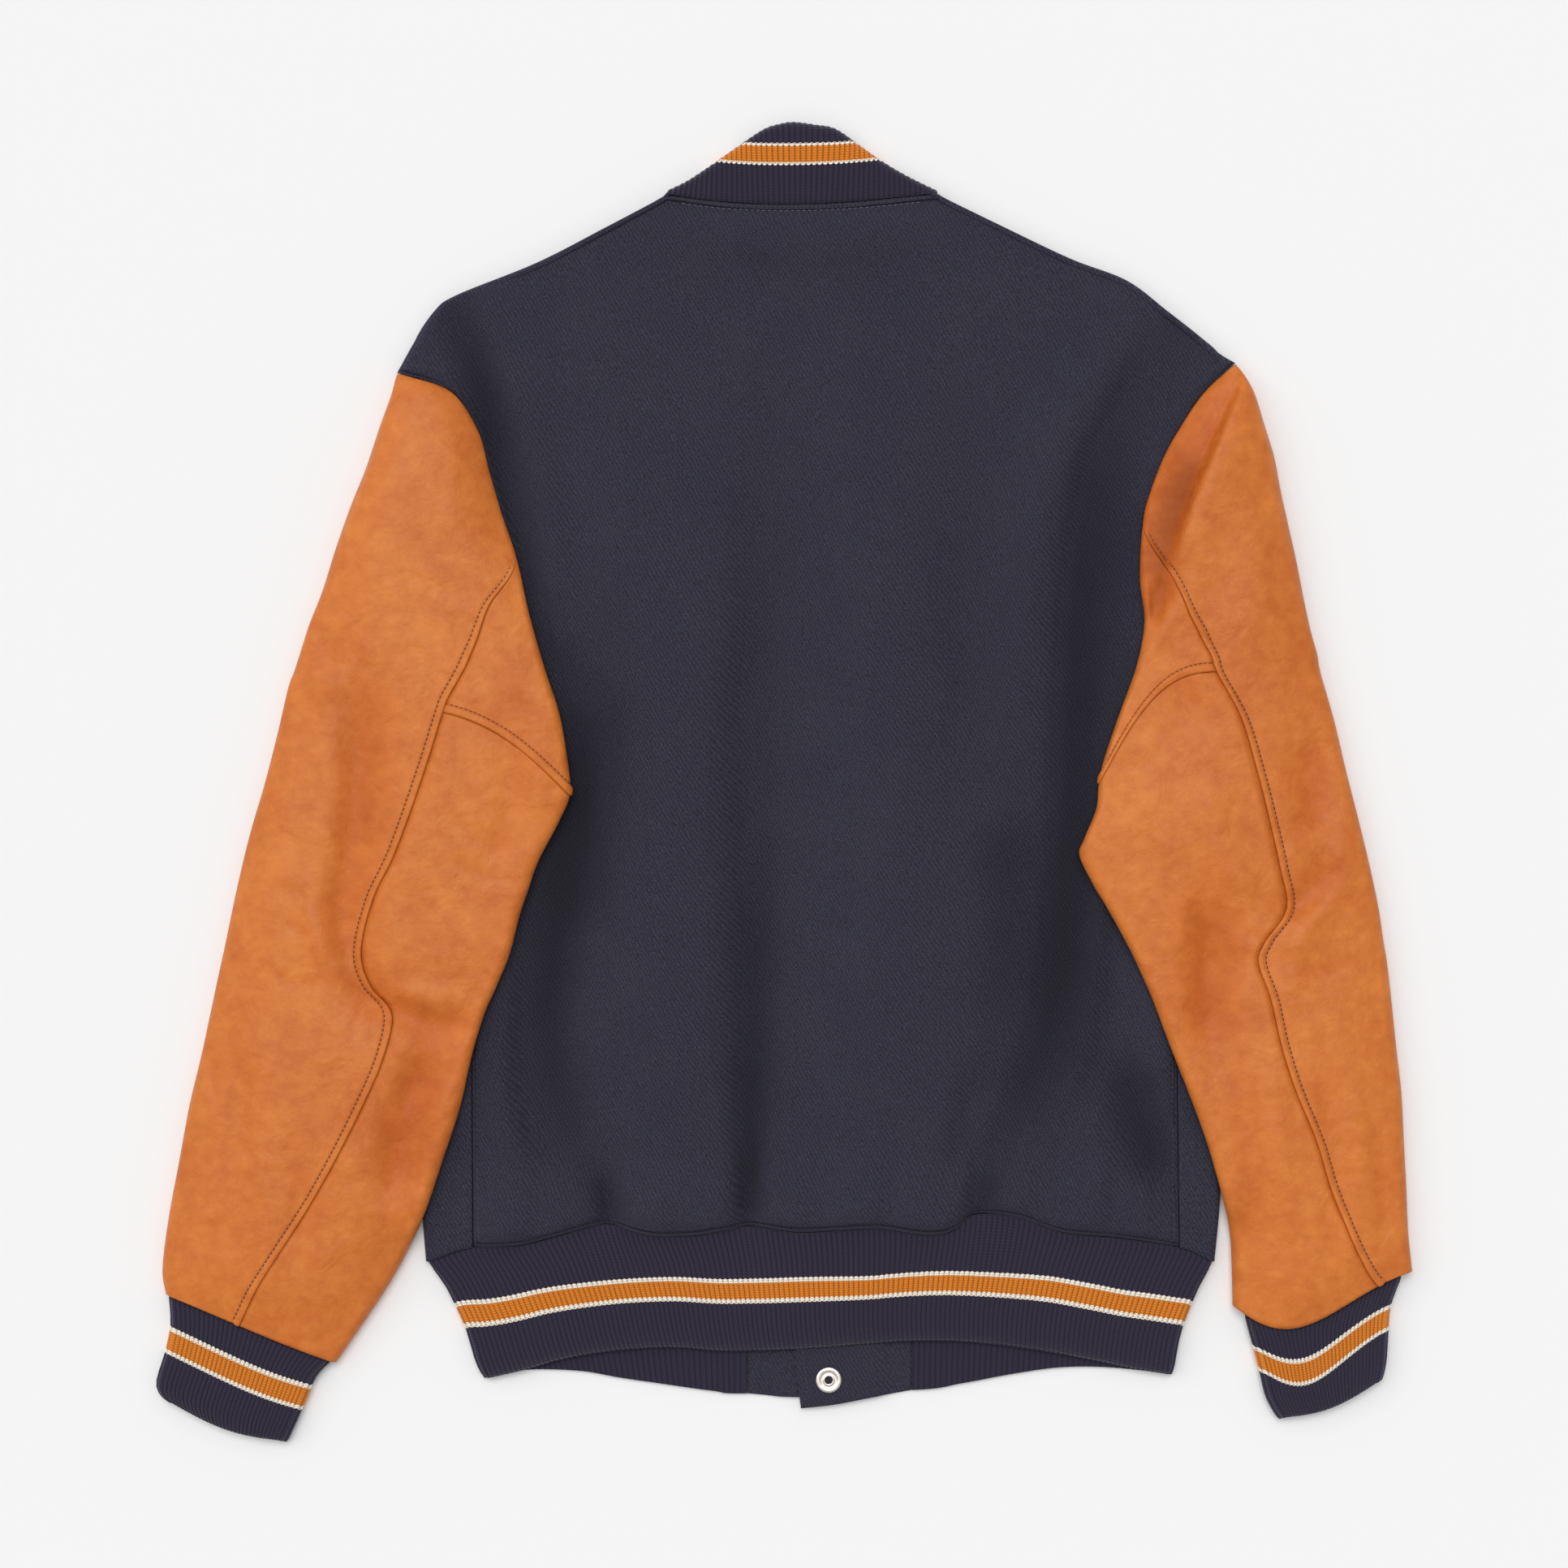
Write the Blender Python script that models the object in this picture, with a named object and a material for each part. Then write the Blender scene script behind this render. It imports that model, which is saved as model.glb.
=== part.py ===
"""A varsity jacket laid flat with its back up.

Wool body, leather sleeves, striped rib collar, cuffs and hem, and a row of snaps.  Every piece is a
closed wall of cloth at its real thickness.  Sizes are in millimetres until a mesh is made.  +X is the
wearer's right, +Y runs to the collar, +Z is up, and the origin is on the surface under the jacket.
"""
import bmesh
import bpy
import numpy as np

MM = 0.001
SEAM_GAP = 0.5            # clear space between two pieces that are sewn together
ARMHOLE_GAP = 0.5         # the same at the armholes, in plan
COLLAR_GAP = 0.5
CUFF_GAP = 0.6
HIDDEN_GAP = 1.5          # the same where the seam is out of sight
WOOL = 2.0                # wall thickness of the wool
LEATHER = 1.4
RIB = 3.0                 # two layers of rib knit

BACK_TOP = 7.8            # outer face of the back over the surface, so the layers lie on each other
HEM_TOP = 8.7             # outer face of the hem band and of the collar
CUFF_TOP = 9.2
LAP_REST = 8.6            # underside of a sleeve where it lies on the body
LIP_REST = 4.4            # where leather turns down into the armhole seam
OUTER_FOLD = 6.0          # radius of the fold down a sleeve's outer edge
RIDGE_HEIGHT = 1.0        # lapped leather seam over the piece beside it
RIDGE_WIDTH = 4.5

RIB_HEIGHT = 0.7          # a knit rib over the valley beside it
HEM_RIBS = 144            # ribs across the back of the hem
CUFF_RIBS = 30
COLLAR_RIBS = 52

PLACKET_HALF = 23.0       # each front passes the centre line by this much
CAP_LIFT = 1.1            # left front over the surface, above its snap caps
RIGHT_LIFT = 3.4          # right front over the surface, on top of the left one
PLACKET_RISE = 1.0        # the back lies this much higher over the placket
SNAP_RADIUS = 7.6
SNAP_HOLE = 2.4
SNAP_THICK = 0.8
SNAP_SIDES = 12
SNAP_ROWS_Y = (225, 131, 37, -57, -151, -245)
TAB_SNAP = (26.5, -353.5)

# --- the sleeves -----------------------------------------------------------------------------
# One row for each section, from the shoulder tip to the cuff seam.  outer and inner are the two
# edges as seen from above.  lap is where the leather turned under the inner edge ends.  bow is how
# far the section's middle runs toward the cuff.  crown is its height, and seam is where the back
# seam crosses it, as a share of the way from the outer edge to the inner one.
SLEEVE_COLUMNS = ("outer_x", "outer_y", "inner_x", "inner_y", "lap_x", "lap_y", "bow", "crown", "seam")
LEFT_SECTIONS = (
    (-228.0, 247.0, -223.5, 243.5, -225.0, 241.5, 0, 8.5, 0.985),
    (-233.0, 230.5, -197.0, 232.5, -198.0, 231.0, 0, 14, 0.985),
    (-240.0, 211.0, -181.0, 209.0, -182.5, 208.5, 0, 18, 0.985),
    (-248.0, 187.0, -174.5, 186.0, -176.5, 185.5, 0, 21, 0.985),
    (-257.0, 164.5, -167.0, 160.0, -169.0, 159.5, 0, 22, 0.985),
    (-266.0, 139.0, -158.0, 133.0, -160.0, 132.0, 0, 22, 0.985),
    (-273.5, 115.0, -150.5, 100.0, -157.5, 100.0, -4, 22, 0.86),
    (-281.5, 94.5, -141.0, 67.0, -158.0, 66.0, -9, 22, 0.70),
    (-286.5, 79.0, -132.5, 41.0, -167.0, 29.0, -14, 22, 0.63),
    (-290.5, 66.5, -127.0, 8.0, -202.0, -18.0, -20, 22, 0.573),
    (-294.0, 57.0, -126.5, -7.0, -204.5, -37.0, -22, 22, 0.557),
    (-300.5, 29.0, -133.0, -22.5, -206.0, -57.5, -15, 22, 0.545),
    (-308.0, 0.0, -145.0, -45.5, -207.5, -79.0, -11, 22, 0.545),
    (-317.0, -31.0, -151.5, -64.0, -208.5, -96.0, -6, 22, 0.526),
    (-324.5, -62.5, -156.5, -79.0, -209.0, -108.0, -3, 22, 0.491),
    (-331.5, -96.0, -162.0, -100.5, -210.0, -126.0, 0, 22, 0.486),
    (-336.5, -119.0, -169.5, -119.0, -210.5, -139.0, 0, 21, 0.555),
    (-340.0, -135.5, -177.0, -136.0, -211.5, -153.5, 0, 21, 0.667),
    (-345.5, -161.0, -184.5, -161.0, -213.0, -175.0, 0, 22, 0.682),
    (-352.5, -190.5, -191.5, -191.5, -214.5, -201.5, 0, 22, 0.645),
    (-358.5, -223.0, -202.0, -223.5, -217.5, -230.5, 0, 22, 0.598),
    (-364.0, -252.0, -212.0, -253.0, -219.5, -255.5, 0, 21, 0.541),
    (-367.5, -276.0, -223.5, -277.5, -231.5, -278.5, 1, 20, 0.483),
    (-368.5, -290.5, -238.0, -302.5, -245.5, -301.0, 3, 18, 0.441),
    (-366.5, -301.9, -265.5, -342.8, -272.5, -340.0, 1, 12, 0.440))
RIGHT_SECTIONS = (
    (266.5, 251.5, 262.5, 247.5, 264.0, 246.0, 0, 8.5, 0.985),
    (278.0, 234.0, 248.0, 231.0, 249.5, 229.5, 0, 14, 0.985),
    (285.0, 212.5, 234.0, 210.5, 235.5, 210.0, 0, 18, 0.985),
    (290.5, 194.5, 224.5, 193.5, 226.5, 193.0, 0, 20, 0.985),
    (294.5, 174.0, 216.5, 172.5, 218.5, 172.0, 0, 21, 0.985),
    (299.0, 153.5, 212.0, 152.0, 214.0, 151.0, 0, 21, 0.985),
    (304.0, 131.0, 210.5, 121.5, 214.5, 121.5, 0, 21, 0.81),
    (308.5, 108.0, 213.0, 96.0, 217.5, 96.0, -2, 21, 0.734),
    (312.0, 92.0, 208.5, 70.5, 218.0, 67.0, -12, 21, 0.657),
    (314.5, 83.0, 198.0, 41.0, 225.5, 24.0, -24, 21, 0.572),
    (316.5, 75.5, 189.0, 14.5, 246.0, -18.0, -35, 21, 0.502),
    (318.0, 66.5, 186.0, 0.0, 248.0, -37.0, -38, 21, 0.480),
    (326.0, 38.5, 184.5, -14.5, 249.5, -57.5, -32, 21, 0.400),
    (333.5, 7.0, 177.5, -32.0, 251.0, -77.0, -22, 21, 0.348),
    (341.0, -22.5, 174.5, -42.0, 251.5, -89.0, -11, 21, 0.328),
    (347.5, -49.5, 182.0, -58.5, 252.0, -96.0, -4, 21, 0.333),
    (352.5, -73.5, 191.0, -73.5, 253.0, -103.0, 0, 21, 0.348),
    (355.5, -93.5, 202.0, -93.5, 253.5, -115.0, 0, 21, 0.472),
    (357.5, -105.5, 208.0, -105.5, 254.0, -125.0, 0, 20, 0.522),
    (360.0, -127.0, 217.5, -127.0, 255.0, -141.5, 0, 21, 0.515),
    (363.0, -156.0, 228.5, -156.0, 257.0, -165.5, 0, 21, 0.518),
    (366.0, -182.5, 239.0, -182.5, 258.0, -189.5, 0, 21, 0.504),
    (367.5, -211.0, 249.5, -211.0, 260.5, -216.0, 0, 21, 0.455),
    (369.0, -240.0, 258.0, -240.0, 262.5, -242.5, 0, 20, 0.416),
    (370.0, -264.0, 264.0, -264.0, 270.5, -264.0, 2, 19, 0.348),
    (371.5, -280.0, 265.5, -286.5, 272.5, -285.5, 10, 17, 0.270),
    (372.5, -288.5, 266.0, -309.0, 273.0, -307.0, 20, 12, 0.200))
# The armhole's front edge on the surface below, at the sleeve's sections down to the underarm.
LEFT_FRONT_ARMHOLE = (
    (-223.6, 243.4), (-202.0, 218.5), (-185.5, 194.5), (-175.5, 169.5), (-169.5, 142.5),
    (-166.0, 113.0), (-165.5, 84.0), (-170.0, 48.0), (-179.5, 17.0), (-205.5, -18.0))
RIGHT_FRONT_ARMHOLE = (
    (263.0, 245.0), (252.5, 221.0), (238.0, 201.5), (227.5, 180.0), (220.5, 156.0), (216.0, 132.0),
    (214.0, 103.0), (214.0, 77.0), (220.0, 45.5), (228.5, 14.5), (249.5, -18.0))
FORK = 5                  # the section where the back seam leaves the armhole seam
LAP_FOOT = 8.0            # plan length of the leather's step down from the body to the surface
FRONT_SEAM = (0.86, 0.62) # where the front seam crosses the lower sheet, at the fork and at the cuff

# --- the body --------------------------------------------------------------------------------
# The back's top edge: left shoulder to the neck, along the neck seam, and down the right shoulder.
BACK_TOP_LINE = (
    (-223.0, 244.0), (-219.5, 262.5), (-207.5, 281.0), (-194.0, 290.5), (-147.0, 309.5),
    (-107.0, 330.0), (-70.0, 349.5), (-45.0, 345.8), (-20.0, 343.9), (5.0, 343.5), (30.0, 344.3),
    (58.0, 346.5), (91.0, 350.0), (128.0, 332.0), (170.0, 312.0), (203.5, 299.0), (227.5, 281.0),
    (246.0, 266.5), (258.0, 256.0), (262.0, 248.0))
NECK_COLUMNS = (6, 12)
# The seam of the back and the hem band, a point for each point of the top edge.
BACK_HEM_SEAM = (
    (-184.0, -274.5), (-157.0, -273.5), (-134.5, -268.0), (-112.5, -262.0), (-101.5, -261.5),
    (-80.5, -267.5), (-58.0, -268.0), (-36.0, -265.0), (-19.0, -262.2), (7.5, -265.5), (31.0, -264.6),
    (54.5, -263.5), (86.0, -267.5), (102.0, -264.0), (112.0, -255.5), (137.0, -256.5),
    (164.0, -265.5), (193.5, -268.5), (214.0, -271.0), (234.0, -274.5))
# Where the fronts wrap round to the back, the same seam runs on to the side folds.
LEFT_WRAP_HEM = ((-212.5, -283.5), (-198.2, -278.0), (-184.0, -274.5))
RIGHT_WRAP_HEM = ((234.0, -274.5), (244.8, -277.8), (255.5, -283.5))
BACK_HEM_EDGE = (
    (-178.5, -353.0), (-153.5, -347.5), (-134.5, -342.0), (-115.5, -338.0), (-93.0, -335.0),
    (-64.5, -334.0), (-34.0, -336.0), (16.5, -334.5), (66.0, -330.5), (105.5, -330.5), (144.5, -334.5),
    (184.0, -342.0), (205.5, -346.5), (231.0, -350.5))
# Top edges of the fronts: the shoulder, the neckline and then the placket.
LEFT_FRONT_TOP = (
    (-223.0, 244.0), (-219.5, 262.5), (-207.5, 281.0), (-194.0, 290.5), (-147.0, 309.5),
    (-107.0, 330.0), (-70.0, 349.5), (-69.0, 324.0), (-60.5, 295.0), (-43.5, 266.5), (-25.5, 252.0),
    (-13.5, 248.0), (6.0, 245.3), (34.5, 245.0))
RIGHT_FRONT_TOP = (
    (262.0, 248.0), (258.0, 256.0), (246.0, 266.5), (227.5, 281.0), (203.5, 299.0), (170.0, 312.0),
    (128.0, 332.0), (91.0, 350.0), (89.5, 324.0), (80.5, 295.0), (66.0, 270.0), (52.5, 258.0),
    (38.5, 250.5), (14.0, 245.3), (-11.5, 245.0))
LEFT_SHOULDER_COLUMNS = 7
RIGHT_SHOULDER_COLUMNS = 8
PLACKET_COLUMNS = 4       # the last columns of a front run along the centre line
CENTRE_LINE = ((11.5, 245.0), (24.0, -297.0))
FRONT_HEM_SEAM = (
    (-212.5, -283.5), (-153.5, -280.0), (-98.0, -285.0), (-42.0, -293.0), (5.5, -297.0),
    (47.0, -298.0), (76.0, -293.0), (135.0, -283.0), (193.5, -279.0), (255.5, -283.5))
FRONT_HEM_EDGE = (
    (-178.5, -353.0), (-153.5, -348.0), (-122.0, -348.5), (-98.0, -352.5), (-74.0, -356.0),
    (-42.0, -360.5), (-22.0, -362.0), (76.0, -360.0), (105.5, -356.0), (135.0, -350.5),
    (164.0, -346.5), (193.5, -346.5), (231.0, -350.5))
LEFT_SIDE = ((-202.0, -18.0), (-209.5, -137.0), (-216.0, -252.0), (-212.5, -283.5))
RIGHT_SIDE = ((246.0, -18.0), (253.0, -137.0), (259.5, -247.0), (255.5, -283.5))
SIDE_ROWS_Y = (-60, -108, -156, -200, -240)
EDGE_REACH = 140.0        # how far in a bend of the armhole moves the cloth's grid lines
SIDE_SEAM_X = ((-186.0, -184.0), (231.0, 234.0))      # at the underarm and at the hem
# Hidden armhole edge of the back under each sleeve, from the fork to the underarm.
LEFT_BACK_ARMHOLE = ((-156.0, 100.0), (-157.0, 66.0), (-166.0, 29.0), (-186.0, -18.0))
RIGHT_BACK_ARMHOLE = ((213.0, 118.0), (217.0, 85.0), (221.0, 40.0), (231.0, -18.0))

# Profiles of rolled edges.  Each row is the inset from the outline and the height over the surface,
# of the outer face and then of the inner face.
SIDE_FOLD = np.array((
    (3.9, 0.0, 3.9, 2.0), (1.2, 1.2, 2.5, 2.5), (0.0, 3.9, 2.0, 3.9), (1.2, 6.6, 2.5, 5.3),
    (3.9, 7.8, 3.9, 5.8)))
FRONT_SHOULDER = np.array(((0.1, 3.0, 2.2, 3.0), (1.2, 1.2, 2.5, 2.5), (3.9, 0.0, 3.9, 2.0)))
BACK_SHOULDER = np.array(((0.0, 3.4, 2.1, 3.4), (1.2, 6.6, 2.5, 5.3), (3.9, 7.8, 3.9, 5.8)))
NECK_EDGE = np.array(((0.0, 7.0, 2.1, 5.8), (1.2, 7.6, 2.5, 5.8), (3.9, 7.8, 3.9, 5.8)))
FRONT_CORNER = np.array(((1.4, 3.0), (0.6, 2.4), (0.0, 2.0)))    # heights at the neck corner
HEM_FOLD = np.array((
    (5.0, 0.0, 5.0, 3.0), (1.4, 1.3, 3.9, 3.4), (0.0, 4.35, 3.2, 4.35), (1.4, 7.4, 3.9, 5.3),
    (5.0, 8.7, 5.0, 5.7)))
CUFF_FOLD = np.array((
    (5.0, 0.0, 5.0, 3.0), (1.4, 1.4, 3.9, 3.5), (0.0, 4.6, 3.1, 4.6), (1.4, 7.8, 3.9, 5.7),
    (5.0, 9.2, 5.0, 6.2)))
# Lips: the inset from a sewn edge, and the outer and the inner face over the cloth's level.
ARMHOLE_LIP = np.array(((0.0, -1.5, 0.0), (0.6, -0.45, 0.0), (1.8, 0.0, 0.0)))
SEAM_LIP = np.array(((0.0, -0.5, 0.0), (0.6, -0.15, 0.0), (1.8, 0.0, 0.0)))
HEM_LIP = np.array(((0.0, -0.8, 0.0), (1.5, 0.1, 0.2), (6.0, 1.2, 0.8)))

# Soft ridges (+) and troughs (-): from (x0, y0) to (x1, y1), with half width and height.
FOLD_COLUMNS = ("x0", "y0", "x1", "y1", "width", "height")
BACK_FOLDS = (
    (-138, 262, -118, 60, 20, 5.0),
    (176, 240, 170, 60, 18, 4.0),
    (120, 240, 118, -60, 26, 4.0),
    (-45, 170, -54, -232, 26, 5.0),
    (76, 170, 66, -232, 30, 5.5),
    (-150, -150, -140, -240, 14, 3.0),
    (190, -60, 178, -235, 20, 5.0))
FOLD_CLEAR = 26.0         # folds of the back stay this far from a sleeve
SLEEVE_FOLDS = (
    (268, 232, 236, 150, 7, -6.0),
    (281, 222, 243, 135, 8, 3.0),
    (-262, 60, -250, -75, 12, -3.0),
    (-252, -98, -222, -130, 9, -5.0),
    (-200, -165, -216, -225, 12, -4.0),
    (246, -84, 262, -175, 11, -4.0),
    (276, -92, 302, -80, 8, -5.0))

# --- the rib pieces --------------------------------------------------------------------------
HEM_ROWS = (0.0, 0.2, 0.6, 1.0)
HEM_LEFT_FOLD = (
    (-212.5, -283.5), (-201.5, -296.0), (-194.5, -309.5), (-188.0, -324.0), (-184.0, -338.5),
    (-178.5, -353.0))
HEM_RIGHT_FOLD = (
    (255.5, -283.5), (247.0, -296.0), (241.0, -309.5), (235.5, -324.0), (232.5, -338.5),
    (231.0, -350.5))
LEFT_BAND_END = -22.4
RIGHT_BAND_END = 76.4
# Each tab's columns: x at its seam, and its lower edge.
LEFT_TAB = (
    (-22.0, -22.0, -362.0), (-13.0, -11.5, -363.0), (-1.0, 0.5, -364.0), (23.0, 25.0, -364.2),
    (47.0, 48.0, -362.5))
RIGHT_TAB = (
    (1.5, 10.0, -370.5), (26.0, 30.0, -368.3), (51.0, 52.5, -364.0), (65.0, 66.5, -361.7),
    (76.0, 76.0, -360.0))
# Rows of each cuff from its seam to its end: outer and inner edge, and the bow of the row.
LEFT_CUFF = (
    (-364.5, -303.5, -269.0, -342.0, 1.0),
    (-363.5, -320.0, -277.5, -351.0, 2.2),
    (-366.5, -336.0, -284.0, -366.0, 3.0),
    (-372.0, -356.0, -290.5, -380.5, 4.0),
    (-366.0, -366.0, -295.0, -390.5, 4.5))
RIGHT_CUFF = (
    (366.0, -296.5, 273.5, -318.5, 12.0),
    (359.5, -311.0, 278.0, -333.0, 5.5),
    (358.0, -326.5, 282.0, -347.5, 4.0),
    (357.0, -341.5, 286.0, -363.5, 4.0),
    (354.5, -354.0, 293.5, -377.0, 4.5))
# The strip over the back of the neck folds at its outline: fold, then its free edge underneath.
COLLAR_FOLD = (
    (-69.5, 355.0, -27.0, 331.0), (-57.5, 357.5, -22.0, 341.5), (-44.5, 366.0, -18.0, 354.0),
    (-29.5, 376.5, -14.0, 369.5), (-12.5, 388.0, -12.5, 380.0), (-2.0, 391.5, -2.0, 382.0),
    (6.0, 392.5, 6.0, 382.5), (18.0, 391.0, 17.0, 381.5), (30.5, 388.5, 28.0, 380.5),
    (45.0, 378.5, 27.0, 370.0), (57.0, 370.0, 31.0, 356.0), (72.0, 361.0, 37.0, 342.5),
    (90.5, 355.4, 42.4, 331.0))
# The strip round the front of the neck: seam, free edge, and how far it has turned over in degrees.
COLLAR_FRONT_LEFT = (
    (10.5, 245.9, 10.5, 293.5, 180), (-13.3, 248.7, 3.0, 293.7, 180), (-25.2, 252.8, -3.0, 295.0, 180),
    (-42.9, 267.0, -10.0, 297.6, 180), (-59.8, 295.3, -19.7, 307.0, 180),
    (-68.3, 324.1, -24.0, 318.0, 180), (-68.9, 339.7, -26.0, 325.5, 180),
    (-68.5, 348.3, -27.0, 328.6, 170), (-74.4, 352.2, -26.8, 330.0, 135))
COLLAR_FRONT_RIGHT = (
    (12.5, 245.9, 12.5, 293.5, 180), (38.1, 251.2, 19.0, 294.5, 180), (52.0, 258.8, 24.0, 297.0, 180),
    (65.2, 270.5, 29.0, 300.0, 180), (79.7, 295.3, 35.5, 307.0, 180), (88.7, 324.1, 40.0, 318.0, 180),
    (89.2, 339.1, 41.3, 325.5, 180), (89.4, 349.6, 42.5, 328.6, 160), (95.8, 352.5, 42.2, 330.0, 120))

COLOURS = {               # linear base colour, roughness, metallic
    "wool": ((0.036, 0.033, 0.050, 1.0), 0.95, 0.0),
    "leather": ((0.560, 0.200, 0.052, 1.0), 0.45, 0.0),
    "rib": ((0.034, 0.030, 0.045, 1.0), 0.9, 0.0),
    "metal": ((0.62, 0.55, 0.48, 1.0), 0.3, 1.0)}


# --- small tools -----------------------------------------------------------------------------
def material_for(name, finish):
    """The piece's own plain material."""
    colour, roughness, metallic = COLOURS[finish]
    material = bpy.data.materials.new(name)
    material.use_nodes = True
    shader = material.node_tree.nodes["Principled BSDF"]
    shader.inputs["Base Color"].default_value = colour
    shader.inputs["Roughness"].default_value = roughness
    shader.inputs["Metallic"].default_value = metallic
    return material


def add_piece(name, finish, points, faces):
    """Make an object from points in millimetres and faces, with its faces pointing out."""
    mesh = bpy.data.meshes.new(name)
    mesh.from_pydata([tuple(float(c) * MM for c in point) for point in points], [], faces)
    work = bmesh.new()
    work.from_mesh(mesh)
    bmesh.ops.triangulate(work, faces=work.faces)
    bmesh.ops.recalc_face_normals(work, faces=work.faces)
    work.to_mesh(mesh)
    work.free()
    mesh.shade_smooth()
    mesh.materials.append(material_for(name, finish))
    piece = bpy.data.objects.new(name, mesh)
    bpy.context.scene.collection.objects.link(piece)
    return piece


def cloth_wall(name, finish, outer, inner, cells=None):
    """A closed wall from two grids of points, over the grid cells that are asked for."""
    rows, columns = outer.shape[:2]
    if cells is None:
        cells = np.ones((rows - 1, columns - 1), bool)
    number = np.arange(rows * columns).reshape(rows, columns)
    below = rows * columns
    faces = []
    edges = {}
    for i, j in np.argwhere(cells):
        corners = (number[i, j], number[i, j + 1], number[i + 1, j + 1], number[i + 1, j])
        faces.append(corners)
        faces.append(tuple(c + below for c in reversed(corners)))
        for start, end in zip(corners, corners[1:] + corners[:1]):
            if (end, start) in edges:
                del edges[end, start]
            else:
                edges[start, end] = True
    faces += [(end, start, start + below, end + below) for start, end in edges]
    points = np.concatenate([outer.reshape(-1, 3), inner.reshape(-1, 3)])
    used = sorted({int(c) for face in faces for c in face})
    place = {old: new for new, old in enumerate(used)}
    return add_piece(name, finish, points[used], [tuple(place[int(c)] for c in face) for face in faces])


def smooth_rows(rows, place):
    """Read a table of rows at places between them, with a Catmull-Rom curve."""
    last = len(rows) - 1
    place = np.clip(place, 0, last)
    i = np.minimum(place.astype(int), last - 1)
    t = (place - i)[..., None]
    before = rows[np.maximum(i - 1, 0)]
    here = rows[i]
    after = rows[i + 1]
    beyond = rows[np.minimum(i + 2, last)]
    bend = 2 * before - 5 * here + 4 * after - beyond
    twist = 3 * (here - after) + beyond - before
    return here + 0.5 * t * ((after - before) + t * (bend + t * twist))


def smoothstep(x):
    x = np.clip(x, 0.0, 1.0)
    return x * x * (3.0 - 2.0 * x)


def quarter(x):
    """Height of a quarter circle of radius 1 at x from its foot."""
    return np.sqrt(np.maximum(0.0, 1.0 - (1.0 - np.clip(x, 0.0, 1.0)) ** 2))


def line_at(line, x):
    """Height y of a line that runs along x."""
    line = np.array(line, float)
    return np.interp(x, line[:, 0], line[:, 1])


def along_line(line, share):
    """The point at a share of a line's length."""
    line = np.array(line, float)
    length = np.concatenate([[0.0], np.cumsum(np.linalg.norm(np.diff(line, axis=0), axis=1))])
    share = np.asarray(share) * length[-1]
    return np.stack([np.interp(share, length, line[:, 0]), np.interp(share, length, line[:, 1])], -1)


def offset_line(line, distance):
    """A line moved sideways, to its left for a positive distance."""
    line = np.array(line, float)
    step = np.gradient(line, axis=0)
    step /= np.linalg.norm(step, axis=1, keepdims=True)
    return line + distance * np.stack([-step[:, 1], step[:, 0]], 1)


def fold_height(folds, x, y):
    """Sum of the soft ridges and troughs at a place."""
    height = np.zeros(np.shape(x))
    for x0, y0, x1, y1, width, rise in folds:
        run = np.array([x1 - x0, y1 - y0], float)
        share = ((x - x0) * run[0] + (y - y0) * run[1]) / (run @ run)
        near = np.clip(share, 0.0, 1.0)
        apart = np.hypot(x - x0 - near * run[0], y - y0 - near * run[1])
        height += rise * np.exp(-(apart / width) ** 2)
    return height


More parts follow.
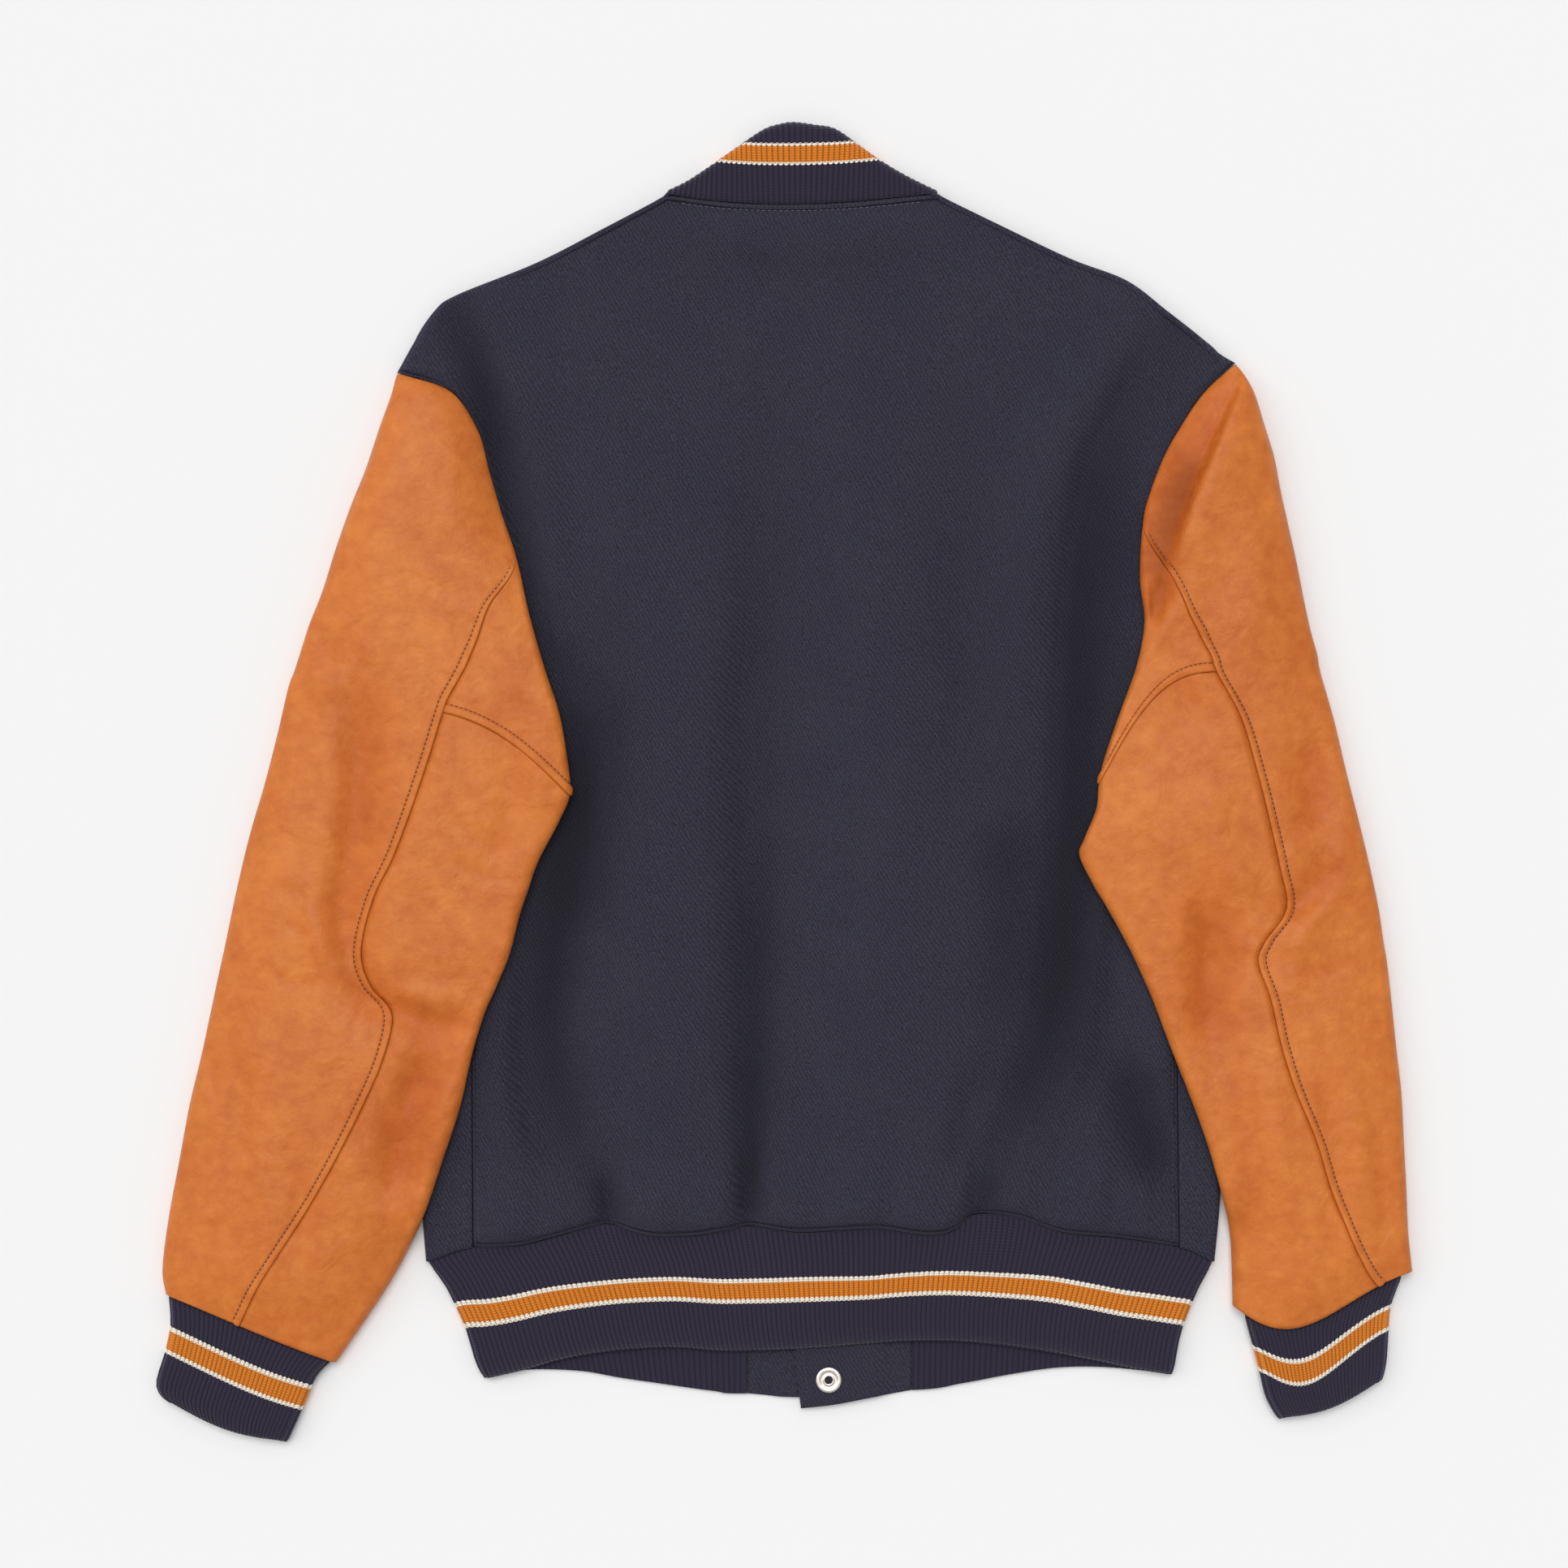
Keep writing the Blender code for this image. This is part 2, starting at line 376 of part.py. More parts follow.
# --- sleeves ---------------------------------------------------------------------------------
class Sleeve:
    """The outer face of one sleeve, as a point for each section and each place round it.

    Round the section, -1 to 0 is the sheet on the surface, up to the outer fold at 0.  0 to 1 is
    the upper sheet, to the inner fold at 1.  1 to 2 is turned under it, and 2 to 3 steps down the
    body's side and meets the lower sheet again.
    """

    def __init__(self, sections, front_armhole, out):
        rows = np.array(sections, float)
        count = len(rows)
        self.out = out
        self.last = count - 1
        self.underarm = len(front_armhole) - 1
        across = rows[:, 0:2] - rows[:, 2:4]
        foot = rows[:, 4:6] + across * (LAP_FOOT / np.linalg.norm(across, axis=1, keepdims=True))
        foot[:self.underarm + 1] = front_armhole
        self.rows = np.concatenate([rows, foot], 1)
        side = np.array(LEFT_SIDE if out < 0 else RIGHT_SIDE)[::-1]
        side_x = np.interp(rows[:, 3], side[:, 1], side[:, 0])
        on_body = out * (rows[:, 2] - side_x) < 0.0
        rest = np.where(on_body, LAP_REST, 0.0)
        rest[:FORK] = LIP_REST
        fold = np.full(count, 5.5)
        fold[:FORK] = 2.0
        fold[FORK:FORK + 3] = (2.5, 3.5, 4.5)
        self.rest = rest
        self.fold = fold

    def section(self, v):
        return smooth_rows(self.rows, np.asarray(v, float))

    def number(self, values, v):
        return np.interp(v, np.arange(len(values)), values)

    def point(self, v, a):
        v, a = np.broadcast_arrays(np.asarray(v, float), np.asarray(a, float))
        row = self.section(v)
        outer, inner, lap, foot = row[..., 0:2], row[..., 2:4], row[..., 4:6], row[..., 9:11]
        bow, crown = row[..., 6], row[..., 7]
        rest = self.number(self.rest, v)
        inner_fold = self.number(self.fold, v)
        width = np.linalg.norm(inner - outer, axis=-1)
        outer_fold = np.minimum(OUTER_FOLD, 0.45 * width)
        top = self.upper(a, outer, inner, bow, crown, rest, outer_fold, inner_fold, width)
        below = np.where((a < 0)[..., None], self.floor(-a, outer, foot, outer_fold),
                         np.where((a <= 2)[..., None], self.turned(a - 1.0, inner, lap, rest, inner_fold),
                                  self.step(a - 2.0, lap, foot, rest)))
        near_cuff = smoothstep((v - self.last + 3.0) / 3.0)
        below[..., 1] -= self.sag(below[..., 0:2], outer, inner, bow * near_cuff)
        on_top = (a >= 0) & (a <= 1)
        return np.where(on_top[..., None], top, below)

    def sag(self, plan, outer, inner, bow):
        """How far a section's line runs below its straight chord."""
        chord = inner - outer
        share = np.sum((plan - outer) * chord, -1) / np.sum(chord * chord, -1)
        return bow * np.sin(np.pi * np.clip(share, 0.0, 1.0) ** 1.6)

    def upper(self, a, outer, inner, bow, crown, rest, outer_fold, inner_fold, width):
        t = 0.5 - 0.5 * np.cos(np.pi * np.clip(a, 0.0, 1.0))
        plan = outer + (inner - outer) * t[..., None]
        y = plan[..., 1] - bow * np.sin(np.pi * t ** 1.6)
        mix = smoothstep(t)
        from_outer = outer_fold * (1.0 + quarter(t * width / outer_fold))
        from_inner = rest + inner_fold * (1.0 + quarter((1.0 - t) * width / inner_fold))
        level = 2.0 * outer_fold * (1.0 - mix) + (rest + 2.0 * inner_fold) * mix
        dome = 1.0 - np.abs(2.0 * t - 1.0) ** 2.5
        z = from_outer * (1.0 - mix) + from_inner * mix + np.maximum(crown - level, 0.0) * dome
        z += fold_height(SLEEVE_FOLDS, plan[..., 0], y) * smoothstep(4.0 * dome)
        return np.stack([plan[..., 0], y, z], -1)

    def turned(self, b, inner, lap, rest, inner_fold):
        b = np.clip(b, 0.0, 1.0)
        share = 1.0 - np.cos(0.5 * np.pi * b)
        reach = np.linalg.norm(lap - inner, axis=-1)
        plan = inner + (lap - inner) * share[..., None]
        z = rest + inner_fold * (1.0 - quarter(share * reach / inner_fold))
        return np.concatenate([plan, z[..., None]], -1)

    def step(self, b, lap, foot, rest):
        b = np.clip(b, 0.0, 1.0)
        plan = lap + (foot - lap) * b[..., None]
        return np.concatenate([plan, (rest * (1.0 - b))[..., None]], -1)

    def floor(self, b, outer, foot, outer_fold):
        b = np.clip(b, 0.0, 1.0)
        share = 1.0 - np.cos(0.5 * np.pi * b)
        reach = np.linalg.norm(foot - outer, axis=-1)
        plan = outer + (foot - outer) * share[..., None]
        z = outer_fold * (1.0 - quarter(share * reach / outer_fold))
        return np.concatenate([plan, z[..., None]], -1)

    def cuff_line(self, x):
        """Height y of the sleeve's end, where the cuff is sewn on."""
        row = self.rows[-1]
        share = (x - row[0]) / (row[2] - row[0])
        sag = row[6] * np.sin(np.pi * np.clip(share, 0.0, 1.0) ** 1.6)
        return row[1] + (row[3] - row[1]) * share - sag

    def normal(self, v, a):
        """Outward unit normal, from the section's own side of the armhole slit."""
        v, a = np.broadcast_arrays(np.asarray(v, float), np.asarray(a, float))
        low = np.where(a > 2.0, np.maximum(a - 0.02, 2.0), np.maximum(a - 0.02, -1.0))
        high = np.where(a > 2.0, np.minimum(a + 0.02, 3.0), np.minimum(a + 0.02, 2.0))
        across = self.point(v, high) - self.point(v, low)
        along = self.point(np.minimum(v + 0.3, self.last), a) - self.point(np.maximum(v - 0.3, 0.0), a)
        normal = self.out * np.cross(across, along)
        return normal / np.maximum(np.linalg.norm(normal, axis=-1, keepdims=True), 1e-9)

    def back_seam(self, v):
        """Place round the section of the seam down the back of the sleeve."""
        share = np.interp(v, np.arange(len(self.rows)), self.rows[:, 8])
        return np.arccos(1.0 - 2.0 * share) / np.pi

    def front_seam(self, v):
        share = np.interp(v, (FORK, self.last), FRONT_SEAM)
        return -np.arccos(1.0 - share) * 2.0 / np.pi

    def step_round(self, v, a, distance):
        """Move a place round the section by a distance in millimetres."""
        speed = np.linalg.norm(self.point(v, a + 0.01) - self.point(v, a - 0.01), axis=-1) / 0.02
        return a + distance / speed

    def step_down(self, v, a, distance):
        speed = np.linalg.norm(self.point(v + 0.1, a) - self.point(v - 0.1, a), axis=-1) / 0.2
        return v + distance / speed


def leather_wall(name, sleeve, v, a, raised=None, cells=None):
    """A leather piece from its sections and places, raised where its edge laps a neighbour."""
    outer = sleeve.point(v, a)
    normal = sleeve.normal(v, a)
    if raised is not None:
        outer = outer + normal * raised[..., None]
    return cloth_wall(name, "leather", outer, outer - normal * LEATHER, cells)


def top_sleeve(name, sleeve):
    """The outer leather panel: armhole to cuff, round the outer fold to both long seams."""
    v = np.array(list(range(FORK)) + [FORK - 0.1] + list(range(FORK, sleeve.last + 1)), float)
    floor_shares = np.array([1.0, 0.55, 0.14, 0.0])
    upper_shares = np.array([0.1, 0.24, 0.42, 0.62, 0.82])
    places = []
    lifts = []
    for section in v:
        if section < FORK:
            low, high = -1.0, np.array([0.9, 1.0, 2.0])
            lift = np.zeros(3)
        else:
            low = sleeve.step_round(section, sleeve.front_seam(section), SEAM_GAP / 2)
            edge = sleeve.step_round(section, sleeve.back_seam(section), -SEAM_GAP / 2)
            high = np.array([sleeve.step_round(section, edge, -RIDGE_WIDTH - 1.0),
                             sleeve.step_round(section, edge, -RIDGE_WIDTH), edge])
            lift = np.array([0.0, RIDGE_HEIGHT, RIDGE_HEIGHT])
        places.append(np.concatenate([low * floor_shares, high[0] * upper_shares, high]))
        lifts.append(np.concatenate([np.zeros(len(floor_shares) + len(upper_shares)), lift]))
    places = np.array(places)
    return leather_wall(name, sleeve, v[:, None] + 0 * places, places, np.array(lifts))


def under_sleeve_places(sleeve, v):
    """Places round a section, from the back seam round the inner fold to the front seam."""
    start = sleeve.step_round(v, sleeve.back_seam(v), SEAM_GAP / 2)
    end = sleeve.step_round(v, sleeve.front_seam(v), -SEAM_GAP / 2)
    upper = start + (1.0 - start) * np.array([0.0, 0.3, 0.6, 0.85, 1.0])
    turned = np.array([1.35, 1.7, 2.0])
    step = np.array([2.5])
    floor = -1.0 + (end + 1.0) * np.array([0.0, 0.5, 1.0])
    return np.concatenate([upper, turned, step, floor])


STEP_PLACE = 8            # the column of the step down the body's side


def under_sleeves(upper_name, lower_name, sleeve):
    """The inner leather panels, parted by the cross seam below the underarm."""
    cross = sleeve.underarm + 1
    v = np.arange(FORK, cross + 1, dtype=float)
    places = np.array([under_sleeve_places(sleeve, section) for section in v])
    sections = v[:, None] + 0 * places
    sections[-1] = sleeve.step_down(sections[-1], places[-1], -0.7 * SEAM_GAP)
    cells = np.ones((len(v) - 1, places.shape[1] - 1), bool)
    cells[:-1, STEP_PLACE - 1:STEP_PLACE + 1] = False
    leather_wall(upper_name, sleeve, sections, places, cells=cells)
    v = np.arange(cross, sleeve.last + 1, dtype=float)
    places = np.array([under_sleeve_places(sleeve, section) for section in v])
    sections = v[:, None] + 0 * places
    sections[0] = sleeve.step_down(sections[0], places[0], 0.7 * SEAM_GAP)
    leather_wall(lower_name, sleeve, sections, places)


# --- body ------------------------------------------------------------------------------------
def centre_x(y):
    (x0, y0), (x1, y1) = CENTRE_LINE
    return x0 + (x1 - x0) * (y0 - np.asarray(y, float)) / (y0 - y1)


def spread(first, second, top, bottom):
    """Plan points between two edges, one row for each of their points, and a top and bottom line."""
    share = (bottom[:, 0] - bottom[0, 0]) / (bottom[-1, 0] - bottom[0, 0])
    down_first = (first[0, 1] - first[:, 1]) / (first[0, 1] - first[-1, 1])
    down_second = (second[0, 1] - second[:, 1]) / (second[0, 1] - second[-1, 1])
    down = down_first[:, None] * (1.0 - share) + down_second[:, None] * share
    plan = top[None] * (1.0 - down[..., None]) + bottom[None] * down[..., None]
    reach_first = np.clip(1.0 - np.abs(plan[..., 0] - plan[:, :1, 0]) / EDGE_REACH, 0.0, 1.0)[..., None]
    reach_second = np.clip(1.0 - np.abs(plan[..., 0] - plan[:, -1:, 0]) / EDGE_REACH, 0.0, 1.0)[..., None]
    off_first = first - plan[:, 0]
    off_second = second - plan[:, -1]
    return plan + off_first[:, None] * reach_first + off_second[:, None] * reach_second


def add_lips(grid, insets, axis):
    """Put lines close to the first line of a grid, set in from it by the distances."""
    lines = np.moveaxis(grid, axis, 0)
    step = lines[1] - lines[0]
    step = step / np.linalg.norm(step, axis=-1, keepdims=True)
    lips = np.array([lines[0] + step * inset for inset in insets])
    return np.moveaxis(np.concatenate([lips, lines[1:]]), 0, axis)


def side_edge(armhole, hidden, side, hem_y):
    """The back's long edge: armhole seam, hidden armhole edge, side seam."""
    top_x, hem_x = SIDE_SEAM_X[side]
    ys = np.array(SIDE_ROWS_Y + (hem_y,), float)
    seam_x = np.interp(-ys, (18.0, -hem_y), (top_x, hem_x))
    return np.concatenate([armhole, np.array(hidden), np.stack([seam_x, ys], 1)])


def placket_rise(x, y):
    apart = np.abs(x - centre_x(y))
    return PLACKET_RISE * smoothstep((PLACKET_HALF + 22.0 - apart) / 16.0)


def back_folds(x, y, left, right):
    """Folds of the back, which die out before they reach a sleeve, the hem or a seam."""
    left_edge = np.interp(-y, -left.rows[:, 3], left.rows[:, 2])
    right_edge = np.interp(-y, -right.rows[:, 3], right.rows[:, 2])
    clear = np.minimum(x - left_edge, right_edge - x)
    hem_clear = y - line_at(BACK_HEM_SEAM, x)
    top_clear = line_at(BACK_TOP_LINE, x) - y
    soften = smoothstep((clear - FOLD_CLEAR) / 20.0)
    soften = soften * smoothstep((hem_clear - 8.0) / 25.0) * smoothstep((top_clear - 6.0) / 20.0)
    return fold_height(BACK_FOLDS, x, y) * soften


def back_heights(face, rows, columns, armhole_rows):
    """Heights over the cloth's level that roll the edges of the back."""
    level = BACK_TOP - face * WOOL
    along_top = np.zeros((rows, columns))
    for j in range(columns):
        apart = max(NECK_COLUMNS[0] + 2 - j, j - NECK_COLUMNS[1] - 2)
        neck_share = min(max(0.5 - 0.5 * apart, 0.0), 1.0)
        shoulder = BACK_SHOULDER[:, 2 * face + 1]
        neck = NECK_EDGE[:, 2 * face + 1]
        along_top[:len(shoulder), j] = shoulder * (1.0 - neck_share) + neck * neck_share - level
    along_side = np.zeros((rows, columns))
    in_armhole = (np.arange(rows) < armhole_rows)[:, None]
    lip = np.where(in_armhole, ARMHOLE_LIP[:, 1 + face], SEAM_LIP[:, 1 + face])
    along_side[:, :3] = lip
    along_side[:, -3:] = lip[:, ::-1]
    along_hem = np.zeros((rows, columns))
    along_hem[-3:] = HEM_LIP[::-1, 1 + face][:, None]
    lowest = np.minimum(np.minimum(along_top, along_side), along_hem)
    return level + lowest + np.maximum(along_hem, 0.0)


def back_panel(left, right):
    """The wool back, rolled down at its seams and over the shoulders."""
    left_armhole = offset_line(left.rows[:FORK + 1, 2:4], ARMHOLE_GAP)
    right_armhole = offset_line(right.rows[:FORK + 1, 2:4], -ARMHOLE_GAP)
    top = np.array(BACK_TOP_LINE)
    top[0] = left_armhole[0] + (0.0, 0.6)
    top[-1] = right_armhole[0] + (0.0, 0.6)
    left_armhole[0] = top[0]
    right_armhole[0] = top[-1]
    hem = np.array(BACK_HEM_SEAM)
    left_edge = side_edge(left_armhole, LEFT_BACK_ARMHOLE, 0, hem[0, 1])
    right_edge = side_edge(right_armhole, RIGHT_BACK_ARMHOLE, 1, hem[-1, 1])
    plan = spread(left_edge, right_edge, top, hem)
    armhole_rows = FORK + len(LEFT_BACK_ARMHOLE) + len(BACK_SHOULDER)
    faces = []
    for face in (0, 1):
        grid = add_lips(plan, BACK_SHOULDER[:, 2 * face], 0)
        grid = add_lips(grid, ARMHOLE_LIP[:, 0], 1)
        grid = add_lips(grid[:, ::-1], ARMHOLE_LIP[:, 0], 1)[:, ::-1]
        grid = add_lips(grid[::-1], HEM_LIP[:, 0], 0)[::-1]
        z = back_heights(face, grid.shape[0], grid.shape[1], armhole_rows)
        z += back_folds(grid[..., 0], grid[..., 1], left, right) + placket_rise(grid[..., 0], grid[..., 1])
        faces.append(np.concatenate([grid, z[..., None]], -1))
    cloth_wall("back_panel", "wool", faces[0], faces[1])


def front_height(side, x, y):
    """Height of a front's lower face: on the surface, and raised where the placket laps."""
    past = x - centre_x(y)
    if side == "left":
        return CAP_LIFT * smoothstep((past + PLACKET_HALF + 14.0) / 12.0)
    return RIGHT_LIFT * smoothstep((PLACKET_HALF + 18.0 - past) / 14.0)


def front_plan(sleeve, armhole, top_line, side_x, side_y):
    """Plan points of a front's flat part, in from its side fold."""
    out = sleeve.out
    armhole = offset_line(armhole, -out * ARMHOLE_GAP)
    top = np.array(top_line)
    top[0] = armhole[0] + (-out * 0.4, 0.6)
    armhole[0] = top[0]
    low_edge = np.stack([side_x - out * SIDE_FOLD[0, 0], side_y], 1)
    outer_edge = np.concatenate([armhole[:sleeve.underarm], low_edge])
    fixed = len(top) - PLACKET_COLUMNS
    parallel_x = top[fixed:, 0] - CENTRE_LINE[0][0] + CENTRE_LINE[1][0]
    between_x = np.linspace(outer_edge[-1, 0], parallel_x[0], fixed + 1)[:-1]
    hem_x = np.concatenate([between_x, parallel_x])
    hem = np.stack([hem_x, line_at(FRONT_HEM_SEAM, hem_x)], 1)
    outer_edge[-1] = hem[0]
    share = (outer_edge[0, 1] - outer_edge[:, 1]) / (outer_edge[0, 1] - outer_edge[-1, 1])
    inner_edge = top[-1] * (1.0 - share[:, None]) + hem[-1] * share[:, None]
    return spread(outer_edge, inner_edge, top, hem)


def side_wrap(face, out, side_x, side_y, seam_x, wrap_hem):
    """Columns of a front from the side seam on the back, over the side fold, to the surface."""
    columns = [(seam_x, BACK_TOP - (WOOL if face else 0.4)),
               (0.5 * (seam_x + side_x), BACK_TOP - face * WOOL)]
    for row in SIDE_FOLD[:0:-1]:
        inset, height = row[2 * face:2 * face + 2]
        columns.append((side_x - out * inset, height))
    wrap = np.array([np.stack([x, side_y, np.full(len(side_y), height)], 1) for x, height in columns])
    wrap = wrap.transpose(1, 0, 2)
    upper = wrap[-1, :, 2] > 0.5 * BACK_TOP
    wrap[-1, upper, 1] = line_at(wrap_hem, wrap[-1, upper, 0])
    return wrap


def front_panel(side, sleeve, armhole, top_line, shoulder_columns, edge, wrap_hem):
    """A wool front: flat on the surface, and wrapped round the side up to the side seam."""
    out = sleeve.out
    side_line = np.array(edge)[::-1]
    side_y = np.array((-18.0,) + SIDE_ROWS_Y + (edge[-1][1],), float)
    side_x = np.interp(side_y, side_line[:, 1], side_line[:, 0])
    top_x, hem_x = SIDE_SEAM_X[0 if side == "left" else 1]
    seam_x = np.interp(-side_y, (18.0, -side_y[-1]), (top_x, hem_x)) + out * SEAM_GAP
    plan = front_plan(sleeve, armhole, top_line, side_x, side_y)
    faces = []
    for face in (0, 1):
        shoulder = FRONT_SHOULDER[:, 2 * face:2 * face + 2]
        grid = add_lips(plan, shoulder[:, 0], 0)
        z = front_height(side, grid[..., 0], grid[..., 1]) + face * WOOL
        corner = shoulder_columns - 1
        z[:3, :corner] = shoulder[:, 1][:, None]
        z[:3, corner] = FRONT_CORNER[:, face]
        if face:
            grid[:3, corner:] = faces[0][:3, -plan.shape[1]:, 0:2][:, corner:]
        flat = np.concatenate([grid, z[..., None]], -1)
        wrap = side_wrap(face, out, side_x, side_y, seam_x, wrap_hem)
        above = np.repeat(wrap[:1], len(flat) - len(wrap), 0)
        faces.append(np.concatenate([np.concatenate([above, wrap], 0), flat], 1))
    rows, columns = faces[0].shape[:2]
    cells = np.ones((rows - 1, columns - 1), bool)
    cells[:rows - len(side_y), :columns - plan.shape[1]] = False
    cloth_wall("front_" + side, "wool", faces[0], faces[1], cells)


def hem_tab(name, side, columns):
    """The wool tab that ends the hem band at the snaps."""
    columns = np.array(columns)
    top = np.stack([columns[:, 0], line_at(FRONT_HEM_SEAM, columns[:, 0]) - SEAM_GAP], 1)
    down = np.linspace(0.0, 1.0, 4)[:, None, None]
    plan = top * (1.0 - down) + columns[:, 1:3] * down
    z = front_height(side, plan[..., 0], plan[..., 1])[..., None]
    outer = np.concatenate([plan, z], -1)
    cloth_wall(name, "wool", outer, outer + (0.0, 0.0, WOOL))


# --- rib pieces ------------------------------------------------------------------------------
def rib_wave(count):
    """Crests and valleys by turns, ending in a valley at both sides."""
    return (np.arange(2 * count + 1) % 2) * RIB_HEIGHT


def ribbed_wall(name, outer, inner, outer_places, inner_places, closed=False):
    """A closed wall of rib: fine columns outside and coarse ones inside, matched by their places."""
    rows, fine = outer.shape[:2]
    deep_rows, coarse = inner.shape[:2]
    number = np.arange(rows * fine).reshape(rows, fine)
    deep = rows * fine + np.arange(deep_rows * coarse).reshape(deep_rows, coarse)
    if closed:
        number = np.concatenate([number, number[:, :1]], 1)
        deep = np.concatenate([deep, deep[:, :1]], 1)
    faces = []
    for grid, turn in ((number, 1), (deep, -1)):
        for i in range(grid.shape[0] - 1):
            for j in range(grid.shape[1] - 1):
                corners = (grid[i, j], grid[i, j + 1], grid[i + 1, j + 1], grid[i + 1, j])
                faces.append(corners[::turn])
    faces += bridge(deep[0], number[0], inner_places, outer_places)
    faces += bridge(number[-1], deep[-1], outer_places, inner_places)
    if not closed:
        shares = np.linspace(0.0, 1.0, rows)
        deep_shares = np.linspace(0.0, 1.0, deep_rows)
        faces += bridge(number[:, 0], deep[:, 0], shares, deep_shares)
        faces += bridge(deep[:, -1], number[:, -1], deep_shares, shares)
    points = np.concatenate([outer.reshape(-1, 3), inner.reshape(-1, 3)])
    return add_piece(name, "rib", points, [tuple(int(c) for c in face) for face in faces])


def bridge(first, second, first_places, second_places):
    """Triangles between two lines of point numbers, each line with its own places along it."""
    faces = []
    i = 0
    j = 0
    while i < len(first) - 1 or j < len(second) - 1:
        ahead_first = first_places[i] + first_places[i + 1] if i < len(first) - 1 else np.inf
        ahead_second = second_places[j] + second_places[j + 1] if j < len(second) - 1 else np.inf
        if ahead_first <= ahead_second:
            faces.append((first[i], second[j], first[i + 1]))
            i += 1
        else:
            faces.append((first[i], second[j], second[j + 1]))
            j += 1
    return faces


def hem_band():
    """The hem rib: under the left front, round the left side, over the back and round the right."""
    down = np.array(HEM_ROWS)
    left_fold = along_height(HEM_LEFT_FOLD, down)
    right_fold = along_height(HEM_RIGHT_FOLD, down)
    in_left = left_fold + (HEM_FOLD[0, 0], 0.0)
    in_right = right_fold - (HEM_FOLD[0, 0], 0.0)
    back_seam = LEFT_WRAP_HEM[:-1] + BACK_HEM_SEAM + RIGHT_WRAP_HEM[1:]
    left_end = np.full((len(down), 2), LEFT_BAND_END)
    right_end = np.full((len(down), 2), RIGHT_BAND_END)
    share = np.linspace(0.0, 1.0, 7)
    low_left = band_part(in_left, left_end, FRONT_HEM_SEAM, FRONT_HEM_EDGE, share, HIDDEN_GAP)[:, ::-1]
    low_right = band_part(in_right, right_end, FRONT_HEM_SEAM, FRONT_HEM_EDGE, share, HIDDEN_GAP)
    walls = []
    places = []
    for face, columns in ((0, HEM_RIBS * 2), (1, HEM_RIBS // 3)):
        upper_share = np.linspace(0.0, 1.0, columns + 1)
        gap = SEAM_GAP + face * HIDDEN_GAP
        upper = band_part(in_left, in_right, back_seam, BACK_HEM_EDGE, upper_share, gap)
        z = HEM_TOP - face * RIB + placket_rise(upper[..., 0], upper[..., 1])
        if face == 0:
            z = z + rib_wave(HEM_RIBS) - np.array([0.6, 0.0, 0.0, 1.0])[:, None]
        fold = HEM_FOLD[:, 2 * face:2 * face + 2]
        parts = [level_sheet(low_left, face * RIB)]
        parts += [fold_line(left_fold, inset, height, 1) for inset, height in fold[1:-1]]
        parts += [np.concatenate([upper, z[..., None]], -1)]
        parts += [fold_line(right_fold, inset, height, -1) for inset, height in fold[-2:0:-1]]
        parts += [level_sheet(low_right, face * RIB)]
        walls.append(np.concatenate(parts, 1))
        turn = np.arange(1, len(fold) - 1) / (len(fold) - 1)
        places.append(np.concatenate([share, 1 + turn, 2 + upper_share, 3 + turn, 4 + share]))
    ribbed_wall("hem_band", walls[0], walls[1], places[0], places[1])


def along_height(line, down):
    """Points of a side line at shares of its height."""
    line = np.array(line, float)
    y = line[0, 1] + (line[-1, 1] - line[0, 1]) * down
    return np.stack([np.interp(-y, -line[:, 1], line[:, 0]), y], 1)


def band_part(first, second, seam, edge, share, gap):
    x = first[:, None, 0] * (1.0 - share) + second[:, None, 0] * share
    down = np.array(HEM_ROWS)[:, None]
    seam_y = line_at(seam, x[0])[None] - gap
    edge_y = line_at(edge, x[-1])[None]
    return np.stack([x, seam_y * (1.0 - down) + edge_y * down], -1)


def level_sheet(plan, height):
    return np.concatenate([plan, np.full(plan.shape[:2] + (1,), float(height))], -1)


def fold_line(line, inset, height, turn):
    """One column of a side fold, set in from the fold's outline."""
    return np.stack([line[:, 0] + turn * inset, line[:, 1] - SEAM_GAP * (1 - np.array(HEM_ROWS)),
                     np.full(len(line), float(height))], -1)[:, None]


def cuff(name, rows, sleeve):
    """A cuff as a flattened tube, ribbed on its upper side."""
    rows = np.array(rows, float)
    outer = rows[:, 0:2]
    inner = rows[:, 2:4]
    run = inner - outer
    run = run / np.linalg.norm(run, axis=1, keepdims=True)
    start = outer + run * CUFF_FOLD[0, 0]
    end = inner - run * CUFF_FOLD[0, 0]
    walls = []
    places = []
    for face, columns in ((0, 2 * CUFF_RIBS), (1, 10)):
        share = np.linspace(0.0, 1.0, columns + 1)
        lower_share = np.linspace(0.0, 1.0, 5)
        upper = cuff_sheet(start, end, rows[:, 4], share, CUFF_TOP - face * RIB)
        if face == 0:
            upper[..., 2] += rib_wave(CUFF_RIBS) - np.array([0.6, 0.0, 0.0, 0.0, 0.8])[:, None]
        lower = cuff_sheet(start, end, rows[:, 4], lower_share, face * RIB)[:, ::-1]
        fold = CUFF_FOLD[:, 2 * face:2 * face + 2]
        parts = [upper]
        parts += [cuff_fold(inner, -run, inset, height) for inset, height in fold[-2:0:-1]]
        parts += [lower]
        parts += [cuff_fold(outer, run, inset, height) for inset, height in fold[1:-1]]
        wall = np.concatenate(parts, 1)
        wall[0, :, 1] = sleeve.cuff_line(wall[0, :, 0]) - CUFF_GAP
        walls.append(wall)
        turn = np.arange(1, len(fold) - 1) / (len(fold) - 1)
        places.append(np.concatenate([share, 1 + turn, 2 + lower_share, 3 + turn, [4.0]]))
    ribbed_wall(name, walls[0], walls[1], places[0], places[1], closed=True)


